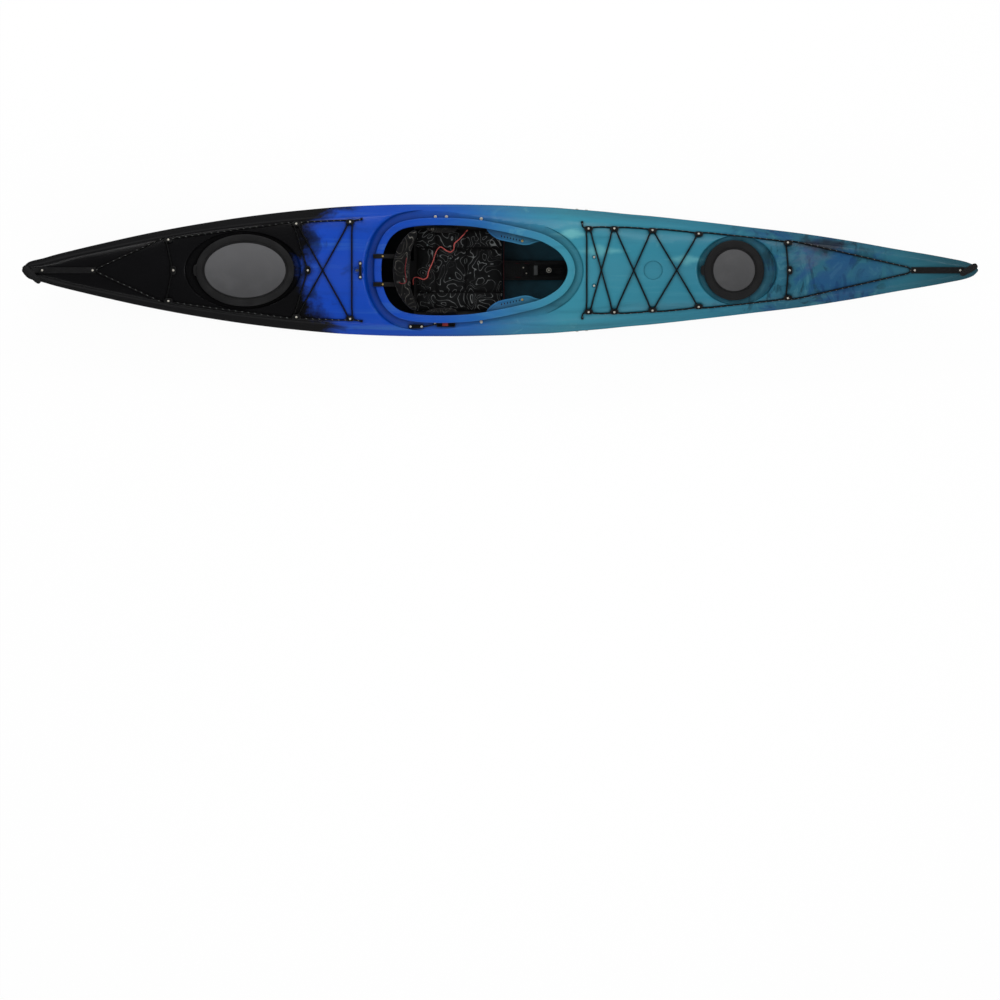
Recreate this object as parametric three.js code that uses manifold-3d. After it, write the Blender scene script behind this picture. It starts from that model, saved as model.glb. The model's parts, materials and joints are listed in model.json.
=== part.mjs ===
// Sea kayak: plastic hull and deck, cockpit with adjustable seat, two hatches,
// drop-down skeg with its deck control, footrests, carry handles and deck lines.
// Frame: millimetres, +X to the bow, +Y to port, +Z up.
// Origin: on the flat of the keel, below mid-length, on the centreline.

import * as THREE from 'three';
import { mergeVertices } from 'three/addons/utils/BufferGeometryUtils.js';
import Module from 'manifold-3d';

const wasm = await Module();
wasm.setup();

// Overall sizes
const LENGTH = 4420;
const BEAM = 610;
const DECK_HEIGHT = 390;
const WALL = 6;
const GAP = 0.3;
const OVERRUN = 40;
const SKY = 900;

const HALF_LENGTH = LENGTH / 2;
const HALF_BEAM = BEAM / 2;

// Hull stations, stern to bow, as shares: place of the half length; half beam
// of the greatest half beam; heights of keel and seam; inset of the deck ridge
// of the greatest half beam; heights of ridge and deck centre; and how sharp
// the bottom is, from 0 for the round middle to 1 for the V of the ends.
const stationShares = [
  [-1, 0.013, 0.815, 0.826, 0.003, 0.833, 0.844, 1],
  [-0.995, 0.066, 0.731, 0.818, 0.016, 0.851, 0.874, 1],
  [-0.986, 0.125, 0.608, 0.815, 0.03, 0.856, 0.89, 1],
  [-0.975, 0.151, 0.441, 0.81, 0.043, 0.859, 0.9, 1],
  [-0.959, 0.177, 0.31, 0.805, 0.056, 0.859, 0.9, 1],
  [-0.932, 0.233, 0.251, 0.79, 0.069, 0.851, 0.897, 1],
  [-0.889, 0.311, 0.228, 0.764, 0.079, 0.836, 0.879, 0.92],
  [-0.837, 0.4, 0.208, 0.715, 0.085, 0.8, 0.854, 0.82],
  [-0.732, 0.567, 0.169, 0.641, 0.092, 0.744, 0.818, 0.6],
  [-0.628, 0.705, 0.133, 0.6, 0.105, 0.718, 0.782, 0.4],
  [-0.523, 0.82, 0.11, 0.559, 0.121, 0.692, 0.774, 0.2],
  [-0.419, 0.908, 0.079, 0.526, 0.138, 0.664, 0.764, 0.08],
  [-0.314, 0.97, 0.049, 0.5, 0.131, 0.649, 0.769, 0],
  [-0.209, 0.997, 0.013, 0.482, 0.118, 0.641, 0.759, 0],
  [-0.181, 1, 0, 0.479, 0.115, 0.641, 0.751, 0],
  [-0.105, 1, 0, 0.472, 0.111, 0.646, 0.769, 0],
  [0, 0.987, 0, 0.472, 0.111, 0.705, 0.859, 0],
  [0.054, 0.97, 0, 0.474, 0.118, 0.749, 0.91, 0],
  [0.105, 0.954, 0.015, 0.479, 0.118, 0.795, 0.951, 0],
  [0.157, 0.925, 0.036, 0.487, 0.118, 0.836, 0.977, 0],
  [0.209, 0.895, 0.056, 0.5, 0.111, 0.815, 0.969, 0.05],
  [0.262, 0.856, 0.074, 0.51, 0.108, 0.777, 0.951, 0.1],
  [0.314, 0.823, 0.09, 0.523, 0.105, 0.746, 0.926, 0.15],
  [0.419, 0.741, 0.118, 0.564, 0.092, 0.731, 0.885, 0.3],
  [0.523, 0.652, 0.138, 0.61, 0.085, 0.746, 0.874, 0.45],
  [0.628, 0.561, 0.164, 0.651, 0.079, 0.777, 0.877, 0.6],
  [0.732, 0.446, 0.195, 0.71, 0.066, 0.815, 0.882, 0.75],
  [0.837, 0.311, 0.292, 0.792, 0.052, 0.867, 0.91, 0.9],
  [0.889, 0.249, 0.413, 0.821, 0.046, 0.89, 0.931, 1],
  [0.941, 0.18, 0.59, 0.854, 0.033, 0.915, 0.956, 1],
  [0.973, 0.131, 0.726, 0.877, 0.026, 0.933, 0.969, 1],
  [0.991, 0.079, 0.815, 0.89, 0.016, 0.931, 0.959, 1],
  [1, 0.013, 0.879, 0.897, 0.003, 0.91, 0.923, 1],
];

// The hollow inside stops short of the two solid ends.
const FIRST_HOLLOW = 3;
const LAST_HOLLOW = stationShares.length - 3;

// Bottom section, keel to seam: for the round and for the sharp section, the
// share of the half beam and the share of the height from keel to seam.
const bottomShares = [
  [0, 0, 0, 0],
  [0.2, 0, 0.1, 0.06],
  [0.62, 0.055, 0.32, 0.22],
  [0.86, 0.22, 0.58, 0.46],
  [0.965, 0.55, 0.82, 0.74],
  [1, 1, 1, 1],
];
// Deck crown between the ridges, as shares of the ridge's half width.
const crownShares = [1, 0.75, 0.5, 0.25, 0];
const CROWN_POWER = 2.3;
// The wall grows this many times thicker at a sharp keel.
const KEEL_FILL = 3;

const lerp = THREE.MathUtils.lerp;
const vec = (x, y, z) => new THREE.Vector3(x, y, z);

const stations = stationShares.map((row) => ({
  x: row[0] * HALF_LENGTH,
  beam: row[1] * HALF_BEAM,
  keel: row[2] * DECK_HEIGHT,
  seam: row[3] * DECK_HEIGHT,
  inset: row[4] * HALF_BEAM,
  ridge: row[5] * DECK_HEIGHT,
  crown: row[6] * DECK_HEIGHT,
  vee: row[7],
}));

// The hull's measures at any x, between two stations.
function hullAt(x) {
  let k = 1;
  while (k < stations.length - 1 && stations[k].x < x) {
    k += 1;
  }
  const a = stations[k - 1];
  const b = stations[k];
  const t = (x - a.x) / (b.x - a.x);
  const mixed = {};
  for (const key of Object.keys(a)) {
    mixed[key] = lerp(a[key], b[key], t);
  }
  return mixed;
}

const ridgeAt = (x) => {
  const s = hullAt(x);
  return s.beam - s.inset;
};

// Height of the deck's smooth surface.
function deckHeight(x, y) {
  const s = hullAt(x);
  const ridge = s.beam - s.inset;
  const side = Math.abs(y);
  if (side > ridge) {
    return lerp(s.ridge, s.seam, (side - ridge) / s.inset);
  }
  return s.crown - (s.crown - s.ridge) * (side / ridge) ** CROWN_POWER;
}

// Height of the hull's inner floor on the centreline.
function floorHeight(x) {
  const s = hullAt(x);
  return s.keel + WALL * (1 + KEEL_FILL * s.vee);
}

// Closed solids and geometries

// Triangles that fill a flat ring, facing the side from which it runs
// counter-clockwise.
function ringFaces(ring) {
  const normal = vec(0, 0, 0);
  ring.forEach((p, k) => normal.add(p.clone().cross(ring[(k + 1) % ring.length])));
  const turn = new THREE.Quaternion().setFromUnitVectors(normal.normalize(), vec(0, 0, 1));
  const flat = ring.map((p) => p.clone().applyQuaternion(turn)).map((p) => new THREE.Vector2(p.x, p.y));
  return THREE.ShapeUtils.triangulateShape(flat, []).map(([a, b, c]) => {
    const turned = flat[b].clone().sub(flat[a]).cross(flat[c].clone().sub(flat[a]));
    return turned > 0 ? [a, b, c] : [a, c, b];
  });
}

// A closed geometry through flat rings of equal counts, each counter-clockwise
// when seen from the last ring.
function loft(rings) {
  const count = rings[0].length;
  const index = [];
  for (let k = 0; k < rings.length - 1; k += 1) {
    for (let j = 0; j < count; j += 1) {
      const a = k * count + j;
      const b = k * count + ((j + 1) % count);
      index.push(a, b, b + count, a, b + count, a + count);
    }
  }
  const top = (rings.length - 1) * count;
  for (const [a, b, c] of ringFaces(rings[0])) {
    index.push(a, c, b);
  }
  for (const [a, b, c] of ringFaces(rings[rings.length - 1])) {
    index.push(top + a, top + b, top + c);
  }
  const geometry = new THREE.BufferGeometry().setFromPoints(rings.flat());
  geometry.setIndex(index);
  return geometry;
}

function solidOf(geometry) {
  const bare = geometry.clone();
  bare.deleteAttribute('normal');
  bare.deleteAttribute('uv');
  const merged = mergeVertices(bare);
  return new wasm.Manifold(new wasm.Mesh({
    numProp: 3,
    vertProperties: new Float32Array(merged.attributes.position.array),
    triVerts: new Uint32Array(merged.index.array),
  }));
}

function geometryOf(solid) {
  const mesh = solid.getMesh();
  const geometry = new THREE.BufferGeometry();
  geometry.setAttribute('position', new THREE.BufferAttribute(new Float32Array(mesh.vertProperties), 3));
  geometry.setIndex(new THREE.BufferAttribute(new Uint32Array(mesh.triVerts), 1));
  return geometry;
}

// A block between two corners.
function block(low, high) {
  const size = vec(...high).sub(vec(...low));
  const geometry = new THREE.BoxGeometry(size.x, size.y, size.z);
  const middle = vec(...low).addScaledVector(size, 1 / 2);
  return solidOf(geometry.translate(middle.x, middle.y, middle.z));
}

// An upright cylinder or cone frustum standing on z = low.
function post(radius, low, high, sides, topRadius = radius) {
  const geometry = new THREE.CylinderGeometry(topRadius, radius, high - low, sides);
  geometry.rotateX(Math.PI / 2);
  return solidOf(geometry.translate(0, 0, (low + high) / 2));
}

// A closed shape of [a, b] points.
function shapeOf(points) {
  return new THREE.Shape(points.map(([a, b]) => new THREE.Vector2(a, b)));
}

// A side profile of [x, z] points, extruded across the boat.
function acrossBoat(profile, width, y = 0) {
  const geometry = new THREE.ExtrudeGeometry(shapeOf(profile), { depth: width, bevelEnabled: false });
  geometry.rotateX(Math.PI / 2);
  return solidOf(geometry.translate(0, y + width / 2, 0));
}

// A cross-section of [y, z] points, extruded along the boat.
function alongBoat(section, low, high) {
  const geometry = new THREE.ExtrudeGeometry(shapeOf(section), { depth: high - low, bevelEnabled: false });
  geometry.rotateX(Math.PI / 2);
  geometry.rotateZ(Math.PI / 2);
  return solidOf(geometry.translate(low, 0, 0));
}

const moved = (solid, matrix) => {
  const geometry = geometryOf(solid);
  geometry.applyMatrix4(matrix);
  return solidOf(geometry);
};

// A turned solid of [radius, z] points, stretched across by a ratio.
function turned(profile, sides, ratio = 1) {
  const points = profile.map(([r, z]) => new THREE.Vector2(r, z));
  const geometry = new THREE.LatheGeometry(points, sides);
  geometry.rotateX(Math.PI / 2);
  geometry.scale(1, ratio, 1);
  return solidOf(geometry);
}

// The finished boat
const kayak = new THREE.Group();
kayak.name = 'sea_kayak';

function add(name, solid, colour, roughness, metalness = 0) {
  const material = new THREE.MeshStandardMaterial({ color: colour, roughness, metalness });
  const geometry = geometryOf(solid);
  geometry.computeVertexNormals();
  const mesh = new THREE.Mesh(geometry, material);
  mesh.name = name;
  kayak.add(mesh);
}

const BLUE = 0x1d4fae;
const TEAL = 0x3b7f96;
const BLACK = 0x141414;
const RUBBER = 0x262627;
const CLOTH = 0x17181a;
const FOAM = 0x3a3b3d;
const RED = 0xb3262b;
const STEEL = 0xb9b6ae;

// Sections of the shell

// Starboard seam, keel, port seam.
function bottomRing(s, inset) {
  const beam = s.beam - inset;
  const keel = s.keel + inset * (1 + KEEL_FILL * s.vee);
  const side = bottomShares.map(([round, roundUp, sharp, sharpUp]) => [
    lerp(round, sharp, s.vee) * beam,
    lerp(keel, s.seam, lerp(roundUp, sharpUp, s.vee)),
  ]);
  const port = side.slice(1).map(([y, z]) => vec(s.x, y, z));
  const starboard = side.slice(1).reverse().map(([y, z]) => vec(s.x, -y, z));
  return [...starboard, vec(s.x, 0, keel), ...port];
}

// Port seam, deck centre, starboard seam.
function topRing(s, inset) {
  const beam = s.beam - inset;
  const ridgeY = (s.beam - s.inset) * (beam / s.beam);
  const ridge = s.ridge - inset;
  const crown = s.crown - inset;
  const side = crownShares.map((share) => [
    share * ridgeY,
    crown - (crown - ridge) * share ** CROWN_POWER,
  ]);
  const port = side.map(([y, z]) => vec(s.x, y, z));
  const starboard = side.slice(0, -1).reverse().map(([y, z]) => vec(s.x, -y, z));
  return [vec(s.x, beam, s.seam), ...port, ...starboard, vec(s.x, -beam, s.seam)];
}

const lifted = (ring, up) => ring.map((p) => vec(p.x, p.y, p.z + up));
const ends = (ring) => [ring[0], ring[ring.length - 1]];
const hollowStations = stations.slice(FIRST_HOLLOW, LAST_HOLLOW + 1);
const SEAM_LAP = 10;

// Bottom half of the shell, outside and inside, open towards the seam.
const seamDrop = -GAP / 2;
const seamRise = GAP / 2;

function bottomSolid(list, inset, rise) {
  return solidOf(loft(list.map((s) => {
    const ring = bottomRing(s, inset);
    const [starboard, port] = ends(ring);
    if (rise <= 0) {
      starboard.z += rise;
      port.z += rise;
      return ring;
    }
    return [...ring, ...lifted([port, starboard], rise)];
  })));
}

function topSolid(list, inset, drop) {
  return solidOf(loft(list.map((s) => {
    const ring = topRing(s, inset);
    const [port, starboard] = ends(ring);
    if (drop <= 0) {
      port.z -= drop;
      starboard.z -= drop;
      return ring;
    }
    return [...ring, ...lifted([starboard, port], -drop)];
  })));
}

// The whole outside, grown by a little, to cut what sits on the deck, and the
// whole inside, shrunk by a little, to trim what sits in the hull.
function wholeSolid(list, inset) {
  return solidOf(loft(list.map((s) => [
    ...topRing(s, inset),
    ...bottomRing(s, inset).slice(1, -1),
  ])));
}
const grownShell = wholeSolid(stations, -GAP);
const insideSpace = wholeSolid(hollowStations, WALL + GAP);
const onDeck = (solid) => solid.subtract(grownShell);
const inHull = (solid) => solid.intersect(insideSpace);

// Cockpit: an egg-shaped opening, its coaming and the sunk floor round it
const COCKPIT_REAR = -548;
const COCKPIT_LENGTH = 861;
const COCKPIT_WIDTH = 418;
const RIM_WIDTH = 35;
const RIM_THICKNESS = 5;
const RIM_DROP = 3;
const NECK_WALL = 8;
const NECK_GROOVE = 9;
const FLOOR_WIDTH = 72;
// The wall round the sunk floor leans out by this share of its height.
const FLOOR_LEAN_SHARE = 0.25;
const EGG_SIDES = 32;

// Half outline, rear to front, as shares of the length and of the half width.
const eggShares = [
  [0, 0],
  [0.004, 0.24],
  [0.021, 0.5],
  [0.05, 0.718],
  [0.1, 0.885],
  [0.179, 0.967],
  [0.269, 0.995],
  [0.375, 0.994],
  [0.494, 0.962],
  [0.6, 0.892],
  [0.72, 0.789],
  [0.849, 0.651],
  [0.904, 0.541],
  [0.952, 0.402],
  [0.988, 0.196],
  [1, 0],
];
const eggHalf = eggShares.map(([along, across]) => vec(
  COCKPIT_REAR + along * COCKPIT_LENGTH,
  (across * COCKPIT_WIDTH) / 2,
  0,
));
const eggMirror = eggHalf.slice(1, -1).reverse().map((p) => vec(p.x, -p.y, 0));
// Counter-clockwise from above: front, port side, rear, starboard side.
const eggPoints = [...eggHalf.slice().reverse(), ...eggMirror.reverse()];
const eggCurve = new THREE.CatmullRomCurve3(eggPoints, true, 'centripetal');
const eggSamples = Array.from({ length: EGG_SIDES }, (_, k) => {
  const point = eggCurve.getPointAt(k / EGG_SIDES);
  const tangent = eggCurve.getTangentAt(k / EGG_SIDES);
  return { point, normal: vec(tangent.y, -tangent.x, 0) };
});
const eggRing = (offset) => eggSamples.map(
  ({ point, normal }) => point.clone().addScaledVector(normal, offset),
);

// Height of the rim's top and of the sunk floor, as shares: place of the half
// length, then heights of the deck height. The floor is straight from the seat
// to the front, so that a thigh brace can slide under it.
const rimShares = [
  [-0.29, 0.7],
  [-0.263, 0.698],
  [-0.177, 0.669],
  [-0.093, 0.725],
  [0, 0.851],
  [0.072, 0.941],
  [0.113, 0.979],
  [0.157, 1],
  [0.2, 1],
];
const FLOOR_TURN_SHARE = -0.104;
const floorShares = [
  [-0.32, 0.66],
  [-0.263, 0.623],
  [-0.181, 0.59],
  [FLOOR_TURN_SHARE, 0.636],
  [0.21, 0.975],
];
const lineHeight = (shares) => (x) => {
  const place = x / HALF_LENGTH;
  let k = 1;
  while (k < shares.length - 1 && shares[k][0] < place) {
    k += 1;
  }
  const [a, low] = shares[k - 1];
  const [b, high] = shares[k];
  return lerp(low, high, (place - a) / (b - a)) * DECK_HEIGHT;
};
const rimHeight = lineHeight(rimShares);
const sunkHeight = lineHeight(floorShares);

// Everything above the sunk floor's line, dropped by the wall for the inside.
function aboveFloor(drop) {
  const line = floorShares.map(([x, z]) => [x * HALF_LENGTH, z * DECK_HEIGHT - drop]);
  const left = line[0][0] - OVERRUN;
  const right = line[line.length - 1][0] + OVERRUN;
  const profile = [
    [left, line[0][1]],
    ...line,
    [right, line[line.length - 1][1]],
    [right, SKY],
    [left, SKY],
  ];
  return acrossBoat(profile, BEAM);
}

// An upright egg-shaped block through the whole boat, wider towards the top.
function eggPrism(offset, lean = 0) {
  const ring = (z) => eggSamples.map(({ point, normal }) => {
    const out = offset + lean * (z - sunkHeight(point.x));
    return vec(point.x + normal.x * out, point.y + normal.y * out, z);
  });
  return solidOf(loft([ring(0), ring(SKY)]));
}
const sunkOutside = eggPrism(FLOOR_WIDTH, FLOOR_LEAN_SHARE).intersect(aboveFloor(0));
const sunkInside = eggPrism(FLOOR_WIDTH + WALL, FLOOR_LEAN_SHARE).intersect(aboveFloor(WALL));

// The coaming: neck and rim in one profile, swept round the egg.
function coamingSolid(grow) {
  const profiles = [
    [-grow, (x) => rimHeight(x) + grow],
    [-grow, (x) => sunkHeight(x) - WALL - grow],
    [NECK_WALL + grow, (x) => sunkHeight(x) - WALL / 2],
    [NECK_WALL + grow, (x) => rimHeight(x) - NECK_GROOVE - grow],
    [RIM_WIDTH + grow, (x) => rimHeight(x) - RIM_DROP - RIM_THICKNESS - grow],
    [RIM_WIDTH + grow, (x) => rimHeight(x) - RIM_DROP + grow],
  ];
  const rings = profiles.map(([offset, height]) => eggRing(offset).map((p) => vec(p.x, p.y, height(p.x))));
  const count = EGG_SIDES;
  const points = rings.flat();
  const index = [];
  for (let k = 0; k < rings.length; k += 1) {
    const next = ((k + 1) % rings.length) * count;
    for (let j = 0; j < count; j += 1) {
      const a = k * count + j;
      const b = k * count + ((j + 1) % count);
      const c = next + ((j + 1) % count);
      const d = next + j;
      index.push(a, b, c, a, c, d);
    }
  }
  const geometry = new THREE.BufferGeometry().setFromPoints(points);
  geometry.setIndex(index);
  return solidOf(geometry);
}
const coaming = coamingSolid(0);
const grownCoaming = coamingSolid(GAP);
const cockpitHole = eggPrism(NECK_WALL / 2);

// Hatches: a sunk bay in the deck, a raised lip and a rubber lid over it.
// Each is built in its own frame, tilted with the deck, on the bay's floor.
const LIP_HEIGHT = 18;
const LIP_WALL = 7;
const LID_SKIRT = 9;
const LID_TOP = 6;
const LID_FIT = 0.5;
const LID_FOOT = 3;
const LID_GROOVE = 3;
const DISC_RISE = 4;
const BAY_DRAFT = 12;
const BAY_DEPTH = 60;
const HATCH_SIDES = 26;
// A hatch's place is a share of the half length; its floor lies at a depth
// under the deck's centre.
const hatches = {
  rear: {
    along: -0.5335,
    depth: 25.2,
    tilt: 0.02,
    bay: [265, 179],
    bayShift: -9,
    ring: [228, 167],
    disc: [188, 127],
    tab: [16, 52],
  },
  bow: {
    along: 0.48914,
    depth: 43.4,
    tilt: 0.056,
    bay: [180, 160],
    bayShift: 14,
    ring: [139, 139],
    disc: [97, 97],
    tab: [20, 48],
  },
};
for (const h of Object.values(hatches)) {
  h.x = h.along * HALF_LENGTH;
  h.floor = deckHeight(h.x, 0) - h.depth;
}
const TAB_THICKNESS = 5;

function hatchFrame(h) {
  const turn = new THREE.Matrix4().makeRotationY(h.tilt);
  return new THREE.Matrix4().makeTranslation(h.x, 0, h.floor).multiply(turn);
}
const ellipse = ([rx, ry], grow, low, high, draft = 0) => turned([
  [0, low],
  [rx + grow, low],
  [rx + grow + draft, high],
  [0, high],
], HATCH_SIDES, (ry + grow) / (rx + grow));

function hatchSolids(h) {
  const frame = hatchFrame(h);
  const shift = new THREE.Matrix4().makeTranslation(h.bayShift, 0, 0);
  const bayFrame = frame.clone().multiply(shift);
  const lipOut = LID_SKIRT + LID_FIT;
  const lipIn = lipOut + LIP_WALL;
  const bay = moved(ellipse(h.bay, 0, 0, BAY_DEPTH, BAY_DRAFT), bayFrame);
  const bayInside = moved(ellipse(h.bay, WALL, -WALL, BAY_DEPTH, BAY_DRAFT), bayFrame);
  const lip = ellipse(h.ring, -lipOut, -WALL / 2, LIP_HEIGHT)
    .subtract(ellipse(h.ring, -lipIn, -WALL, LIP_HEIGHT + WALL));
  const hole = moved(ellipse(h.ring, -lipIn - LIP_WALL / 2, -BAY_DEPTH, BAY_DEPTH), frame)
    .add(moved(ellipse(h.ring, -lipIn, -BAY_DEPTH, LIP_HEIGHT + WALL), frame));
  const under = LIP_HEIGHT + GAP;
  const [rx, ry] = h.ring;
  const [dx] = h.disc;
  const lidTop = under + LID_TOP;
  const shell = turned([
    [0, under],
    [rx - LID_SKIRT, under],
    [rx - LID_SKIRT, LID_FOOT],
    [rx - LID_SKIRT / 3, LID_FOOT],
    [rx, LID_FOOT + LID_SKIRT / 3],
    [rx, lidTop - LID_GROOVE],
    [rx - LID_GROOVE, lidTop],
    [dx + LID_SKIRT, lidTop],
    [dx, lidTop - LID_GROOVE],
    [dx - LID_GROOVE, lidTop + DISC_RISE],
    [0, lidTop + DISC_RISE],
  ], HATCH_SIDES, ry / rx);
  const [reach, width] = h.tab;
  const tab = block(
    [-rx - reach, -width / 2, lidTop - LID_GROOVE - TAB_THICKNESS],
    [-rx + LID_SKIRT, width / 2, lidTop - LID_GROOVE],
  );
  return { bay, bayInside, lip: moved(lip, frame), hole, lid: moved(shell.add(tab), frame) };
}
const rearHatch = hatchSolids(hatches.rear);
const bowHatch = hatchSolids(hatches.bow);

// Compass seat: a round flat recess in the foredeck
const COMPASS_X = 708;
const COMPASS_RADIUS = 43;
const COMPASS_DEPTH = 5;
const COMPASS_SIDES = 24;
const compassSlope = Math.atan(
  (deckHeight(COMPASS_X - COMPASS_RADIUS, 0) - deckHeight(COMPASS_X + COMPASS_RADIUS, 0))
  / (2 * COMPASS_RADIUS),
);
const compassSeat = moved(
  post(COMPASS_RADIUS, 0, BAY_DEPTH, COMPASS_SIDES),
  new THREE.Matrix4()
    .makeTranslation(COMPASS_X, 0, deckHeight(COMPASS_X, 0) - COMPASS_DEPTH)
    .multiply(new THREE.Matrix4().makeRotationY(compassSlope)),
);

// Skeg: a blade that drops out of a slim box through a slot in the keel
const SKEG_PIVOT_X = -1690;
const SKEG_LENGTH = 255;
const SKEG_HEIGHT = 100;
const SKEG_THICKNESS = 6;
const SKEG_PIVOT_RISE = 27;
const SKEG_PIN_RADIUS = 4;
const SKEG_NOSE = 20;
const SKEG_TIP = 46;
const SKEG_BOX_WALL = 4;
const SKEG_BOX_INSIDE = 12;
const SKEG_BOX_MARGIN = 15;
const SKEG_SLOT = 14;
const PIN_SIDES = 10;
const skegPivotZ = hullAt(SKEG_PIVOT_X).keel + SKEG_PIVOT_RISE;
const skegKeelRise = hullAt(SKEG_PIVOT_X - SKEG_LENGTH).keel - hullAt(SKEG_PIVOT_X).keel;
const skegBoxLow = SKEG_PIVOT_X - SKEG_LENGTH - SKEG_BOX_MARGIN;
const skegBoxHigh = SKEG_PIVOT_X + SKEG_NOSE + SKEG_BOX_MARGIN;
const skegSlot = block(
  [skegBoxLow + SKEG_BOX_WALL, -SKEG_SLOT / 2, 0],
  [skegBoxHigh - SKEG_BOX_WALL, SKEG_SLOT / 2, skegPivotZ + SKEG_HEIGHT / 2],
);

// Footrests: a rail bolted through the hull side, and a sliding pedal
const RAIL_START = 344;
const RAIL_LENGTH = 400;
const RAIL_HEIGHT = 26;
const RAIL_DEPTH = 12;
const RAIL_Z = 160;
const RAIL_BOLTS = [12, 56];
const BOLT_RADIUS = 4;
const BOLT_HEAD_RADIUS = 9;
const BOLT_HEAD_HEIGHT = 4;
const BOLT_FIT = 0.4;
const PEDAL_WIDTH = 92;
const PEDAL_HEIGHT = 90;
const PEDAL_THICKNESS = 14;
const PEDAL_X = 560;
const CARRIAGE_LENGTH = 70;
const CARRIAGE_THICKNESS = 9;
const sideAt = (x, z) => {
  const s = hullAt(x);
  const side = bottomRing(s, WALL + GAP).slice(bottomShares.length);
  let k = 1;
  while (k < side.length - 1 && side[k].z < z) {
    k += 1;
  }
  const a = side[k - 1];
  const b = side[k];
  return lerp(a.y, b.y, (z - a.z) / (b.z - a.z));
};
const railAngle = Math.atan2(
  sideAt(RAIL_START, RAIL_Z) - sideAt(RAIL_START + RAIL_LENGTH, RAIL_Z),
  RAIL_LENGTH,
);
// The rail's frame: +X along the rail to the bow, +Y outboard, at its rear end.
function railFrame(side) {
  const mirror = new THREE.Matrix4().makeRotationZ(-side * railAngle);
  const place = new THREE.Matrix4().makeTranslation(RAIL_START, side * sideAt(RAIL_START, RAIL_Z), RAIL_Z);
  return place.multiply(mirror);
}
// A block given by its reach along, its reach outboard and its height.
const railBlock = (side, [x0, x1], [y0, y1], [z0, z1]) => moved(
  block([x0, Math.min(side * y0, side * y1), z0], [x1, Math.max(side * y0, side * y1), z1]),
  railFrame(side),
);
const railBolt = (side, along, radius, [y0, y1]) => {
  const geometry = new THREE.CylinderGeometry(radius, radius, y1 - y0, PIN_SIDES);
  geometry.translate(along, (side * (y0 + y1)) / 2, 0);
  return moved(solidOf(geometry), railFrame(side));
};

// Skeg control: cleat and fairlead on the cockpit's sunk floor, and its line
const LINE_RADIUS = 2.5;
const LINE_SIDES = 8;
const LINE_FIT = 0.6;
const FAIRLEAD_X = -388;
const FAIRLEAD_LENGTH = 68;
const FAIRLEAD_WIDTH = 18;
const FAIRLEAD_HEIGHT = 9;
const FAIRLEAD_Y = -260;
const CLEAT_REAR = -292;
const CLEAT_FRONT = -208;
const CLEAT_Y = -249;
const CLEAT_WIDTH = 25;
const CLEAT_BASE = 4;
const CLEAT_FENCE = 4;
const CLEAT_FENCE_HEIGHT = 8;
const SLIDER_X = -253;
const SLIDER_LENGTH = 27;
const SLIDER_HEIGHT = 9;
const lineDrop = [FAIRLEAD_X - FAIRLEAD_LENGTH / 4, FAIRLEAD_Y];

// Shell
const shellOutsideBottom = bottomSolid(stations, 0, seamDrop);
const shellInsideBottom = bottomSolid(hollowStations, WALL, SEAM_LAP);
let hull = shellOutsideBottom.subtract(shellInsideBottom).subtract(skegSlot);
for (const side of [1, -1]) {
  for (const along of RAIL_BOLTS) {
    hull = hull.subtract(railBolt(side, along, BOLT_RADIUS + BOLT_FIT, [-OVERRUN, OVERRUN]));
  }
}
add('hull_shell', hull, BLUE, 0.42);

const linePort = moved(
  post(LINE_RADIUS * 2, -OVERRUN, OVERRUN, LINE_SIDES),
  new THREE.Matrix4().makeTranslation(lineDrop[0], lineDrop[1], sunkHeight(lineDrop[0])),
);
const deckOutside = topSolid(stations, 0, -seamRise)
  .subtract(sunkOutside)
  .subtract(rearHatch.bay)
  .subtract(bowHatch.bay)
  .subtract(compassSeat);
const compassUnder = moved(
  post(COMPASS_RADIUS + WALL, -WALL, BAY_DEPTH, COMPASS_SIDES),
  new THREE.Matrix4()
    .makeTranslation(COMPASS_X, 0, deckHeight(COMPASS_X, 0) - COMPASS_DEPTH)
    .multiply(new THREE.Matrix4().makeRotationY(compassSlope)),
);
const deckInside = topSolid(hollowStations, WALL, SEAM_LAP)
  .subtract(sunkInside)
  .subtract(rearHatch.bayInside)
  .subtract(bowHatch.bayInside)
  .subtract(compassUnder);
const deck = deckOutside
  .subtract(deckInside)
  .subtract(cockpitHole)
  .add(coaming)
  .add(rearHatch.lip)
  .add(bowHatch.lip)
  .subtract(rearHatch.hole)
  .subtract(bowHatch.hole)
  .subtract(linePort);
add('deck_shell', deck, BLUE, 0.4);
add('rear_hatch_lid', rearHatch.lid, RUBBER, 0.55);
add('bow_hatch_lid', bowHatch.lid, RUBBER, 0.55);

// Bulkheads: foam walls that close the two holds
const REAR_BULKHEAD_X = -668;
const FRONT_BULKHEAD_X = 812;
const BULKHEAD_THICKNESS = 30;
const lineThrough = [REAR_BULKHEAD_X, -225, 200];
const bulkhead = (x) => inHull(block(
  [x - BULKHEAD_THICKNESS / 2, -HALF_BEAM, 0],
  [x + BULKHEAD_THICKNESS / 2, HALF_BEAM, DECK_HEIGHT],
));
const lineBore = moved(
  post(LINE_RADIUS + LINE_FIT, -OVERRUN, OVERRUN, LINE_SIDES),
  new THREE.Matrix4().makeTranslation(...lineThrough)
    .multiply(new THREE.Matrix4().makeRotationY(Math.PI / 2)),
);
add('rear_bulkhead', bulkhead(REAR_BULKHEAD_X).subtract(lineBore), FOAM, 0.9);
add('front_bulkhead', bulkhead(FRONT_BULKHEAD_X), FOAM, 0.9);

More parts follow.
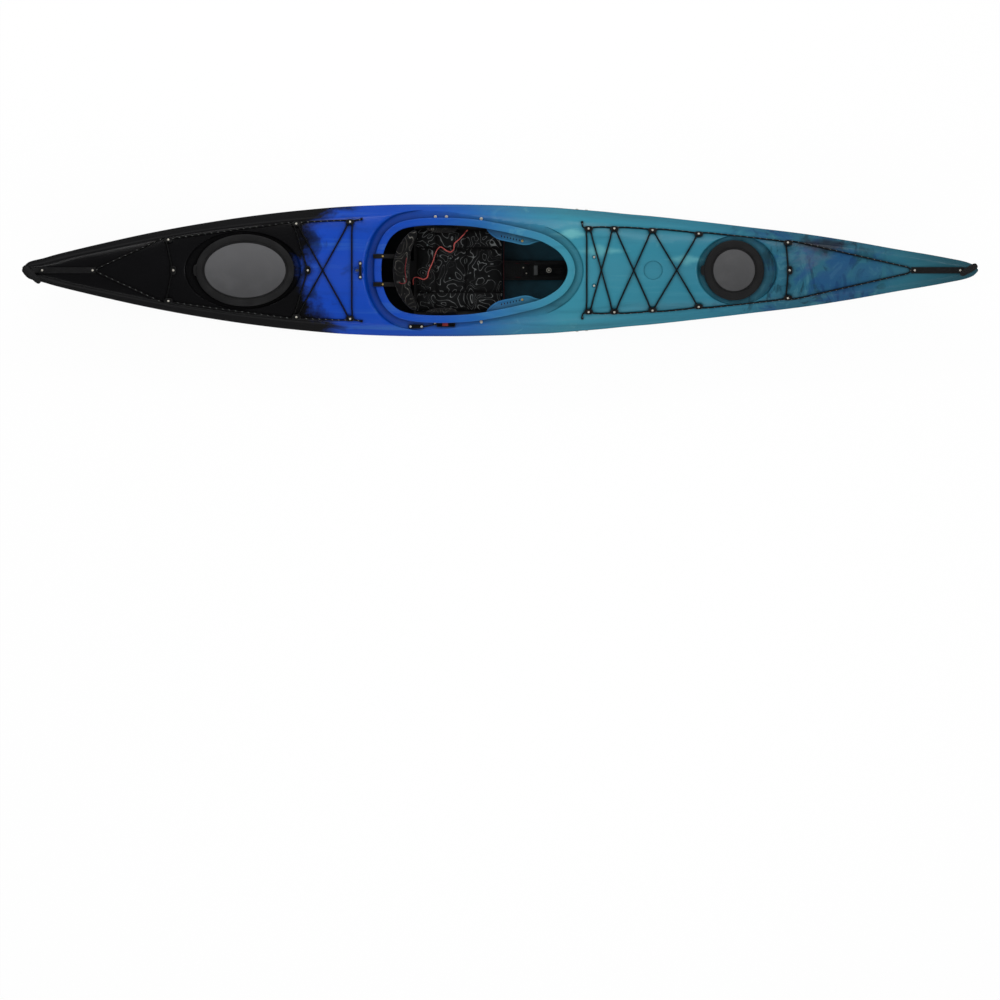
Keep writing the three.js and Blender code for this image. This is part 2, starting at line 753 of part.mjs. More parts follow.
// Skeg box and blade, drawn with the blade up
const skegBoxTop = skegPivotZ + SKEG_HEIGHT + SKEG_BOX_MARGIN;
const boxHalf = SKEG_BOX_INSIDE / 2 + SKEG_BOX_WALL;
const skegBox = inHull(block([skegBoxLow, -boxHalf, 0], [skegBoxHigh, boxHalf, skegBoxTop + SKEG_BOX_WALL]))
  .subtract(block(
    [skegBoxLow + SKEG_BOX_WALL, -SKEG_BOX_INSIDE / 2, 0],
    [skegBoxHigh - SKEG_BOX_WALL, SKEG_BOX_INSIDE / 2, skegBoxTop],
  ));
const skegHole = (radius) => {
  const geometry = new THREE.CylinderGeometry(radius, radius, SKEG_SLOT * 2, PIN_SIDES);
  return solidOf(geometry.translate(SKEG_PIVOT_X, 0, skegPivotZ));
};
const lineGland = [SKEG_PIVOT_X - SKEG_LENGTH / 2, 0, skegBoxTop + SKEG_BOX_WALL + GAP];
add('skeg_box', skegBox.subtract(skegHole(SKEG_PIN_RADIUS + GAP)), BLACK, 0.6);

const BLADE_SHOULDER_SHARE = 0.7;
const BLADE_TOP_SHARE = 0.55;
const BLADE_HEEL_SHARE = 0.4;
const bladeOutline = [
  [SKEG_NOSE, -SKEG_NOSE],
  [SKEG_NOSE, SKEG_NOSE],
  [-SKEG_NOSE * 2, SKEG_HEIGHT * BLADE_SHOULDER_SHARE],
  [-SKEG_LENGTH * BLADE_TOP_SHARE, SKEG_HEIGHT - GAP],
  [-SKEG_LENGTH + SKEG_TIP / 2, SKEG_HEIGHT - GAP],
  [-SKEG_LENGTH, SKEG_HEIGHT - SKEG_TIP],
  [-SKEG_LENGTH + SKEG_TIP / 2, skegKeelRise - SKEG_PIVOT_RISE / 2],
  [-SKEG_LENGTH * BLADE_HEEL_SHARE, skegKeelRise * BLADE_HEEL_SHARE - SKEG_PIVOT_RISE * BLADE_SHOULDER_SHARE],
].map(([x, z]) => [SKEG_PIVOT_X + x, skegPivotZ + z]);
const pinHalf = boxHalf - GAP;
const skegPin = new THREE.CylinderGeometry(SKEG_PIN_RADIUS, SKEG_PIN_RADIUS, pinHalf * 2, PIN_SIDES)
  .translate(SKEG_PIVOT_X, 0, skegPivotZ);
add('skeg_blade', acrossBoat(bladeOutline, SKEG_THICKNESS).add(solidOf(skegPin)), BLACK, 0.5);

// Seat track, on the flat of the hull's floor
const TRACK_REAR = -420;
const TRACK_FRONT = 330;
const TRACK_HALF_WIDTH = 45;
const TRACK_TOP = 48;
const CLAMP_X = 226;
const CLAMP_RADIUS = 5;
const CLAMP_HEAD_RADIUS = 12;
const CLAMP_HEAD_HEIGHT = 5;
const CLAMP_DEPTH = 14;
const CLAMP_FIT = 0.4;
const CLAMP_SIDES = 16;
const at = (solid, x, y, z) => moved(solid, new THREE.Matrix4().makeTranslation(x, y, z));
const track = inHull(block([TRACK_REAR, -TRACK_HALF_WIDTH, 0], [TRACK_FRONT, TRACK_HALF_WIDTH, TRACK_TOP]))
  .subtract(at(post(CLAMP_RADIUS + CLAMP_FIT, TRACK_TOP - CLAMP_DEPTH, SKY, CLAMP_SIDES), CLAMP_X, 0, 0));
add('seat_track', track, BLACK, 0.55);

// Seat tongue: a slotted bar from the seat, held down by the clamp bolt
const PAN_FRONT = 6;
const TONGUE_HALF_WIDTH = 36;
const TONGUE_THICKNESS = 5;
const TONGUE_STEP_X = 152;
const RAISED_X = 160;
const RAISED_FRONT = 300;
const RAISED_HALF_WIDTH = 26;
const RAISED_THICKNESS = 9;
const SLOT_REAR = 177;
const SLOT_FRONT = 280;
const tongueLow = TRACK_TOP + GAP;
const raisedTop = tongueLow + RAISED_THICKNESS;
const slotHalf = CLAMP_RADIUS + CLAMP_FIT;
const tongue = block(
  [PAN_FRONT + GAP, -TONGUE_HALF_WIDTH, tongueLow],
  [RAISED_X + GAP, TONGUE_HALF_WIDTH, tongueLow + TONGUE_THICKNESS],
).add(block([TONGUE_STEP_X, -RAISED_HALF_WIDTH, tongueLow], [RAISED_FRONT, RAISED_HALF_WIDTH, raisedTop]))
  .subtract(block([SLOT_REAR, -slotHalf, 0], [SLOT_FRONT, slotHalf, SKY]));
add('seat_tongue', tongue, BLACK, 0.45);
const clampHead = at(
  post(CLAMP_HEAD_RADIUS, raisedTop + GAP, raisedTop + GAP + CLAMP_HEAD_HEIGHT, CLAMP_SIDES),
  CLAMP_X,
  0,
  0,
);
const clampShank = at(
  post(CLAMP_RADIUS, TRACK_TOP - CLAMP_DEPTH + GAP, raisedTop + CLAMP_HEAD_HEIGHT, CLAMP_SIDES),
  CLAMP_X,
  0,
  0,
);
add('seat_clamp_bolt', clampHead.add(clampShank), STEEL, 0.3, 0.9);

// Seat pan: a moulded tray with two uprights for the hip pads
const PAN_REAR = -398;
const PAN_THICKNESS = 5;
const PAN_FLAT_HALF = 110;
const PAN_CLEARANCE = 3;
const PAN_HALF = COCKPIT_WIDTH / 2 - PAN_CLEARANCE;
const PAN_WING_RISE = 26;
const UPRIGHT_REAR = -346;
const UPRIGHT_FRONT = -188;
const UPRIGHT_TOP = 214;
const panLow = TRACK_TOP + GAP;
const panSection = (low, thickness, half) => {
  const under = [
    [-half, low + (PAN_WING_RISE * (half - PAN_FLAT_HALF)) / (PAN_HALF - PAN_FLAT_HALF)],
    [-PAN_FLAT_HALF, low],
    [PAN_FLAT_HALF, low],
    [half, low + (PAN_WING_RISE * (half - PAN_FLAT_HALF)) / (PAN_HALF - PAN_FLAT_HALF)],
  ];
  const over = under.slice().reverse().map(([y, z]) => [y, z + thickness]);
  return [...under, ...over];
};
let pan = alongBoat(panSection(panLow, PAN_THICKNESS, PAN_HALF), PAN_REAR, PAN_FRONT);
for (const side of [1, -1]) {
  const y0 = Math.min(side * PAN_HALF, side * (PAN_HALF - PAN_THICKNESS));
  pan = pan.add(block(
    [UPRIGHT_REAR, y0, panLow + PAN_WING_RISE],
    [UPRIGHT_FRONT, y0 + PAN_THICKNESS, UPRIGHT_TOP],
  ));
}
add('seat_pan', pan, BLACK, 0.6);

// Seat cushion: crowned panels between sewn channels, tufted at four buttons
const CUSHION_REAR = -396;
const CUSHION_FRONT = 22;
const CUSHION_MARGIN = 10;
const CUSHION_HALF = PAN_HALF - CUSHION_MARGIN;
const CUSHION_HEIGHT = 30;
const CUSHION_CROWN = 9;
const CHANNEL_DEPTH = 6;
const CHANNEL_WIDTH = 12;
const TUFT_DEPTH = 7;
const TUFT_RADIUS = 20;
const CUSHION_STEPS = [17, 14];
// Sewn channels and buttons, as shares of the cushion's length from its rear
// edge and of its half width.
const crossChannelShares = [0.239, 0.572];
const longChannelShares = [-0.526, 0.526];
const tuftShares = [[0.146, 0.602], [0.4, 0.281], [0.392, -0.189], [0.139, -0.531]];
const alongCushion = (share) => lerp(CUSHION_REAR, CUSHION_FRONT, share);
const crossChannels = crossChannelShares.map(alongCushion);
const longChannels = longChannelShares.map((share) => share * CUSHION_HALF);
const tufts = tuftShares.map(([along, across]) => [alongCushion(along), across * CUSHION_HALF]);
const dip = (distance, width) => Math.exp(-((distance / width) ** 2));
const wingSlope = PAN_WING_RISE / (PAN_HALF - PAN_FLAT_HALF);
const wingRise = (y) => wingSlope * Math.max(0, Math.abs(y) - PAN_FLAT_HALF);
function cushionTop(x, y) {
  const u = (2 * (x - CUSHION_REAR)) / (CUSHION_FRONT - CUSHION_REAR) - 1;
  const v = y / CUSHION_HALF;
  const crown = CUSHION_CROWN * (1 - u ** 4) * (1 - v ** 4);
  const across = crossChannels.map((c) => dip(x - c, CHANNEL_WIDTH));
  const along = longChannels.map((c) => dip(y - c, CHANNEL_WIDTH));
  const sewn = CHANNEL_DEPTH * Math.max(...across, ...along);
  const pulled = tufts.map(([tx, ty]) => TUFT_DEPTH * dip(Math.hypot(x - tx, y - ty), TUFT_RADIUS));
  return CUSHION_HEIGHT + crown - sewn - Math.max(...pulled);
}
// The rows follow the channels, so that each channel has its own line of points.
function spread(low, high, count, keep) {
  const even = Array.from({ length: count + 1 }, (_, k) => lerp(low, high, k / count));
  const pitch = (high - low) / count;
  return even.map((v) => {
    const near = keep.find((c) => Math.abs(c - v) < pitch / 2);
    return near === undefined ? v : near;
  });
}
function cushionSolid() {
  const rows = spread(CUSHION_REAR, CUSHION_FRONT, CUSHION_STEPS[0], crossChannels);
  const columns = spread(-CUSHION_HALF, CUSHION_HALF, CUSHION_STEPS[1], longChannels);
  const base = panLow + PAN_THICKNESS + GAP;
  const drawn = (y) => y * (1 - CHANNEL_WIDTH / CUSHION_HALF / 2);
  return solidOf(loft(rows.map((x, k) => {
    const last = k === 0 || k === rows.length - 1;
    const trim = last ? CUSHION_CROWN / CUSHION_HEIGHT : 0;
    const under = columns.map((y) => vec(x, drawn(y), base + wingRise(drawn(y))));
    const over = columns.slice().reverse().map((y) => {
      const height = cushionTop(x, y) * (1 - trim);
      return vec(x, y, base + wingRise(y) + height);
    });
    return [...over, ...under];
  })));
}
add('seat_cushion', cushionSolid(), CLOTH, 0.85);

// Hip pads, on the inner face of the pan's uprights
const HIP_THICKNESS = 24;
const HIP_TOP = 258;
const HIP_LOW = 128;
const HIP_ROUND = 22;
for (const [side, name] of [[1, 'hip_pad_port'], [-1, 'hip_pad_starboard']]) {
  const pad = new THREE.Shape();
  pad.moveTo(UPRIGHT_REAR + HIP_ROUND, HIP_LOW);
  pad.lineTo(UPRIGHT_FRONT - HIP_ROUND, HIP_LOW);
  pad.quadraticCurveTo(UPRIGHT_FRONT, HIP_LOW, UPRIGHT_FRONT, HIP_LOW + HIP_ROUND);
  pad.lineTo(UPRIGHT_FRONT, HIP_TOP - HIP_ROUND);
  pad.quadraticCurveTo(UPRIGHT_FRONT, HIP_TOP, UPRIGHT_FRONT - HIP_ROUND, HIP_TOP);
  pad.lineTo(UPRIGHT_REAR + HIP_ROUND, HIP_TOP);
  pad.quadraticCurveTo(UPRIGHT_REAR, HIP_TOP, UPRIGHT_REAR, HIP_TOP - HIP_ROUND);
  pad.lineTo(UPRIGHT_REAR, HIP_LOW + HIP_ROUND);
  pad.quadraticCurveTo(UPRIGHT_REAR, HIP_LOW, UPRIGHT_REAR + HIP_ROUND, HIP_LOW);
  const bevel = HIP_THICKNESS / 4;
  const geometry = new THREE.ExtrudeGeometry(pad, {
    depth: HIP_THICKNESS - 2 * bevel,
    curveSegments: 3,
    bevelThickness: bevel,
    bevelSize: bevel,
    bevelOffset: -bevel,
    bevelSegments: 1,
  });
  geometry.rotateX(Math.PI / 2);
  const face = side * (PAN_HALF - PAN_THICKNESS - GAP);
  const shift = side > 0 ? face - bevel : face + HIP_THICKNESS - bevel;
  add(name, solidOf(geometry.translate(0, shift, 0)), CLOTH, 0.85);
}

// Back band: a padded crescent that tilts forward off its two straps
const BAND_LOW = 148;
const BAND_HIGH = 284;
const BAND_ROUND = 14;
const BAND_REAR = -491;
const BAND_SWEEP = 109;
const BAND_HALF = 186;
const BAND_TIP_SHARE = 0.8;
// Half outline from above, as shares of the sweep and of the half width.
const bandRearShares = [[0, 0], [0.037, 0.269], [0.174, 0.538], [0.468, 0.806], [0.835, 1]];
const bandFrontShares = [[1, 0.989], [0.835, 0.699], [0.679, 0.403], [0.615, 0]];
const bandHalf = [
  ...bandRearShares.map(([along, across]) => ({ along, across, inward: 1 })),
  ...bandFrontShares.map(([along, across]) => ({ along, across, inward: -1 })),
];
const bandMirror = bandHalf.slice(1, -1).reverse().map((p) => ({ ...p, across: -p.across }));
function bandRing(z, tuck) {
  return [...bandHalf, ...bandMirror].map(({ along, across, inward }) => {
    const hold = tuck * BAND_ROUND * (1 - BAND_TIP_SHARE * Math.abs(across));
    const y = across * (BAND_HALF - tuck * BAND_ROUND);
    return vec(BAND_REAR + along * BAND_SWEEP + inward * hold, y, z);
  });
}
const bandRings = [
  bandRing(BAND_LOW, 1),
  bandRing(BAND_LOW + BAND_ROUND, 0),
  bandRing(BAND_HIGH - BAND_ROUND, 0),
  bandRing(BAND_HIGH, 1),
].map((ring) => ring.reverse());
add('back_band', solidOf(loft(bandRings)), CLOTH, 0.85);

// Back straps: from the band over the rear rim
const STRAP_THICKNESS = 2.5;
const BACK_STRAP_WIDTH = 20;
const BACK_STRAP_Y = 65;
const STRAP_DROP = 12;
const STRAP_FALL = 16;
const STRAP_ROOT_SHARE = 0.045;
function backStrap(y) {
  const band = BAND_REAR + BAND_SWEEP * STRAP_ROOT_SHARE;
  const edge = COCKPIT_REAR + RIM_THICKNESS;
  const outer = COCKPIT_REAR - RIM_WIDTH + RIM_DROP;
  const over = rimHeight(COCKPIT_REAR) + GAP;
  const under = [
    [band - GAP, over - STRAP_FALL],
    [edge, over],
    [outer, over],
    [outer, over - STRAP_DROP],
  ];
  const upper = [
    [outer - STRAP_THICKNESS, over - STRAP_DROP],
    [outer - STRAP_THICKNESS, over + STRAP_THICKNESS],
    [edge, over + STRAP_THICKNESS],
    [band - GAP, over - STRAP_FALL + STRAP_THICKNESS],
  ];
  return acrossBoat([...under, ...upper], BACK_STRAP_WIDTH, y).subtract(grownCoaming);
}
add('back_strap_port', backStrap(BACK_STRAP_Y), BLACK, 0.75);
add('back_strap_starboard', backStrap(-BACK_STRAP_Y), BLACK, 0.75);

// Thigh braces: flat plates under the cockpit's sunk floor, with a row of
// holes; each is set forward along its own row.
const BRACE_THICKNESS = 6;
const BRACE_HOLE_RADIUS = 2.6;
const BRACE_HOLES = 7;
const BRACE_REAR = -62;
const BRACE_LENGTH = 248;
const BRACE_INNER = 117;
const BRACE_WIDTH = 111;
const BRACE_SCREW_RADIUS = 5.5;
const BRACE_SCREW_HEIGHT = 3;
const HOLE_SIDES = 6;
// Outline and row of holes, as shares of the length and of the width.
const braceShares = [
  [0, 0.649],
  [0.056, 0.477],
  [0.113, 0.369],
  [0.218, 0.234],
  [0.46, 0.108],
  [0.685, 0],
  [0.79, 0.009],
  [0.903, 0.099],
  [1, 0.171],
  [0.984, 0.405],
  [0.653, 0.676],
  [0.25, 0.892],
  [0.008, 1],
];
const BRACE_ROW_REAR_SHARE = [0.278, 0.36];
const BRACE_ROW_FRONT_SHARE = [0.665, 0.171];
const [turnPoint, frontPoint] = floorShares.slice(-2);
const floorSlope = Math.atan2(
  (frontPoint[1] - turnPoint[1]) * DECK_HEIGHT,
  (frontPoint[0] - turnPoint[0]) * HALF_LENGTH,
);
const braceFrame = new THREE.Matrix4()
  .makeTranslation(0, 0, sunkHeight(0) - (WALL + GAP) / Math.cos(floorSlope))
  .multiply(new THREE.Matrix4().makeRotationY(-floorSlope));
for (const [side, name] of [[1, 'thigh_brace_port'], [-1, 'thigh_brace_starboard']]) {
  const local = ([along, across]) => [
    (BRACE_REAR + along * BRACE_LENGTH) / Math.cos(floorSlope),
    side * (BRACE_INNER + across * BRACE_WIDTH),
  ];
  const outline = shapeOf(braceShares.map(local));
  for (let k = 0; k < BRACE_HOLES; k += 1) {
    const share = k / BRACE_HOLES;
    const [x, y] = local([
      lerp(BRACE_ROW_REAR_SHARE[0], BRACE_ROW_FRONT_SHARE[0], share),
      lerp(BRACE_ROW_REAR_SHARE[1], BRACE_ROW_FRONT_SHARE[1], share),
    ]);
    const hole = Array.from({ length: HOLE_SIDES }, (_, j) => {
      const angle = (2 * Math.PI * j) / HOLE_SIDES;
      const rim = new THREE.Vector2(Math.cos(angle), Math.sin(angle)).multiplyScalar(BRACE_HOLE_RADIUS);
      return rim.add(new THREE.Vector2(x, y));
    });
    outline.holes.push(new THREE.Path(hole));
  }
  const plate = new THREE.ExtrudeGeometry(outline, { depth: BRACE_THICKNESS, bevelEnabled: false });
  plate.translate(0, 0, -BRACE_THICKNESS);
  const [sx, sy] = local(BRACE_ROW_FRONT_SHARE);
  const screw = at(post(BRACE_SCREW_RADIUS, -GAP, BRACE_SCREW_HEIGHT, HOLE_SIDES * 2), sx, sy, 0);
  add(name, moved(solidOf(plate).add(screw), braceFrame), TEAL, 0.42);
}

// Footrests
for (const [side, end] of [[1, 'port'], [-1, 'starboard']]) {
  const railHalf = RAIL_HEIGHT / 2;
  let rail = inHull(railBlock(side, [0, RAIL_LENGTH], [-RAIL_DEPTH, OVERRUN], [-railHalf, railHalf]));
  const outside = WALL + BOLT_HEAD_HEIGHT + GAP;
  for (const along of RAIL_BOLTS) {
    const head = onDeck(railBolt(side, along, BOLT_HEAD_RADIUS, [0, outside]));
    rail = rail.add(head).add(railBolt(side, along, BOLT_RADIUS, [-RAIL_DEPTH / 2, outside - GAP]));
  }
  add(`footrest_rail_${end}`, rail, BLACK, 0.5);
  const face = -RAIL_DEPTH - GAP;
  const along = PEDAL_X - RAIL_START;
  const pedal = railBlock(
    side,
    [along - PEDAL_THICKNESS / 2, along + PEDAL_THICKNESS / 2],
    [face - PEDAL_WIDTH, face - CARRIAGE_THICKNESS / 2],
    [-PEDAL_HEIGHT / 2, PEDAL_HEIGHT / 2],
  ).add(railBlock(
    side,
    [along - CARRIAGE_LENGTH / 2, along + CARRIAGE_LENGTH / 2],
    [face - CARRIAGE_THICKNESS, face],
    [-RAIL_HEIGHT / 2, RAIL_HEIGHT / 2],
  ));
  add(`foot_pedal_${end}`, pedal, BLACK, 0.55);
}

// Skeg control on the sunk floor: pieces that follow the floor's line
function floorStrip(x0, x1, y, width, low, high) {
  const turn = FLOOR_TURN_SHARE * HALF_LENGTH;
  const places = [x0, ...(x0 < turn && turn < x1 ? [turn] : []), x1];
  const under = places.map((x) => [x, sunkHeight(x) + low]);
  const over = places.slice().reverse().map((x) => [x, sunkHeight(x) + high]);
  return acrossBoat([...under, ...over], width, y);
}
const cleatTop = GAP + CLEAT_BASE;
const fenceY = (CLEAT_WIDTH - CLEAT_FENCE) / 2;
const fenceTop = cleatTop + CLEAT_FENCE_HEIGHT;
const lineMouth = at(
  moved(
    post(LINE_RADIUS + LINE_FIT, -CLEAT_WIDTH, CLEAT_FENCE * 2, LINE_SIDES),
    new THREE.Matrix4().makeRotationY(Math.PI / 2),
  ),
  CLEAT_REAR,
  CLEAT_Y,
  sunkHeight(CLEAT_REAR) + cleatTop + CLEAT_FENCE,
);
const cleat = floorStrip(CLEAT_REAR, CLEAT_FRONT, CLEAT_Y, CLEAT_WIDTH, GAP, cleatTop)
  .add(floorStrip(CLEAT_REAR, CLEAT_FRONT, CLEAT_Y - fenceY, CLEAT_FENCE, GAP, fenceTop))
  .add(floorStrip(CLEAT_REAR, CLEAT_FRONT, CLEAT_Y + fenceY, CLEAT_FENCE, GAP, fenceTop))
  .add(floorStrip(CLEAT_REAR, CLEAT_REAR + CLEAT_FENCE / 2, CLEAT_Y, CLEAT_WIDTH, GAP, fenceTop))
  .subtract(lineMouth);
add('skeg_cleat', cleat, BLACK, 0.45);
const sliderHalf = CLEAT_WIDTH / 2 - CLEAT_FENCE - GAP;
add('skeg_slider', floorStrip(
  SLIDER_X - SLIDER_LENGTH / 2,
  SLIDER_X + SLIDER_LENGTH / 2,
  CLEAT_Y,
  sliderHalf * 2,
  cleatTop + GAP,
  cleatTop + GAP + SLIDER_HEIGHT,
), RED, 0.45);
const fairleadBore = LINE_RADIUS + LINE_FIT;
const fairleadLow = FAIRLEAD_X - FAIRLEAD_LENGTH / 2;
const fairleadHigh = FAIRLEAD_X + FAIRLEAD_LENGTH / 2;
const fairleadSlot = floorStrip(
  lineDrop[0] - fairleadBore,
  fairleadHigh,
  FAIRLEAD_Y,
  fairleadBore * 2,
  -GAP,
  fairleadBore * 2 + GAP,
);
const fairlead = floorStrip(fairleadLow, fairleadHigh, FAIRLEAD_Y, FAIRLEAD_WIDTH, GAP, FAIRLEAD_HEIGHT)
  .subtract(fairleadSlot);
add('skeg_fairlead', fairlead, BLACK, 0.45);

// Cords: tubes through chosen points
class RouteCurve extends THREE.Curve {
  constructor(points) {
    super();
    this.points = points;
  }

  getPoint(t, target = new THREE.Vector3()) {
    const last = this.points.length - 1;
    const k = Math.min(Math.floor(t * last), last - 1);
    return target.lerpVectors(this.points[k], this.points[k + 1], t * last - k);
  }

  getUtoTmapping(u) {
    return u;
  }
}
function cordSolid(points, radius, sides) {
  const section = Array.from({ length: sides }, (_, k) => {
    const angle = (2 * Math.PI * k) / sides;
    return [radius * Math.cos(angle), radius * Math.sin(angle)];
  });
  return solidOf(new THREE.ExtrudeGeometry(shapeOf(section), {
    steps: points.length - 1,
    extrudePath: new RouteCurve(points),
  }));
}
const smooth = (points, steps) => {
  const curve = new THREE.CatmullRomCurve3(points, false, 'centripetal');
  return curve.getSpacedPoints(steps);
};

// The skeg's line: out of the cleat, through the fairlead and the deck, along
// the starboard side and the rear bulkhead, to the skeg box.
const lineRest = GAP + LINE_RADIUS + LINE_FIT;
const lineFall = WALL + LINE_RADIUS * 2;
const onFloor = (x, y, rise) => [x, y, sunkHeight(x) + rise];
const lineRoute = [
  onFloor(CLEAT_REAR - GAP, CLEAT_Y, cleatTop + CLEAT_FENCE),
  onFloor(-318, -254, lineRest * 2),
  onFloor(-346, FAIRLEAD_Y, lineRest),
  onFloor(-370, FAIRLEAD_Y, lineRest),
  onFloor(-396, FAIRLEAD_Y, lineRest),
  onFloor(lineDrop[0] + GAP, FAIRLEAD_Y, GAP),
  onFloor(lineDrop[0], FAIRLEAD_Y, -WALL),
  onFloor(lineDrop[0], FAIRLEAD_Y, -lineFall),
  [-412, -256, 208],
  [-450, -246, 201],
  [-540, -234, 200],
  [-640, lineThrough[1], lineThrough[2]],
  [-668, lineThrough[1], lineThrough[2]],
  [-696, lineThrough[1], lineThrough[2]],
  [-925, -215, 206],
  [-1156, -197, 214],
  [-1387, -152, 222],
  [-1560, -97, 228],
  [-1700, -42, 234],
  [-1780, -10, 236],
  [-1806, -1, 234],
  [lineGland[0], 0, 228],
  [lineGland[0], 0, lineGland[2]],
].map((p) => vec(...p));
add('skeg_line', cordSolid(lineRoute, LINE_RADIUS, LINE_SIDES), BLACK, 0.8);

// Deck fittings: a screwed stem with a cap; cords run along both of its sides
const DECK_CORD_RADIUS = 3;
const DECK_CORD_SIDES = 8;
const CORD_CLEAR = 0.9;
const STEM_WIDTH = 9;
const STEM_LENGTH = 16;
const STEM_ROOT = 8;
const CAP_LENGTH = 40;
const CAP_WIDTH = 30;
const CAP_THICKNESS = 4;
const CAP_SIDES = 10;
const SCREW_RADIUS = 5;
const SCREW_HEIGHT = 2.5;
const SCREW_SIDES = 6;
const capLow = 2 * DECK_CORD_RADIUS + 2 * CORD_CLEAR;
const laneOffset = STEM_WIDTH / 2 + DECK_CORD_RADIUS + CORD_CLEAR;

function deckNormal(x, y) {
  const slopeX = (deckHeight(x + GAP, y) - deckHeight(x - GAP, y)) / (2 * GAP);
  const slopeY = (deckHeight(x, y + GAP) - deckHeight(x, y - GAP)) / (2 * GAP);
  return vec(-slopeX, -slopeY, 1).normalize();
}
function deckFrame(x, y, turn = 0) {
  const up = deckNormal(x, y);
  const lie = new THREE.Quaternion().setFromUnitVectors(vec(0, 0, 1), up);
  const spin = new THREE.Quaternion().setFromAxisAngle(vec(0, 0, 1), turn);
  return new THREE.Matrix4().compose(vec(x, y, deckHeight(x, y)), lie.multiply(spin), vec(1, 1, 1));
}
function fittingSolid() {
  const stem = block(
    [-STEM_LENGTH / 2, -STEM_WIDTH / 2, -STEM_ROOT],
    [STEM_LENGTH / 2, STEM_WIDTH / 2, capLow + CAP_THICKNESS / 2],
  );
  const cap = turned([
    [0, capLow],
    [CAP_LENGTH / 2, capLow],
    [CAP_LENGTH / 2 - CAP_THICKNESS / 2, capLow + CAP_THICKNESS],
    [0, capLow + CAP_THICKNESS],
  ], CAP_SIDES, CAP_WIDTH / CAP_LENGTH);
  const screwTop = capLow + CAP_THICKNESS + SCREW_HEIGHT;
  return stem.add(cap).add(post(SCREW_RADIUS, capLow + CAP_THICKNESS / 2, screwTop, SCREW_SIDES));
}
const plainFitting = fittingSolid();

// Pairs on both sides, as shares: place of the half length, and of the deck
// ridge's half width there. The middle ones stand on the centreline.
const pairShares = {
  stern: [-0.694, 0.872],
  rear: [-0.4262, 0.91],
  aft: [-0.3136, 0.863],
  front_1: [0.185, 0.78],
  front_2: [0.2385, 0.81],
  front_3: [0.3186, 0.827],
  front_4: [0.4154, 0.825],
  bow: [0.6023, 0.807],
};
const middleShares = { stern: -0.684, rear: -0.402, bow: 0.606 };
const fittings = {};
for (const [key, [along, across]] of Object.entries(pairShares)) {
  const x = along * HALF_LENGTH;
  for (const [side, end] of [[1, 'port'], [-1, 'starboard']]) {
    const y = side * across * ridgeAt(x);
    fittings[`${key}_${end}`] = { x, y, side };
    add(`deck_fitting_${key}_${end}`, onDeck(moved(plainFitting, deckFrame(x, y))), BLACK, 0.5);
  }
}
for (const [key, along] of Object.entries(middleShares)) {
  const x = along * HALF_LENGTH;
  fittings[`${key}_middle`] = { x, y: 0, side: 0 };
  add(`deck_hook_${key}`, onDeck(moved(plainFitting, deckFrame(x, 0, Math.PI / 2))), BLACK, 0.5);
}

// A point of a deck cord: its plan place, resting on the deck, raised by lift.
function onCrown(x, y, lift = 0) {
  const rest = DECK_CORD_RADIUS + CORD_CLEAR + lift;
  return vec(x, y, deckHeight(x, y)).addScaledVector(deckNormal(x, y), rest);
}
// Three points through a fitting, from the stern end to the bow end, or the
// other way with heading -1: the grab line runs past the whole cap on its outer
// side (1), and a stretch cord turns round the stem on its inner side (-1).
function through(name, out, heading) {
  const f = fittings[name];
  const y = f.y + f.side * out * laneOffset;
  const reach = out > 0 ? CAP_LENGTH / 2 + DECK_CORD_RADIUS : STEM_LENGTH / 2;
  return [-reach, 0, reach].map((along) => onCrown(f.x + heading * along, y));
}
// Points between two others along the deck; the lift lets one cord pass over
// another on the centreline.
const CROSSING_LIFT = 2 * DECK_CORD_RADIUS + CORD_CLEAR;
const CROSSING_REACH = 42;
function between(a, b, count, lift = 0) {
  return Array.from({ length: count - 1 }, (_, k) => {
    const p = a.clone().lerp(b, (k + 1) / count);
    return onCrown(p.x, p.y, lift * dip(p.y, CROSSING_REACH));
  });
}
function joined(runs, counts, lifts) {
  return runs.flatMap((run, k) => {
    if (k === runs.length - 1) {
      return run;
    }
    return [...run, ...between(run[run.length - 1], runs[k + 1][0], counts[k], lifts[k])];
  });
}
function addDeckCord(name, points) {
  add(name, cordSolid(points, DECK_CORD_RADIUS, DECK_CORD_SIDES), BLACK, 0.8);
}

// Handle straps lie along the centreline at both ends
const HANDLE_STRAP_WIDTH = 28;
const HANDLE_STRAP_THICKNESS = 3;
const sternStrap = { low: -2131, high: -1870, screws: [-2117, -1884] };
const bowStrap = { low: 1902, high: 2142, screws: [1918, 2128] };
function handleStrap({ low, high, screws }) {
  const places = [
    low,
    ...stations.map((s) => s.x).filter((x) => x > low && x < high),
    high,
  ];
  const under = places.map((x) => [x, deckHeight(x, 0) + GAP]);
  const over = places.slice().reverse().map((x) => [x, deckHeight(x, 0) + GAP + HANDLE_STRAP_THICKNESS]);
  let strap = acrossBoat([...under, ...over], HANDLE_STRAP_WIDTH);
  for (const x of screws) {
    const foot = HANDLE_STRAP_THICKNESS / 2;
    const head = post(SCREW_RADIUS, foot, foot + HANDLE_STRAP_THICKNESS + SCREW_HEIGHT, SCREW_SIDES);
    strap = strap.add(moved(head, deckFrame(x, 0)));
  }
  return strap;
}
add('stern_handle_strap', handleStrap(sternStrap), BLACK, 0.7);
add('bow_handle_strap', handleStrap(bowStrap), BLACK, 0.7);

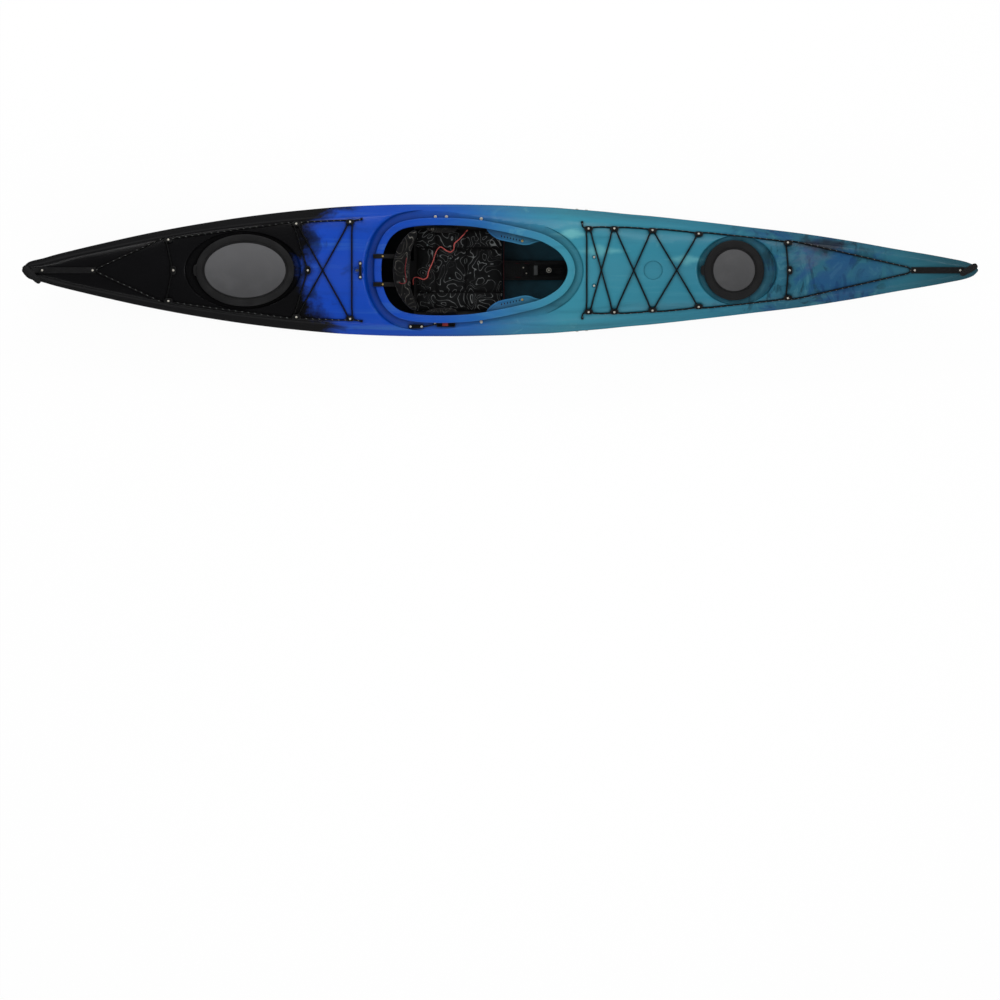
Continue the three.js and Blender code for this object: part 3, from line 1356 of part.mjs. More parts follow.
// Handle grips: oval bars on a short webbing tab at each tip
const GRIP_RADIUS = 16;
const GRIP_HEIGHT = 38;
const GRIP_SIDES = 12;
const GRIP_NOSE_SHARE = [0.7, 0.25];
const GRIP_SHOULDER_SHARE = 0.8;
const TAB_WIDTH = 22;
const TAB_CLEAR = 1.2;
function gripSolid({ x, y, length, yaw, from }) {
  const r = GRIP_RADIUS;
  const end = length / 2;
  const bar = turned([
    [0, -end],
    [r * GRIP_NOSE_SHARE[0], -end + r * GRIP_NOSE_SHARE[1]],
    [r, -end + r * GRIP_SHOULDER_SHARE],
    [r, end - r * GRIP_SHOULDER_SHARE],
    [r * GRIP_NOSE_SHARE[0], end - r * GRIP_NOSE_SHARE[1]],
    [0, end],
  ], GRIP_SIDES);
  const rise = HANDLE_STRAP_THICKNESS + SCREW_HEIGHT + GRIP_HEIGHT / 2;
  const base = Math.max(deckHeight(x, 0), deckHeight(from, 0));
  const lie = new THREE.Matrix4().makeTranslation(x, y, base + rise)
    .multiply(new THREE.Matrix4().makeRotationZ(yaw))
    .multiply(new THREE.Matrix4().makeScale(1, 1, GRIP_HEIGHT / 2 / r))
    .multiply(new THREE.Matrix4().makeRotationX(Math.PI / 2));
  const toBar = Math.sign(x - from);
  const tabRoot = from + toBar * TAB_CLEAR;
  const slope = [
    [tabRoot, deckHeight(from, 0) + GAP * 2],
    [tabRoot, deckHeight(from, 0) + GAP * 2 + HANDLE_STRAP_THICKNESS],
    [x, base + rise + HANDLE_STRAP_THICKNESS / 2],
    [x, base + rise - HANDLE_STRAP_THICKNESS],
  ];
  return moved(bar, lie).add(acrossBoat(slope, TAB_WIDTH));
}
const sternGrip = { x: -2165, y: -20, length: 112, yaw: Math.PI / 4, from: sternStrap.low };
const bowGrip = { x: 2167, y: 2, length: 92, yaw: -Math.PI / 3, from: bowStrap.high };
add('stern_handle_grip', gripSolid(sternGrip), BLACK, 0.7);
add('bow_handle_grip', gripSolid(bowGrip), BLACK, 0.7);

// Rear pad-eye: a screwed bridge behind the cockpit
const PAD_EYE_X = -646;
const PAD_EYE_LENGTH = 12;
const PAD_EYE_HALF = 40;
const PAD_EYE_FOOT = 17;
const PAD_EYE_GAP = 10;
const PAD_EYE_BAR = 5;
const padEyeSection = [
  [-PAD_EYE_HALF, -STEM_ROOT],
  [-PAD_EYE_HALF + PAD_EYE_FOOT, -STEM_ROOT],
  [-PAD_EYE_HALF + PAD_EYE_FOOT + PAD_EYE_BAR, PAD_EYE_GAP],
  [PAD_EYE_HALF - PAD_EYE_FOOT - PAD_EYE_BAR, PAD_EYE_GAP],
  [PAD_EYE_HALF - PAD_EYE_FOOT, -STEM_ROOT],
  [PAD_EYE_HALF, -STEM_ROOT],
  [PAD_EYE_HALF, PAD_EYE_BAR],
  [PAD_EYE_HALF - PAD_EYE_FOOT, PAD_EYE_BAR],
  [PAD_EYE_HALF - PAD_EYE_FOOT - PAD_EYE_BAR, PAD_EYE_GAP + PAD_EYE_BAR],
  [-PAD_EYE_HALF + PAD_EYE_FOOT + PAD_EYE_BAR, PAD_EYE_GAP + PAD_EYE_BAR],
  [-PAD_EYE_HALF + PAD_EYE_FOOT, PAD_EYE_BAR],
  [-PAD_EYE_HALF, PAD_EYE_BAR],
];
let padEye = alongBoat(padEyeSection, -PAD_EYE_LENGTH / 2, PAD_EYE_LENGTH / 2);
for (const side of [1, -1]) {
  const y = side * (PAD_EYE_HALF - PAD_EYE_FOOT / 2);
  padEye = padEye.add(at(post(SCREW_RADIUS, 0, PAD_EYE_BAR + SCREW_HEIGHT, SCREW_SIDES), 0, y, 0));
}
add('rear_pad_eye', onDeck(moved(padEye, deckFrame(PAD_EYE_X, 0))), BLACK, 0.5);

// Grab lines round both decks, and the stretch cords
const TAIL_LENGTH = 34;
const apexGap = DECK_CORD_RADIUS + GAP * 2;
function tail(name, heading) {
  const f = fittings[name];
  const y = f.y + f.side * laneOffset;
  const x = f.x + heading * (CAP_LENGTH / 2 + TAIL_LENGTH);
  return [onCrown(x, y + f.side * DECK_CORD_RADIUS * 2)];
}
const APEX_REACH = 14;
const apexTurn = (x, heading) => [
  onCrown(x - heading * APEX_REACH, APEX_REACH),
  onCrown(x - heading * DECK_CORD_RADIUS, APEX_REACH / 2),
  onCrown(x, 0),
  onCrown(x - heading * DECK_CORD_RADIUS, -APEX_REACH / 2),
  onCrown(x - heading * APEX_REACH, -APEX_REACH),
];
addDeckCord('rear_grab_line', joined([
  tail('aft_port', 1),
  through('aft_port', 1, -1),
  through('rear_port', 1, -1),
  through('stern_port', 1, -1),
  apexTurn(sternStrap.high + apexGap, -1),
  through('stern_starboard', 1, 1),
  through('rear_starboard', 1, 1),
  through('aft_starboard', 1, 1),
  tail('aft_starboard', 1),
], [1, 5, 11, 7, 7, 11, 5, 1], []));
addDeckCord('front_grab_line', joined([
  tail('front_1_port', -1),
  through('front_1_port', 1, 1),
  through('front_2_port', 1, 1),
  through('front_3_port', 1, 1),
  through('front_4_port', 1, 1),
  through('bow_port', 1, 1),
  apexTurn(bowStrap.low - apexGap, 1),
  through('bow_starboard', 1, -1),
  through('front_4_starboard', 1, -1),
  through('front_3_starboard', 1, -1),
  through('front_2_starboard', 1, -1),
  through('front_1_starboard', 1, -1),
  tail('front_1_starboard', -1),
], [1, 3, 4, 5, 8, 9, 9, 8, 5, 4, 3, 1], []));

const FRONT_COUNTS = [9, 9, 9, 9, 9, 9, 9];
addDeckCord('front_stretch_cord', joined([
  through('front_4_port', -1, -1),
  through('front_3_starboard', -1, -1),
  through('front_2_port', -1, -1),
  through('front_1_starboard', -1, -1),
  through('front_1_port', -1, 1),
  through('front_2_starboard', -1, 1),
  through('front_3_port', -1, 1),
  through('front_4_starboard', -1, 1),
], FRONT_COUNTS, [0, 0, 0, 0, CROSSING_LIFT, CROSSING_LIFT, CROSSING_LIFT]));

// Through a middle hook, along its stern side, from one side to the other.
const hookHalf = CAP_LENGTH / 2 + DECK_CORD_RADIUS;
const hookX = (name) => fittings[name].x - laneOffset;
addDeckCord('rear_stretch_cord', joined([
  [onCrown(hookX('rear_middle'), GAP * 3), onCrown(hookX('rear_middle'), hookHalf)],
  through('rear_port', -1, 1),
  through('aft_starboard', -1, 1),
  through('aft_port', -1, -1),
  through('rear_starboard', -1, -1),
  [onCrown(hookX('rear_middle'), -hookHalf), onCrown(hookX('rear_middle'), -GAP * 3)],
], [5, 10, 10, 10, 5], [0, 0, 0, CROSSING_LIFT, 0]));
for (const end of ['stern', 'bow']) {
  const x = hookX(`${end}_middle`);
  const start = through(`${end}_port`, -1, -1);
  const finish = through(`${end}_starboard`, -1, 1);
  addDeckCord(`${end}_stretch_cord`, joined([
    start.slice(1),
    [onCrown(x, hookHalf), onCrown(x, 0), onCrown(x, -hookHalf)],
    finish.slice(0, 2),
  ], [4, 4], []));
}

// The loose red cord that lies over the cushion
const SEAT_CORD_RADIUS = 2.5;
const SEAT_CORD_SIDES = 8;
const SEAT_CORD_STEPS = 46;
const seatCordRoute = [
  [-149, 187],
  [-188, 144],
  [-211, 122],
  [-214, 97],
  [-227, 85],
  [-246, 90],
  [-275, 108],
  [-291, 94],
  [-312, 36],
  [-330, -5],
  [-337, -33],
  [-353, -42],
  [-373, -36],
  [-387, -32],
];
const cushionBase = panLow + PAN_THICKNESS + GAP;
function onCushion(x, y) {
  const reach = SEAT_CORD_RADIUS * 4;
  const around = [[0, 0], [reach, 0], [-reach, 0], [0, reach], [0, -reach]];
  const heights = around.map(([dx, dy]) => wingRise(y + dy) + cushionTop(x + dx, y + dy));
  return cushionBase + Math.max(...heights) + SEAT_CORD_RADIUS + GAP * 2;
}
const seatCordPlan = smooth(seatCordRoute.map(([x, y]) => vec(x, y, 0)), SEAT_CORD_STEPS);
const seatCordTop = seatCordPlan.map((p) => vec(p.x, p.y, onCushion(p.x, p.y)));
const rearFall = PAN_REAR - SEAT_CORD_RADIUS - GAP * 3;
const fallTop = onCushion(CUSHION_REAR, -50);
seatCordTop.push(
  vec(rearFall + SEAT_CORD_RADIUS, -42, fallTop - SEAT_CORD_RADIUS),
  vec(rearFall, -54, fallTop - SEAT_CORD_RADIUS * 3),
  vec(rearFall, -72, fallTop - SEAT_CORD_RADIUS * 7),
  vec(rearFall, -84, fallTop - SEAT_CORD_RADIUS * 12),
);
add('seat_cord', cordSolid(seatCordTop, SEAT_CORD_RADIUS, SEAT_CORD_SIDES), RED, 0.8);

export default kayak;
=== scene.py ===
"""Sea kayak: a fine shell with cockpit and hatches, seat, deck lines and fittings.

Frame: metres, +X to the bow, +Y to port, +Z up. The origin is on the flat of
the keel, below mid-length, on the centreline.
"""

import json
import math

import bmesh
import bpy
import numpy as np
from mathutils import Matrix, Quaternion, Vector
from mathutils.bvhtree import BVHTree

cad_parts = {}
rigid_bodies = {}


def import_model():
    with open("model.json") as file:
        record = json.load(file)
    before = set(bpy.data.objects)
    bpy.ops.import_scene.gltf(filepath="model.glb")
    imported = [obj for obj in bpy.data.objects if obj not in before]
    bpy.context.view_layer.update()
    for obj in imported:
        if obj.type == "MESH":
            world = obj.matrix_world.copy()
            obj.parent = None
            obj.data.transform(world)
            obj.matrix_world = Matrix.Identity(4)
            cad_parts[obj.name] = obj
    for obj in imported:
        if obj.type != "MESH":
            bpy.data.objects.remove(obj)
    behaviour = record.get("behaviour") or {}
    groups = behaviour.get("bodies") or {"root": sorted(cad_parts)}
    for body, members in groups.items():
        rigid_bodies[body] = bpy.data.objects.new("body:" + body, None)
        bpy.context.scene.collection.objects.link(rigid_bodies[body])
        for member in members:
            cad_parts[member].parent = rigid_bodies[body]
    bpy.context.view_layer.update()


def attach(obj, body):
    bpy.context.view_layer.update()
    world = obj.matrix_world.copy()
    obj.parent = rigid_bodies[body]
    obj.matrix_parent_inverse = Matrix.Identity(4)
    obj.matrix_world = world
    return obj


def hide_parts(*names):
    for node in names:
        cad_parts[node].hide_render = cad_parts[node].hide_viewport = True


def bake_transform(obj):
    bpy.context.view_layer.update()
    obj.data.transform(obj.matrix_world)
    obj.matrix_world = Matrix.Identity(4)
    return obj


bl_info = {
    "name": "Sea kayak",
    "version": (1, 0, 0),
    "blender": (4, 5, 0),
    "location": "View3D > Sidebar > Kayak",
    "description": "Dresses the packed sea kayak: shell, lids, lines, seat and fittings",
    "category": "Object",
}

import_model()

# Shell sizes

HALF_LENGTH = 2.21
HALF_BEAM = 0.305
DECK_HEIGHT = 0.39
WALL = 0.006
# Air between two pieces that rest on each other.
REST_GAP = 0.0003
CROWN_POWER = 2.3
KEEL_FILL = 3.0

# Place of the half length; half beam; keel and seam heights; inset of the deck
# ridge; ridge and crown heights; sharpness of the bottom.
STATION_SHARES = [
    (-1, 0.013, 0.815, 0.826, 0.003, 0.833, 0.844, 1),
    (-0.995, 0.066, 0.731, 0.818, 0.016, 0.851, 0.874, 1),
    (-0.986, 0.125, 0.608, 0.815, 0.03, 0.856, 0.89, 1),
    (-0.975, 0.151, 0.441, 0.81, 0.043, 0.859, 0.9, 1),
    (-0.959, 0.177, 0.31, 0.805, 0.056, 0.859, 0.9, 1),
    (-0.932, 0.233, 0.251, 0.79, 0.069, 0.851, 0.897, 1),
    (-0.889, 0.311, 0.228, 0.764, 0.079, 0.836, 0.879, 0.92),
    (-0.837, 0.4, 0.208, 0.715, 0.085, 0.8, 0.854, 0.82),
    (-0.732, 0.567, 0.169, 0.641, 0.092, 0.744, 0.818, 0.6),
    (-0.628, 0.705, 0.133, 0.6, 0.105, 0.718, 0.782, 0.4),
    (-0.523, 0.82, 0.11, 0.559, 0.121, 0.692, 0.774, 0.2),
    (-0.419, 0.908, 0.079, 0.526, 0.138, 0.664, 0.764, 0.08),
    (-0.314, 0.97, 0.049, 0.5, 0.131, 0.649, 0.769, 0),
    (-0.209, 0.997, 0.013, 0.482, 0.118, 0.641, 0.759, 0),
    (-0.181, 1, 0, 0.479, 0.115, 0.641, 0.751, 0),
    (-0.105, 1, 0, 0.472, 0.111, 0.646, 0.769, 0),
    (0, 0.987, 0, 0.472, 0.111, 0.705, 0.859, 0),
    (0.054, 0.97, 0, 0.474, 0.118, 0.749, 0.91, 0),
    (0.105, 0.954, 0.015, 0.479, 0.118, 0.795, 0.951, 0),
    (0.157, 0.925, 0.036, 0.487, 0.118, 0.836, 0.977, 0),
    (0.209, 0.895, 0.056, 0.5, 0.111, 0.815, 0.969, 0.05),
    (0.262, 0.856, 0.074, 0.51, 0.108, 0.777, 0.951, 0.1),
    (0.314, 0.823, 0.09, 0.523, 0.105, 0.746, 0.926, 0.15),
    (0.419, 0.741, 0.118, 0.564, 0.092, 0.731, 0.885, 0.3),
    (0.523, 0.652, 0.138, 0.61, 0.085, 0.746, 0.874, 0.45),
    (0.628, 0.561, 0.164, 0.651, 0.079, 0.777, 0.877, 0.6),
    (0.732, 0.446, 0.195, 0.71, 0.066, 0.815, 0.882, 0.75),
    (0.837, 0.311, 0.292, 0.792, 0.052, 0.867, 0.91, 0.9),
    (0.889, 0.249, 0.413, 0.821, 0.046, 0.89, 0.931, 1),
    (0.941, 0.18, 0.59, 0.854, 0.033, 0.915, 0.956, 1),
    (0.973, 0.131, 0.726, 0.877, 0.026, 0.933, 0.969, 1),
    (0.991, 0.079, 0.815, 0.89, 0.016, 0.931, 0.959, 1),
    (1, 0.013, 0.879, 0.897, 0.003, 0.91, 0.923, 1),
]
# Bottom section, keel to seam: round and sharp.
BOTTOM_SHARES = [
    (0, 0, 0, 0),
    (0.2, 0, 0.1, 0.06),
    (0.62, 0.055, 0.32, 0.22),
    (0.86, 0.22, 0.58, 0.46),
    (0.965, 0.55, 0.82, 0.74),
    (1, 1, 1, 1),
]


def smooth_table(places, values):
    """A monotone cubic through a table, as a function of arrays."""
    xs, ys = np.asarray(places, float), np.asarray(values, float)
    gaps = np.diff(xs)
    slopes = np.diff(ys) / gaps
    tangents = np.zeros_like(ys)
    tangents[0], tangents[-1] = slopes[0], slopes[-1]
    w1, w2 = 2 * gaps[1:] + gaps[:-1], gaps[1:] + 2 * gaps[:-1]
    same = slopes[:-1] * slopes[1:] > 0
    with np.errstate(divide="ignore", invalid="ignore"):
        inner = (w1 + w2) / (w1 / slopes[:-1] + w2 / slopes[1:])
    tangents[1:-1] = np.where(same, inner, 0.0)

    def at(x):
        x = np.clip(np.asarray(x, float), xs[0], xs[-1])
        k = np.clip(np.searchsorted(xs, x) - 1, 0, len(xs) - 2)
        h = gaps[k]
        t = (x - xs[k]) / h
        t2, t3 = t * t, t * t * t
        return (
            (2 * t3 - 3 * t2 + 1) * ys[k]
            + (t3 - 2 * t2 + t) * h * tangents[k]
            + (3 * t2 - 2 * t3) * ys[k + 1]
            + (t3 - t2) * h * tangents[k + 1]
        )

    return at


_table = np.array(STATION_SHARES, float)
_scale = (1, HALF_BEAM, DECK_HEIGHT, DECK_HEIGHT, HALF_BEAM, DECK_HEIGHT, DECK_HEIGHT, 1)
_names = ("place", "beam", "keel", "seam", "inset", "ridge", "crown", "vee")
_curves = {
    name: smooth_table(_table[:, 0] * HALF_LENGTH, _table[:, k] * _scale[k])
    for k, name in enumerate(_names)
}


def hull(x):
    """The shell's measures at x."""
    return {name: curve(x) for name, curve in _curves.items()}


def section_height(s, y, ridge_y):
    """Height of the deck at y in a section, before its ridge is rounded."""
    side = np.abs(y)
    crowned = s["crown"] - (s["crown"] - s["ridge"]) * (np.minimum(side, ridge_y) / ridge_y) ** CROWN_POWER
    share = np.clip((side - ridge_y) / np.maximum(s["inset"], 1e-6), 0, 1)
    return np.where(side > ridge_y, s["ridge"] + (s["seam"] - s["ridge"]) * share, crowned)


RIDGE_ROUND = 0.011


def deck_height(x, y):
    """Height of the deck's smooth surface; works on arrays."""
    s = hull(x)
    ridge_y = s["beam"] - s["inset"]
    window = np.clip(s["beam"] - np.abs(y), 0, RIDGE_ROUND)
    total = 0
    for step in (-1, -0.5, 0, 0.5, 1):
        total = total + section_height(s, np.abs(y) + step * window, ridge_y)
    return total / 5


def deck_normal(x, y):
    e = 0.002
    dx = (deck_height(x + e, y) - deck_height(x - e, y)) / (2 * e)
    dy = (deck_height(x, y + e) - deck_height(x, y - e)) / (2 * e)
    return Vector((-float(dx), -float(dy), 1)).normalized()


def on_deck(x, y, rise=0.0):
    return Vector((x, y, float(deck_height(x, y)))) + deck_normal(x, y) * rise


def deck_frame(x, y, turn=0.0, rise=0.0):
    lie = Vector((0, 0, 1)).rotation_difference(deck_normal(x, y))
    spin = Quaternion((0, 0, 1), turn)
    return Matrix.Translation(on_deck(x, y, rise)) @ (lie @ spin).to_matrix().to_4x4()


# Mesh helpers

# Degrees above which an edge stays sharp: small hard parts, cloth and rubber,
# and cords.
CRISP = 35
SOFT = 50
CORD_SHARP = 80
# A tube's end ring is drawn in to this share.
TUBE_END = 0.55


def piece_from(name, vertices, faces, smooth=True, sharp=None):
    """A mesh object at the origin."""
    mesh = bpy.data.meshes.new(name)
    mesh.from_pydata([tuple(v) for v in vertices], [], [tuple(f) for f in faces])
    mesh.update()
    thing = bpy.data.objects.new(name, mesh)
    bpy.context.scene.collection.objects.link(thing)
    finish_mesh(thing, smooth, sharp)
    return thing


def finish_mesh(thing, smooth=True, sharp=None):
    mesh = thing.data
    mesh.polygons.foreach_set("use_smooth", [smooth] * len(mesh.polygons))
    if sharp is not None and smooth:
        mesh.set_sharp_from_angle(angle=math.radians(sharp))
    mesh.update()


def ring_faces(rings, count, closed_loop=False):
    """Faces between rings of count points; rings run counter-clockwise seen
    from the last one."""
    faces = []
    spans = rings if closed_loop else rings - 1
    for k in range(spans):
        upper = ((k + 1) % rings) * count
        for j in range(count):
            n = (j + 1) % count
            faces.append((k * count + j, k * count + n, upper + n, upper + j))
    if not closed_loop:
        faces.append(tuple(reversed(range(count))))
        faces.append(tuple((rings - 1) * count + j for j in range(count)))
    return faces


def lofted(name, rings, sharp=None, closed_loop=False):
    rings = [list(r) for r in rings]
    vertices = [p for ring in rings for p in ring]
    return piece_from(name, vertices, ring_faces(len(rings), len(rings[0]), closed_loop), sharp=sharp)


def outward(thing):
    """Normals recalculated on a closed mesh whose doubles are merged."""
    work = bmesh.new()
    work.from_mesh(thing.data)
    bmesh.ops.remove_doubles(work, verts=work.verts, dist=1e-6)
    bmesh.ops.recalc_face_normals(work, faces=work.faces)
    work.to_mesh(thing.data)
    work.free()
    thing.data.update()
    return thing


def placed(thing, matrix):
    thing.data.transform(matrix)
    if matrix.determinant() < 0:
        thing.data.flip_normals()
    thing.data.update()
    return thing


def joined(name, things):
    """One object from several."""
    work = bmesh.new()
    for thing in things:
        work.from_mesh(thing.data)
    mesh = bpy.data.meshes.new(name)
    work.to_mesh(mesh)
    work.free()
    for thing in things:
        drop(thing)
    result = bpy.data.objects.new(name, mesh)
    bpy.context.scene.collection.objects.link(result)
    return result


def drop(thing):
    mesh = thing.data
    bpy.data.objects.remove(thing)
    if mesh and mesh.users == 0:
        bpy.data.meshes.remove(mesh)


def baked(thing):
    """The modifiers' result as the object's own mesh."""
    depsgraph = bpy.context.evaluated_depsgraph_get()
    result = bpy.data.meshes.new_from_object(thing.evaluated_get(depsgraph))
    thing.modifiers.clear()
    old = thing.data
    thing.data = result
    if old.users == 0:
        bpy.data.meshes.remove(old)
    return thing


def cut(thing, cutters):
    """Cuts closed shapes out of a closed shape."""
    for cutter in cutters:
        tool = thing.modifiers.new("cut", "BOOLEAN")
        tool.operation = "DIFFERENCE"
        tool.solver = "MANIFOLD"
        tool.object = cutter
    baked(thing)
    for cutter in cutters:
        drop(cutter)
    return thing


def rounded(thing, width, segments=2, angle=40):
    bevel = thing.modifiers.new("edge", "BEVEL")
    bevel.width = width
    bevel.segments = segments
    bevel.limit_method = "ANGLE"
    bevel.angle_limit = math.radians(angle)
    return baked(thing)


def slab(name, low, high, edge=0.0, segments=2):
    """A block between two corners, with rounded edges."""
    (x0, y0, z0), (x1, y1, z1) = low, high
    ring = [(x0, y0), (x1, y0), (x1, y1), (x0, y1)]
    vertices = [(x, y, z0) for x, y in ring] + [(x, y, z1) for x, y in ring]
    thing = piece_from(name, vertices, ring_faces(2, 4), edge > 0)
    if edge:
        rounded(thing, edge, segments)
        finish_mesh(thing, True, SOFT)
    return thing


def oval_ring(rx, ry, z, sides):
    turns = [2 * math.pi * k / sides for k in range(sides)]
    return [(rx * math.cos(a), ry * math.sin(a), z) for a in turns]


def lathe(name, profile, sides, ratio=1.0, sharp=40):
    """A turned shape: each row of the profile is a radius and its height."""
    return lofted(name, [oval_ring(radius, ratio * radius, z, sides) for radius, z in profile], sharp)


def ovals(name, profile, rx, ry, sides, sharp=40, closed_loop=False):
    """Stacked ovals: each row of the profile is how far it lies inside the
    oval rx by ry, and its height."""
    return lofted(name, [oval_ring(rx - inset, ry - inset, z, sides) for inset, z in profile], sharp, closed_loop)


def curve_points(points, spacing, closed=False):
    """Points at an even spacing along a smooth curve through some points."""
    p = np.array([tuple(v) for v in points], float)
    n = len(p)
    spans = n if closed else n - 1

    def pick(k):
        if closed:
            return p[k % n]
        if k < 0:
            return 2 * p[0] - p[1]
        if k >= n:
            return 2 * p[-1] - p[-2]
        return p[k]

    dense = []
    for k in range(spans):
        a, b, c, d = pick(k - 1), pick(k), pick(k + 1), pick(k + 2)
        d0, d1, d2 = (max(np.linalg.norm(v) ** 0.5, 1e-5) for v in (b - a, c - b, d - c))
        t1 = ((b - a) / d0 - (c - a) / (d0 + d1) + (c - b) / d1) * d1
        t2 = ((c - b) / d1 - (d - b) / (d1 + d2) + (d - c) / d2) * d1
        steps = max(4, int(np.linalg.norm(c - b) / spacing * 3))
        for i in range(steps):
            t = i / steps
            dense.append(
                b + t1 * t + (-3 * b + 3 * c - 2 * t1 - t2) * t**2 + (2 * b - 2 * c + t1 + t2) * t**3
            )
    dense.append(p[0] if closed else p[-1])
    dense = np.array(dense)
    lengths = np.concatenate([[0], np.cumsum(np.linalg.norm(np.diff(dense, axis=0), axis=1))])
    count = max(2, int(round(lengths[-1] / spacing)))
    wanted = np.linspace(0, lengths[-1], count + 1)
    result = np.stack([np.interp(wanted, lengths, dense[:, k]) for k in range(3)], axis=1)
    return result[:-1] if closed else result


def tube(name, path, radius, sides):
    """A closed tube along a path, with a map of turns and metres along it."""
    path = np.asarray(path, float)
    tangents = np.gradient(path, axis=0)
    tangents /= np.linalg.norm(tangents, axis=1)[:, None]
    up = Vector((0, 0, 1)) if abs(tangents[0][2]) < 0.9 else Vector((1, 0, 0))
    side = Vector(tangents[0]).cross(up).normalized()
    rings = []
    for k, centre in enumerate(path):
        t = Vector(tangents[k])
        side = (side - t * side.dot(t)).normalized()
        rise = side.cross(t)
        r = radius * (TUBE_END if k in (0, len(path) - 1) else 1.0)
        rings.append([Vector(centre) + side * a + rise * b for a, b, _ in oval_ring(r, r, 0, sides)])
    thing = lofted(name, rings, CORD_SHARP)
    outward(thing)
    along = np.concatenate([[0], np.cumsum(np.linalg.norm(np.diff(path, axis=0), axis=1))])
    weave_map(thing, along, sides)
    finish_mesh(thing, True, CORD_SHARP)
    return thing


def weave_map(thing, along, sides):
    layer = thing.data.uv_layers.new(name="weave")
    for polygon in thing.data.polygons:
        indices = list(polygon.vertices)
        turn = [v % sides for v in indices]
        wraps = 0 in turn and sides - 1 in turn
        for loop, v, j in zip(polygon.loop_indices, indices, turn):
            u = (j + sides if wraps and j == 0 else j) / sides
            layer.data[loop].uv = (u, float(along[min(v // sides, len(along) - 1)]))


def strap(name, path, across, width, thickness, flip=1):
    """A flat strap along a path; across is its side direction. It lies above
    the path, or below it with flip -1."""
    path = [Vector(p) for p in path]
    side = Vector(across).normalized()
    rings = []
    for k, centre in enumerate(path):
        ahead = path[min(k + 1, len(path) - 1)] - path[max(k - 1, 0)]
        rise = ahead.normalized().cross(side) * flip
        h, w = thickness, width / 2
        rings.append([
            centre - side * w,
            centre + side * w,
            centre + side * w + rise * (h * 0.7),
            centre + side * (w - h * 0.4) + rise * h,
            centre - side * (w - h * 0.4) + rise * h,
            centre - side * w + rise * (h * 0.7),
        ])
    return outward(lofted(name, rings, 40))


# Shader helpers


def srgb(red, green, blue):
    """A colour as the screen shows it, 0 to 255, in linear light."""
    def linear(v):
        v /= 255
        return v / 12.92 if v <= 0.04045 else ((v + 0.055) / 1.055) ** 2.4

    return (linear(red), linear(green), linear(blue), 1.0)


class Wire:
    """A shader socket that takes part in sums."""

    def __init__(self, net, socket):
        self.net, self.socket = net, socket

    def _math(self, operation, a, b=None):
        return self.net.make("ShaderNodeMath", {"operation": operation}, {0: a} if b is None else {0: a, 1: b})

    def __add__(self, other):
        return self._math("ADD", self, other)

    def __sub__(self, other):
        return self._math("SUBTRACT", self, other)

    def __mul__(self, other):
        return self._math("MULTIPLY", self, other)

    def __truediv__(self, other):
        return self._math("DIVIDE", self, other)

    def __radd__(self, other):
        return self._math("ADD", other, self)

    def size(self):
        return self._math("ABSOLUTE", self)

    def wave(self):
        return self._math("SINE", self)

    def most(self, other):
        return self._math("MAXIMUM", self, other)

    def rest(self):
        """The part after the point."""
        return self._math("FRACT", self)

    def step(self, low, high):
        """0 below low, 1 above high, smooth between; high may be the lower."""
        return self.net.make(
            "ShaderNodeMapRange",
            {"interpolation_type": "SMOOTHSTEP"},
            {"Value": self, "From Min": low, "From Max": high, "To Min": 0.0, "To Max": 1.0},
        )


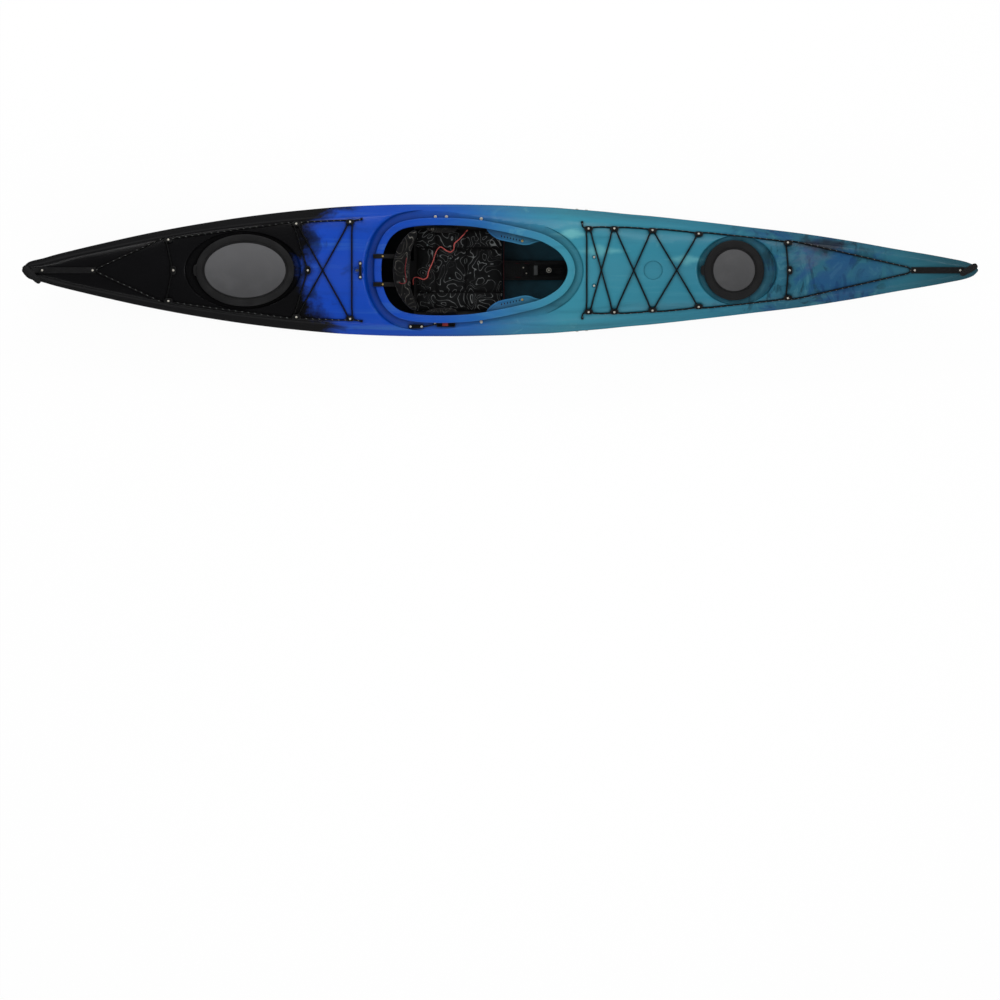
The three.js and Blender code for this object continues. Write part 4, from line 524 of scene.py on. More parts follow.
class Net:
    """The node tree of one material, or of the world."""

    def __init__(self, name, world=None):
        self.owner = world or bpy.data.materials.new(name)
        self.owner.use_nodes = True
        self.tree = self.owner.node_tree
        self.tree.nodes.clear()

    def make(self, kind, settings=None, inputs=None, out=0):
        node = self.tree.nodes.new(kind)
        for key, value in (settings or {}).items():
            if key == "stops":
                ramp = node.color_ramp
                while len(ramp.elements) > 1:
                    ramp.elements.remove(ramp.elements[-1])
                for k, (place, colour) in enumerate(value):
                    stop = ramp.elements[0] if k == 0 else ramp.elements.new(place)
                    stop.position = place
                    stop.color = colour
            else:
                setattr(node, key, value)
        for key, value in (inputs or {}).items():
            socket = node.inputs[key]
            if isinstance(value, Wire):
                self.tree.links.new(value.socket, socket)
            else:
                socket.default_value = value
        return Wire(self, node.outputs[out]) if node.outputs else None

    def ray(self, kind):
        return self.make("ShaderNodeLightPath", out=f"Is {kind} Ray")

    def mix_shader(self, factor, a, b):
        return self.make("ShaderNodeMixShader", None, {0: factor, 1: a, 2: b})

    def place(self):
        """Object coordinates."""
        return self.make("ShaderNodeTexCoord", out="Object")

    def xyz(self, vector=None):
        node = self.make("ShaderNodeSeparateXYZ", None, {0: vector or self.place()}).socket.node
        return [Wire(self, socket) for socket in node.outputs]

    def vector(self, x, y, z):
        return self.make("ShaderNodeCombineXYZ", None, {0: x, 1: y, 2: z})

    def noise(self, scale, detail=2.0, vector=None, roughness=0.5, distortion=0.0):
        return self.make("ShaderNodeTexNoise", None, {
            "Vector": vector or self.place(),
            "Scale": scale,
            "Detail": detail,
            "Roughness": roughness,
            "Distortion": distortion,
        })

    def mix(self, factor, a, b, blend="MIX"):
        settings = {"data_type": "RGBA", "blend_type": blend}
        return self.make("ShaderNodeMix", settings, {0: factor, 6: a, 7: b}, out=2)

    def bump(self, height, strength, distance, normal=None):
        inputs = {"Height": height, "Strength": strength, "Distance": distance}
        if normal is not None:
            inputs["Normal"] = normal
        return self.make("ShaderNodeBump", None, inputs)

    def painted_shade(self, colour, reach, strength=0.7):
        """The colour with painted shade: darkened by ambient occlusion in grooves and under edges."""
        open_share = self.make("ShaderNodeAmbientOcclusion", {"samples": 8}, {"Distance": reach}, out=1)
        shade = open_share * strength + (1.0 - strength)
        grey = self.make("ShaderNodeCombineColor", None, {0: shade, 1: shade, 2: shade})
        return self.mix(1.0, colour, grey, "MULTIPLY")

    def surface(self, colour, roughness, normal=None, metallic=0.0, **fixed):
        values = {"Base Color": colour, "Roughness": roughness, "Metallic": metallic}
        if normal is not None:
            values["Normal"] = normal
        for key, value in fixed.items():
            values[key.replace("_", " ").title().replace("Ior", "IOR")] = value
        shader = self.make("ShaderNodeBsdfPrincipled", None, values)
        self.make("ShaderNodeOutputMaterial", None, {0: shader})
        return self.owner


# Materials


def shell_material():
    """Moulded plastic that runs from black at the stern over blue to teal, with painted reflections on the foredeck
    and painted shade in its hollows.
    """
    net = Net("shell_plastic")
    x, y, z = net.xyz()
    broad = net.noise(2.2, 3, net.vector(x, y * 1.6, z * 1.6))
    torn = net.noise(9.0, 5, net.vector(x * 0.8, y, z), 0.6, 0.6)
    fine = net.noise(38.0, 4, net.vector(x * 0.5, y, z), 0.6, 0.3)
    smoke = net.noise(5.0, 4, net.vector(x, y, z), 0.6, 1.0)
    streak = net.noise(3.0, 4, net.vector(x * 0.35, y * 5, z * 5), 0.6)
    wisp = net.noise(7.0, 5, net.vector(x * 1.6, y * 0.8, z), 0.62, 1.6)
    place = x + (broad - 0.5) * 0.14 + (torn - 0.5) * 0.07
    along = (place + HALF_LENGTH) / (2 * HALF_LENGTH)

    def stop(at, *rgb):
        return ((at + HALF_LENGTH) / (2 * HALF_LENGTH), srgb(*rgb))

    colour = net.make("ShaderNodeValToRGB", {"stops": [
        stop(-0.82, 9, 66, 178),
        stop(-0.5, 8, 67, 174),
        stop(-0.3, 15, 76, 174),
        stop(-0.12, 30, 96, 166),
        stop(0.06, 52, 122, 162),
        stop(0.3, 54, 137, 158),
        stop(0.6, 49, 129, 150),
        stop(0.95, 46, 123, 145),
        stop(1.3, 38, 96, 118),
        stop(1.6, 38, 96, 118),
        stop(1.85, 40, 101, 119),
        stop(2.1, 32, 80, 93),
    ]}, {0: along})
    # Streaks along the boat, a few pale clouds that are painted reflections on the foredeck, and a darker bottom.
    # Painted reflection: pale patches on the foredeck round x 0.4.
    pale = smoke.step(0.6, 0.72) * (x - 0.4).size().step(0.5, 0.25)
    layers = [
        (streak.step(0.54, 0.78) * 0.14, (104, 172, 186)),
        (streak.step(0.47, 0.24) * 0.22, (12, 38, 58)),
        (pale * 0.3, (104, 176, 184)),
    ]
    # Painted reflections: three pale patches where the glossy foredeck mirrors a light.
    reflection_patches = ((0.33, 0.168, 0.09, 0.5), (0.46, 0.09, 0.12, 0.34), (0.86, 0.05, 0.1, 0.3))
    for middle, across, reach, strength in reflection_patches:
        away = (x - middle).size() * (0.07 / reach) + (y - across).size() * 2.4 + (fine - 0.5) * 0.08
        layers.append((away.step(0.09, 0.02) * strength, (124, 196, 196)))
    low = (z - DECK_HEIGHT * 0.5).step(0.02, -0.05)
    layers.append((low * 0.3, (10, 30, 44)))
    # Dark green and blue wisps round the bow hatch and on the bow deck.
    near = (x - 1.44).size() + (torn - 0.5) * 0.5 + (broad - 0.5) * 0.3
    zone = near.step(0.5, 0.14)
    soot = ((x - 1.5).size() * 0.8 + (y - 0.12).size() * 2.6 + (torn - 0.5) * 0.24).step(0.16, 0.05)
    violet = ((x - 1.42).size() + (y - 0.06).size() * 1.8 + (fine - 0.5) * 0.3).step(0.16, 0.02)
    layers += [
        (zone * wisp.step(0.52, 0.62) * 0.62, (18, 44, 54)),
        (zone * wisp.step(0.44, 0.34) * 0.3, (78, 140, 152)),
        (zone * smoke.step(0.46, 0.62) * 0.6, (24, 66, 122)),
        (soot * 0.85, (26, 22, 34)),
        (violet * 0.4, (84, 92, 118)),
    ]
    # Dark stern: torn at its edge, further forward at the sides.
    side = y.size()
    tear = x - (side * side) * 1.8 + (torn - 0.5) * 0.34 + (broad - 0.5) * 0.2 + (fine - 0.5) * 0.06
    patch = (x + (torn - 0.5) * 0.3).step(-0.62, -0.76) * smoke.step(0.48, 0.6) * 0.7
    layers.append((patch, (14, 34, 58)))
    for share, tint in layers:
        colour = net.mix(share, colour, srgb(*tint))
    black = net.mix(smoke, srgb(9, 9, 10), srgb(15, 15, 17))
    colour = net.mix(tear.step(-0.82, -0.96), colour, black)
    grain = net.noise(900.0, 2)
    scuffs = net.noise(60.0, 3, net.vector(x * 0.2, y, z * 3))
    rough = 0.2 + grain * 0.05 + scuffs.step(0.6, 0.75) * 0.03
    normal = net.bump(grain, 0.16, 0.0004)
    normal = net.bump(net.noise(7.0, 2), 0.25, 0.004, normal)
    # Painted shade: darker in the moat, the bays and round the rims and fittings, at two reaches.
    colour = net.painted_shade(net.painted_shade(colour, 0.09), 0.02)
    return net.surface(colour, rough, normal, specular_ior_level=0.5)


def shaded_inside_material():
    """The shell's inside as painted shade: dull, dark, with a hint of the outside's colour."""
    net = Net("shell_shaded_inside")
    x, y, z = net.xyz()
    cloud = net.noise(6.0, 4, net.vector(x, y, z), 0.6, 0.5)
    grain = net.noise(500.0, 2)
    # Painted shade: a darkened teal at the front, nearly black towards the rear.
    front = net.mix(cloud, srgb(10, 52, 68), srgb(22, 84, 102))
    rear = net.mix(cloud, srgb(4, 6, 8), srgb(8, 14, 20))
    colour = net.mix((x + (cloud - 0.5) * 0.3).step(-0.1, 0.3), rear, front)
    return net.surface(colour, 0.55 + grain * 0.1, net.bump(grain, 0.3, 0.0006), specular_ior_level=0.25)


def lighter(colour, gain, lift):
    return tuple(min(1.0, c * gain + lift) for c in colour[:3]) + (1.0,)


def plain_plastic(name, colour, roughness):
    """Moulded fittings plastic with a fine grain and paler, rubbed places."""
    net = Net(name)
    speck = net.noise(700.0, 2)
    cloud = net.noise(30.0, 3)
    edge = net.make("ShaderNodeNewGeometry", out="Pointiness").step(0.53, 0.6)
    pale = lighter(colour, 2.2, 0.02)
    base = net.mix(cloud.step(0.45, 0.8) * 0.25, colour, pale)
    base = net.mix(edge * 0.1 * 3, base, pale)
    return net.surface(base, roughness + (speck - 0.5) * 0.12, net.bump(speck, 0.3, 0.0003))


WEAVE = 2400.0
CORD_LAY = 0.006
CORD_STRANDS = 3
DUST = srgb(52, 52, 54)


def cloth_material(name, ground, line, printed=True):
    """Woven cloth with a thin printed contour pattern, and painted shade in its hollows."""
    net = Net(name)
    x, y, z = net.xyz()
    threads = ((x * WEAVE).wave() * (y * WEAVE).wave() + (z * WEAVE).wave() * 0.5) * 0.5
    base = ground
    if printed:
        field = net.noise(12.0, 1.4, net.vector(x, y, z * 0.6), 0.5, 0.6)
        bands = (field * 10.0).rest()
        width = (bands - 0.5).size()
        island = net.noise(14.0, 1, net.vector(x + 3, y, z)).step(0.36, 0.5)
        base = net.mix(width.step(0.07, 0.02) * (island * 0.6 + 0.2), ground, line)
    dust = net.noise(45.0, 4)
    base = net.mix(dust.step(0.5, 0.8) * 0.12, base, DUST)
    # Painted shade in the channels, tufts and creases.
    base = net.painted_shade(base, 0.022, 0.85)
    return net.surface(base, 0.86, net.bump(threads, 0.35, 0.0004), sheen_weight=0.04, sheen_roughness=0.5)


def webbing_material(name, colour):
    net = Net(name)
    x, y, _ = net.xyz()
    ribs = (x * 2600.0).wave() * 0.5 + (y * 900.0).wave() * 0.5
    lint = net.noise(160.0, 3)
    base = net.mix(lint.step(0.45, 0.8) * 0.35, colour, DUST)
    return net.surface(base, 0.78, net.bump(ribs, 0.5, 0.0005))


def cord_material(name, ground, fleck, share, pitch):
    """A braided sheath: slanting strands, with lighter flecks."""
    net = Net(name)
    uv = net.make("ShaderNodeUVMap", {"uv_map": "weave"})
    u, v, _ = net.xyz(uv)
    turns = 2 * math.pi * CORD_STRANDS
    strands = ((u + v / CORD_LAY) * turns).wave() * ((u - v / CORD_LAY) * turns).wave()
    fleck_row = (v / pitch + u * 0.6).rest()
    flecks = (fleck_row - 0.5).size().step(share * 0.5, share * 0.5 - 0.04) * (u * 2).rest().step(0.35, 0.5)
    base = net.mix(flecks, ground, fleck)
    base = net.mix(strands.step(0.2, -0.6) * 0.5, base, srgb(8, 8, 8))
    return net.surface(base, 0.72, net.bump(strands, 0.6, 0.0005))


def lid_surface(net, base, bloom, roughness):
    """What the lids' rings and discs share: painted shade in the hollows, a fine grain, duller where bloomed."""
    grain = net.noise(600.0, 2)
    return net.surface(net.painted_shade(base, 0.03), bloom * 0.1 + roughness, net.bump(grain, 0.25, 0.0004))


def rubber_material():
    """The lids' rings, with a faint bloom."""
    net = Net("lid_rubber")
    bloom = net.noise(14.0, 4)
    colour = srgb(26, 26, 27)
    base = net.mix(bloom.step(0.4, 0.8) * 0.3, colour, lighter(colour, 1.7, 0.01))
    return lid_surface(net, base, bloom, 0.5)


def disc_material():
    """The lids' grey tops: lighter to port as painted light, and the bow one darker."""
    net = Net("lid_disc")
    x, y, _ = net.xyz()
    bloom = net.noise(14.0, 4)
    # Painted light: the port half of each disc lighter, as if lit from port.
    base = net.mix(y.step(-0.13, 0.13), srgb(68, 68, 70), srgb(88, 88, 90))
    base = net.mix(x.step(0.0, 0.5) * 0.4, base, srgb(60, 60, 61))
    base = net.mix(bloom.step(0.4, 0.8) * 0.2, base, srgb(98, 98, 100))
    return lid_surface(net, base, bloom, 0.62)


def metal_material(name, colour, roughness):
    net = Net(name)
    brushed = net.noise(500.0, 3)
    base = net.mix(net.noise(90.0, 2).step(0.5, 0.8) * 0.3, colour, srgb(90, 84, 72))
    return net.surface(base, roughness + (brushed - 0.5) * 0.2, net.bump(brushed, 0.2, 0.0002), metallic=0.35)


def foam_material():
    net = Net("bulkhead_foam")
    cells = net.make("ShaderNodeTexVoronoi", None, {"Vector": net.place(), "Scale": 420.0})
    cloud = net.noise(18.0, 3)
    base = net.mix(cloud, srgb(58, 60, 62), srgb(84, 86, 88))
    return net.surface(base, 0.92, net.bump(cells, 0.5, 0.0008))


MADE = {}


def finish(name):
    """The material of that finish, made once."""
    if name not in MADE:
        _, maker, *values = FINISHES[name]
        MADE[name] = maker(*values)
    return MADE[name]


# Slot, material and its values.
FINISHES = {
    "shell": ("deck_plastic", shell_material),
    # The shell's inside: its colour darkened as painted shade.
    "shaded_inside": ("deck_plastic", shaded_inside_material),
    "fitting": ("black_plastic", plain_plastic, "fitting_plastic", srgb(13, 13, 14), 0.42),
    "satin": ("black_plastic", plain_plastic, "seat_plastic", srgb(15, 15, 16), 0.5),
    "wedge": ("black_plastic", plain_plastic, "wedge_plastic", srgb(74, 77, 78), 0.45),
    "red": ("red_plastic", plain_plastic, "slider_plastic", srgb(128, 28, 32), 0.4),
    "ring": ("hatch_rubber", rubber_material),
    "disc": ("hatch_rubber", disc_material),
    "cloth": ("seat_fabric", cloth_material, "seat_cloth", srgb(15, 16, 17), srgb(138, 142, 142)),
    "pad": ("seat_fabric", cloth_material, "pad_cloth", srgb(9, 9, 10), srgb(112, 110, 104)),
    "rim": ("seat_fabric", cloth_material, "edge_cloth", srgb(15, 15, 16), srgb(40, 40, 40), False),
    "button": ("seat_fabric", plain_plastic, "button_plastic", srgb(96, 108, 108), 0.4),
    "piping": ("seat_fabric", webbing_material, "piping_red", srgb(128, 30, 38)),
    "dark_piping": ("seat_fabric", webbing_material, "piping_dark", srgb(66, 16, 24)),
    "webbing": ("webbing", webbing_material, "strap_webbing", srgb(17, 17, 18)),
    "grip": ("webbing", webbing_material, "grip_sleeve", srgb(24, 24, 25)),
    "line": ("black_cord", cord_material, "grab_line_braid", srgb(12, 12, 13), srgb(132, 134, 132), 0.16, 0.03),
    "stretch": ("black_cord", cord_material, "stretch_cord_braid", srgb(11, 11, 12), srgb(30, 30, 32), 0.3, 0.02),
    "skeg_line": ("black_cord", cord_material, "skeg_line_braid", srgb(18, 18, 19), srgb(50, 50, 52), 0.4, 0.01),
    "loose": ("red_cord", cord_material, "loose_cord_braid", srgb(250, 98, 94), srgb(255, 172, 160), 0.3, 0.008),
    "steel": ("steel", metal_material, "screw_steel", srgb(222, 218, 206), 0.3),
    "brass": ("steel", metal_material, "screw_brass", srgb(206, 176, 104), 0.36),
    "foam": ("foam", foam_material),
}


def settle(thing, surface, body, *nodes, sharp=40, slot=None):
    """Gives a piece its finish and its body, and hides the nodes it stands
    for; a piece that bends between bodies has no body."""
    mesh = thing.data
    mesh.materials.clear()
    mesh.materials.append(finish(surface))
    mesh.polygons.foreach_set("material_index", [0] * len(mesh.polygons))
    finish_mesh(thing, True, sharp)
    if body:
        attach(thing, body)
    if nodes:
        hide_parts(*nodes)
    return thing


# Cockpit sizes

COCKPIT_REAR = -0.548
COCKPIT_LENGTH = 0.861
COCKPIT_WIDTH = 0.418
RIM_WIDTH = 0.035
RIM_THICKNESS = 0.005
RIM_DROP = 0.003
NECK_WALL = 0.008
FLOOR_WIDTH = 0.072
FLOOR_LEAN = 0.25

# Half outline, rear to front: shares of the length and of the half width.
EGG_SHARES = [
    (0, 0),
    (0.004, 0.24),
    (0.021, 0.5),
    (0.05, 0.718),
    (0.1, 0.885),
    (0.179, 0.967),
    (0.269, 0.995),
    (0.375, 0.994),
    (0.494, 0.962),
    (0.6, 0.892),
    (0.72, 0.789),
    (0.849, 0.651),
    (0.904, 0.541),
    (0.952, 0.402),
    (0.988, 0.196),
    (1, 0),
]
# Places of the half length, and heights of the deck height.
RIM_SHARES = [
    (-0.29, 0.7),
    (-0.263, 0.698),
    (-0.177, 0.669),
    (-0.093, 0.725),
    (0, 0.851),
    (0.072, 0.941),
    (0.113, 0.979),
    (0.157, 1),
    (0.2, 1),
]
FLOOR_SHARES = [(-0.32, 0.66), (-0.263, 0.623), (-0.181, 0.59), (-0.104, 0.636), (0.21, 0.975)]

rim_height = smooth_table(
    [a * HALF_LENGTH for a, _ in RIM_SHARES], [b * DECK_HEIGHT for _, b in RIM_SHARES]
)


def sunk_height(x):
    """Height of the sunk floor round the cockpit, its corners softened."""
    places = np.array([a for a, _ in FLOOR_SHARES]) * HALF_LENGTH
    heights = np.array([b for _, b in FLOOR_SHARES]) * DECK_HEIGHT
    slopes = np.diff(heights) / np.diff(places)
    x = np.asarray(x, float)
    total = 0
    for step in (-0.012, -0.006, 0, 0.006, 0.012):
        at = x + step
        total = total + np.interp(at, places, heights) + np.where(
            at > places[-1], (at - places[-1]) * slopes[-1], 0
        )
    return total / 5


def outline_of(points, count):
    """Evenly spaced points of a closed outline and their outward normals."""
    fine = curve_points(points, 0.002, closed=True)
    ring = np.vstack([fine, fine[:1]])
    lengths = np.concatenate([[0], np.cumsum(np.linalg.norm(np.diff(ring, axis=0), axis=1))])
    wanted = np.linspace(0, lengths[-1], count, endpoint=False)
    places = np.stack([np.interp(wanted, lengths, ring[:, k]) for k in range(2)], axis=1)
    ahead = np.roll(places, -1, axis=0) - np.roll(places, 1, axis=0)
    ahead /= np.linalg.norm(ahead, axis=1)[:, None]
    return places, np.stack([ahead[:, 1], -ahead[:, 0]], axis=1)


def egg_outline(count):
    half = [(COCKPIT_REAR + a * COCKPIT_LENGTH, b * COCKPIT_WIDTH / 2, 0) for a, b in EGG_SHARES]
    return outline_of(half[::-1] + [(x, -y, 0) for x, y, _ in half[1:-1]], count)


def oval_outline(x, rx, ry, count):
    turns = np.linspace(0, 2 * math.pi, count, endpoint=False)
    places = np.stack([x + rx * np.cos(turns), ry * np.sin(turns)], axis=1)
    normals = np.stack([np.cos(turns) / rx, np.sin(turns) / ry], axis=1)
    return places, normals / np.linalg.norm(normals, axis=1)[:, None]


SKY = 0.62


def sunk_cutter(name, outline, floor, reach, lean, foot, brow, drop=0.0):
    """A closed shape that sinks a floor into the deck, with a rounded foot and
    a rounded brow where its wall meets the deck."""
    places, normals = outline
    base = places + normals * reach
    floor_z = floor(base[:, 0]) - drop
    out = np.zeros(len(places))
    for _ in range(6):
        p = base + normals * out[:, None]
        top = deck_height(p[:, 0], p[:, 1])
        out = lean * np.maximum(top - floor_z, 0)
    rise = np.maximum(top - floor_z, 0.0012)
    foot = np.minimum(foot, rise * 0.42)
    brow = np.minimum(brow, rise * 0.42)
    rings = []

    def ring(offset, z):
        p = base + normals * np.asarray(offset).reshape(-1, 1)
        rings.append(np.column_stack([p, z]))

    middle = places.mean(axis=0)
    for share in (0.3, 0.7):
        p = middle + (places - middle) * share
        rings.append(np.column_stack([p, floor(p[:, 0]) - drop]))
    for back in (reach * 0.95, reach * 0.5):
        if reach:
            p = base - normals * back
            rings.append(np.column_stack([p, floor(p[:, 0]) - drop]))
    for step in range(5):
        turn = step / 4 * math.pi / 2
        ring(-foot * (1 - math.sin(turn)), floor_z + foot * (1 - math.cos(turn)))
    wall = lean * (rise - brow - foot)
    ring(wall, floor_z + rise - brow)
    end = base + normals * (out + brow)[:, None]
    end_z = np.maximum(deck_height(end[:, 0], end[:, 1]), floor_z + rise * 0.9) + 0.0002
    for t in (0.25, 0.5, 0.75, 1.0):
        a, b, c = (1 - t) ** 2, 2 * t * (1 - t), t * t
        ring(a * wall + b * out + c * (out + brow), a * (floor_z + rise - brow) + b * (floor_z + rise) + c * end_z)
    ring(out + brow + 0.002, end_z + 0.01)
    ring(out + brow + 0.002, np.full(len(places), SKY))
    thing = lofted(name, rings)
    return outward(thing)


def stacked(name, outline, steps):
    """A solid from an outline at several heights; each step is how far it
    grows, and its height."""
    places, normals = outline
    rings = [np.column_stack([places + normals * grow, np.full(len(places), z)]) for grow, z in steps]
    return outward(lofted(name, rings))


# Hatch sizes

HATCHES = {
    "rear": dict(
        x=-1.179035, floor=0.27698, tilt=0.02, bay=(0.265, 0.179), shift=-0.009,
        ring=(0.228, 0.167), disc=(0.188, 0.127), tab=(0.016, 0.052),
    ),
    "bow": dict(
        x=1.0809994, floor=0.29805, tilt=0.056, bay=(0.18, 0.16), shift=0.014,
        ring=(0.139, 0.139), disc=(0.097, 0.097), tab=(0.02, 0.048),
    ),
}
LIP_HEIGHT = 0.018
LIP_WALL = 0.007
LID_SKIRT = 0.009
LID_FIT = 0.0005
LID_TOP = 0.006
LID_UNDER = LIP_HEIGHT + REST_GAP
LID_SIDES = 144
COMPASS_X = 0.708
COMPASS_RADIUS = 0.043
COMPASS_DEPTH = 0.005
FOREDECK_SCREWS = ((0.4355, 0.0611), (0.4355, -0.0716))
PAD_EYE_X = -0.646
PAD_EYE_FOOT = 0.0315


def hatch_matrix(h):
    return Matrix.Translation((h["x"], 0, h["floor"])) @ Matrix.Rotation(h["tilt"], 4, "Y")


def hatch_floor(h):
    return lambda x: h["floor"] - (np.asarray(x) - h["x"]) * math.tan(h["tilt"])


def section_shape(x, inset=0.0, fine=True):
    """One closed section: port seam, over the deck, starboard seam, round the
    bottom and back."""
    s = {k: float(v) for k, v in hull(x).items()}
    beam = s["beam"] - inset
    scale = beam / s["beam"]
    ridge_y = s["beam"] - s["inset"]
    flank = np.linspace(s["beam"], ridge_y, 6 if fine else 3)[:-1]
    edge = min(RIDGE_ROUND, ridge_y * 0.3)
    bend = np.linspace(ridge_y + edge * 0.8, ridge_y - edge, 7) if fine else np.array([ridge_y])
    flank = flank[flank > ridge_y + edge] if fine else flank
    crown = np.linspace(ridge_y - (edge if fine else 0), 0, 20 if fine else 10)[1:]
    side = np.concatenate([[s["beam"]], flank[flank < s["beam"]], bend, crown])
    # Every section has the same count: it is spread again along itself.
    z = deck_height(np.full(len(side), x), side)
    z[0] = s["seam"]
    walk = np.concatenate([[0], np.cumsum(np.hypot(np.diff(side), np.diff(z)))])
    count = 40 if fine else 18
    even = np.linspace(0, walk[-1], count)
    knee = np.interp(ridge_y, side[::-1], walk[::-1])
    pull = even + 0.35 * (knee - even) * np.exp(-(((even - knee) / (walk[-1] * 0.14 + 1e-6)) ** 2))
    pull[0], pull[-1] = 0, walk[-1]
    y = np.interp(pull, walk, side)
    z = np.interp(pull, walk, z)
    port = [(x, v * scale, h - inset) for v, h in zip(y, z)]
    port[0] = (x, beam, s["seam"])
    top = port + [(x, -v, h) for _, v, h in port[-2::-1]]
    keel = s["keel"] + inset * (1 + KEEL_FILL * s["vee"])
    table = np.array(BOTTOM_SHARES)
    t = np.linspace(0, len(table) - 1, 26 if fine else 12)
    mixed = table[:, :2] * (1 - s["vee"]) + table[:, 2:] * s["vee"]
    across = smooth_table(range(len(table)), mixed[:, 0])(t)
    up = smooth_table(range(len(table)), mixed[:, 1])(t)
    bottom = [(x, a * beam, keel + (s["seam"] - keel) * u) for a, u in zip(across, up)]
    under = [(x, -y, z) for _, y, z in bottom[-2:0:-1]] + bottom[:-1]
    return top + under


def hull_loft(name, low, high, count, inset=0.0, fine=True):
    """The closed outside (or inside) of the shell between two stations."""
    share = np.linspace(0, 1, count)
    even = low + (high - low) * share
    # Stations crowd towards both ends.
    bunch = 0.5 - 0.5 * np.cos(math.pi * share)
    xs = even * 0.6 + (low + (high - low) * bunch) * 0.4
    rings = [section_shape(float(x), inset, fine) for x in xs]
    return outward(lofted(name, rings))


def build_shell(s):
    wall = s.wall
    outside = hull_loft("outside", -HALF_LENGTH, HALF_LENGTH, 260)
    egg = egg_outline(168)
    bays = {k: oval_outline(h["x"] + h["shift"], *h["bay"], 112) for k, h in HATCHES.items()}
    slope = float(deck_height(COMPASS_X - 0.04, 0) - deck_height(COMPASS_X + 0.04, 0)) / 0.08

    def compass_floor(x):
        return float(deck_height(COMPASS_X, 0)) - COMPASS_DEPTH - (np.asarray(x) - COMPASS_X) * slope

    compass = oval_outline(COMPASS_X, COMPASS_RADIUS, COMPASS_RADIUS, 64)
    cutters = [sunk_cutter("moat", egg, sunk_height, FLOOR_WIDTH, FLOOR_LEAN, 0.016, 0.011)]
    for k, h in HATCHES.items():
        cutters.append(sunk_cutter("bay", bays[k], hatch_floor(h), 0, 0.2, 0.008, 0.007))
    cutters.append(sunk_cutter("compass", compass, compass_floor, 0, 0.25, 0.0015, 0.002))
    cut(outside, cutters)
    small = []
    dish = [(0.004, -0.0032), (0.001, -0.0026), (0.0, -0.0006), (-0.0016, 0.0004), (-0.0016, 0.01)]
    for x, y in FOREDECK_SCREWS:
        small.append(placed(ovals("dimple", dish, 0.0105, 0.0105, 28), deck_frame(x, y)))
    bowl = [(0.014, -0.007), (0.009, -0.006), (0.003, -0.002), (0.0, 0.0006), (0.0, 0.02)]
    small.append(placed(ovals("moon", bowl, 0.03, 0.02, 40), deck_frame(-0.652, 0.0)))
    cut(outside, small)
    inside = hull_loft("inside", -0.973 * HALF_LENGTH, 0.972 * HALF_LENGTH, 110, wall, False)
    grown = [sunk_cutter("moat_in", egg, sunk_height, FLOOR_WIDTH + wall, FLOOR_LEAN, 0.004, 0.002, wall)]
    for k, h in HATCHES.items():
        grown_bay = oval_outline(h["x"] + h["shift"], h["bay"][0] + wall, h["bay"][1] + wall, 72)
        grown.append(sunk_cutter("bay_in", grown_bay, hatch_floor(h), 0, 0.2, 0.003, 0.002, wall))
    grown_compass = oval_outline(COMPASS_X, COMPASS_RADIUS + wall, COMPASS_RADIUS + wall, 40)
    grown.append(sunk_cutter("compass_in", grown_compass, compass_floor, 0, 0.2, 0.001, 0.001, wall))
    grown.append(slab("moon_in", (-0.69, -0.028, 0.27), (-0.62, 0.028, 0.4)))
    cut(inside, grown)
    holes = [inside, stacked("mouth", egg, [(NECK_WALL / 2, z) for z in (0.1, SKY)])]
    for h in HATCHES.values():
        inner = LID_SKIRT + LID_FIT + LIP_WALL
        rx, ry = h["ring"]
        oval = oval_outline(h["x"], rx - inner - LIP_WALL / 2, ry - inner - LIP_WALL / 2, 96)
        holes.append(stacked("hatch_mouth", oval, [(0, h["floor"] - 0.04), (0, SKY)]))
    holes.append(slab("skeg_slot", (-1.956, -0.007, 0.0), (-1.659, 0.007, 0.147)))
    cut(outside, holes)
    parts = [outside, coaming_shape(egg), *[hatch_lip(h) for h in HATCHES.values()]]
    shell = settle(joined("kayak_shell", parts), "shell", "boat", "hull_shell", "deck_shell", sharp=34)
    shade_inside_faces(shell)


SHADED_INSIDE_END = 0.12


def shade_inside_faces(shell):
    """Gives the shell's inner faces the darker inside material, which is painted shade."""
    mesh = shell.data
    count = len(mesh.polygons)
    centre, normal = np.empty(count * 3), np.empty(count * 3)
    mesh.polygons.foreach_get("center", centre)
    mesh.polygons.foreach_get("normal", normal)
    x, y, z = centre.reshape(-1, 3).T
    nx, ny, nz = normal.reshape(-1, 3).T
    seam = hull(x)["seam"]
    low = (z < seam - 0.012) & ((y * ny < -0.0005) | (nz > 0.3) | (np.abs(nx) > 0.7))
    covered = (z < deck_height(x, y) - 0.003) & (np.abs(y) < hull(x)["beam"] - WALL)
    under = (z >= seam - 0.012) & (nz < -0.3) & covered
    mesh.materials.append(finish("shaded_inside"))
    inside = (low | under) & (np.abs(x) < HALF_LENGTH - SHADED_INSIDE_END)
    mesh.polygons.foreach_set("material_index", inside.astype(int))
    mesh.update()


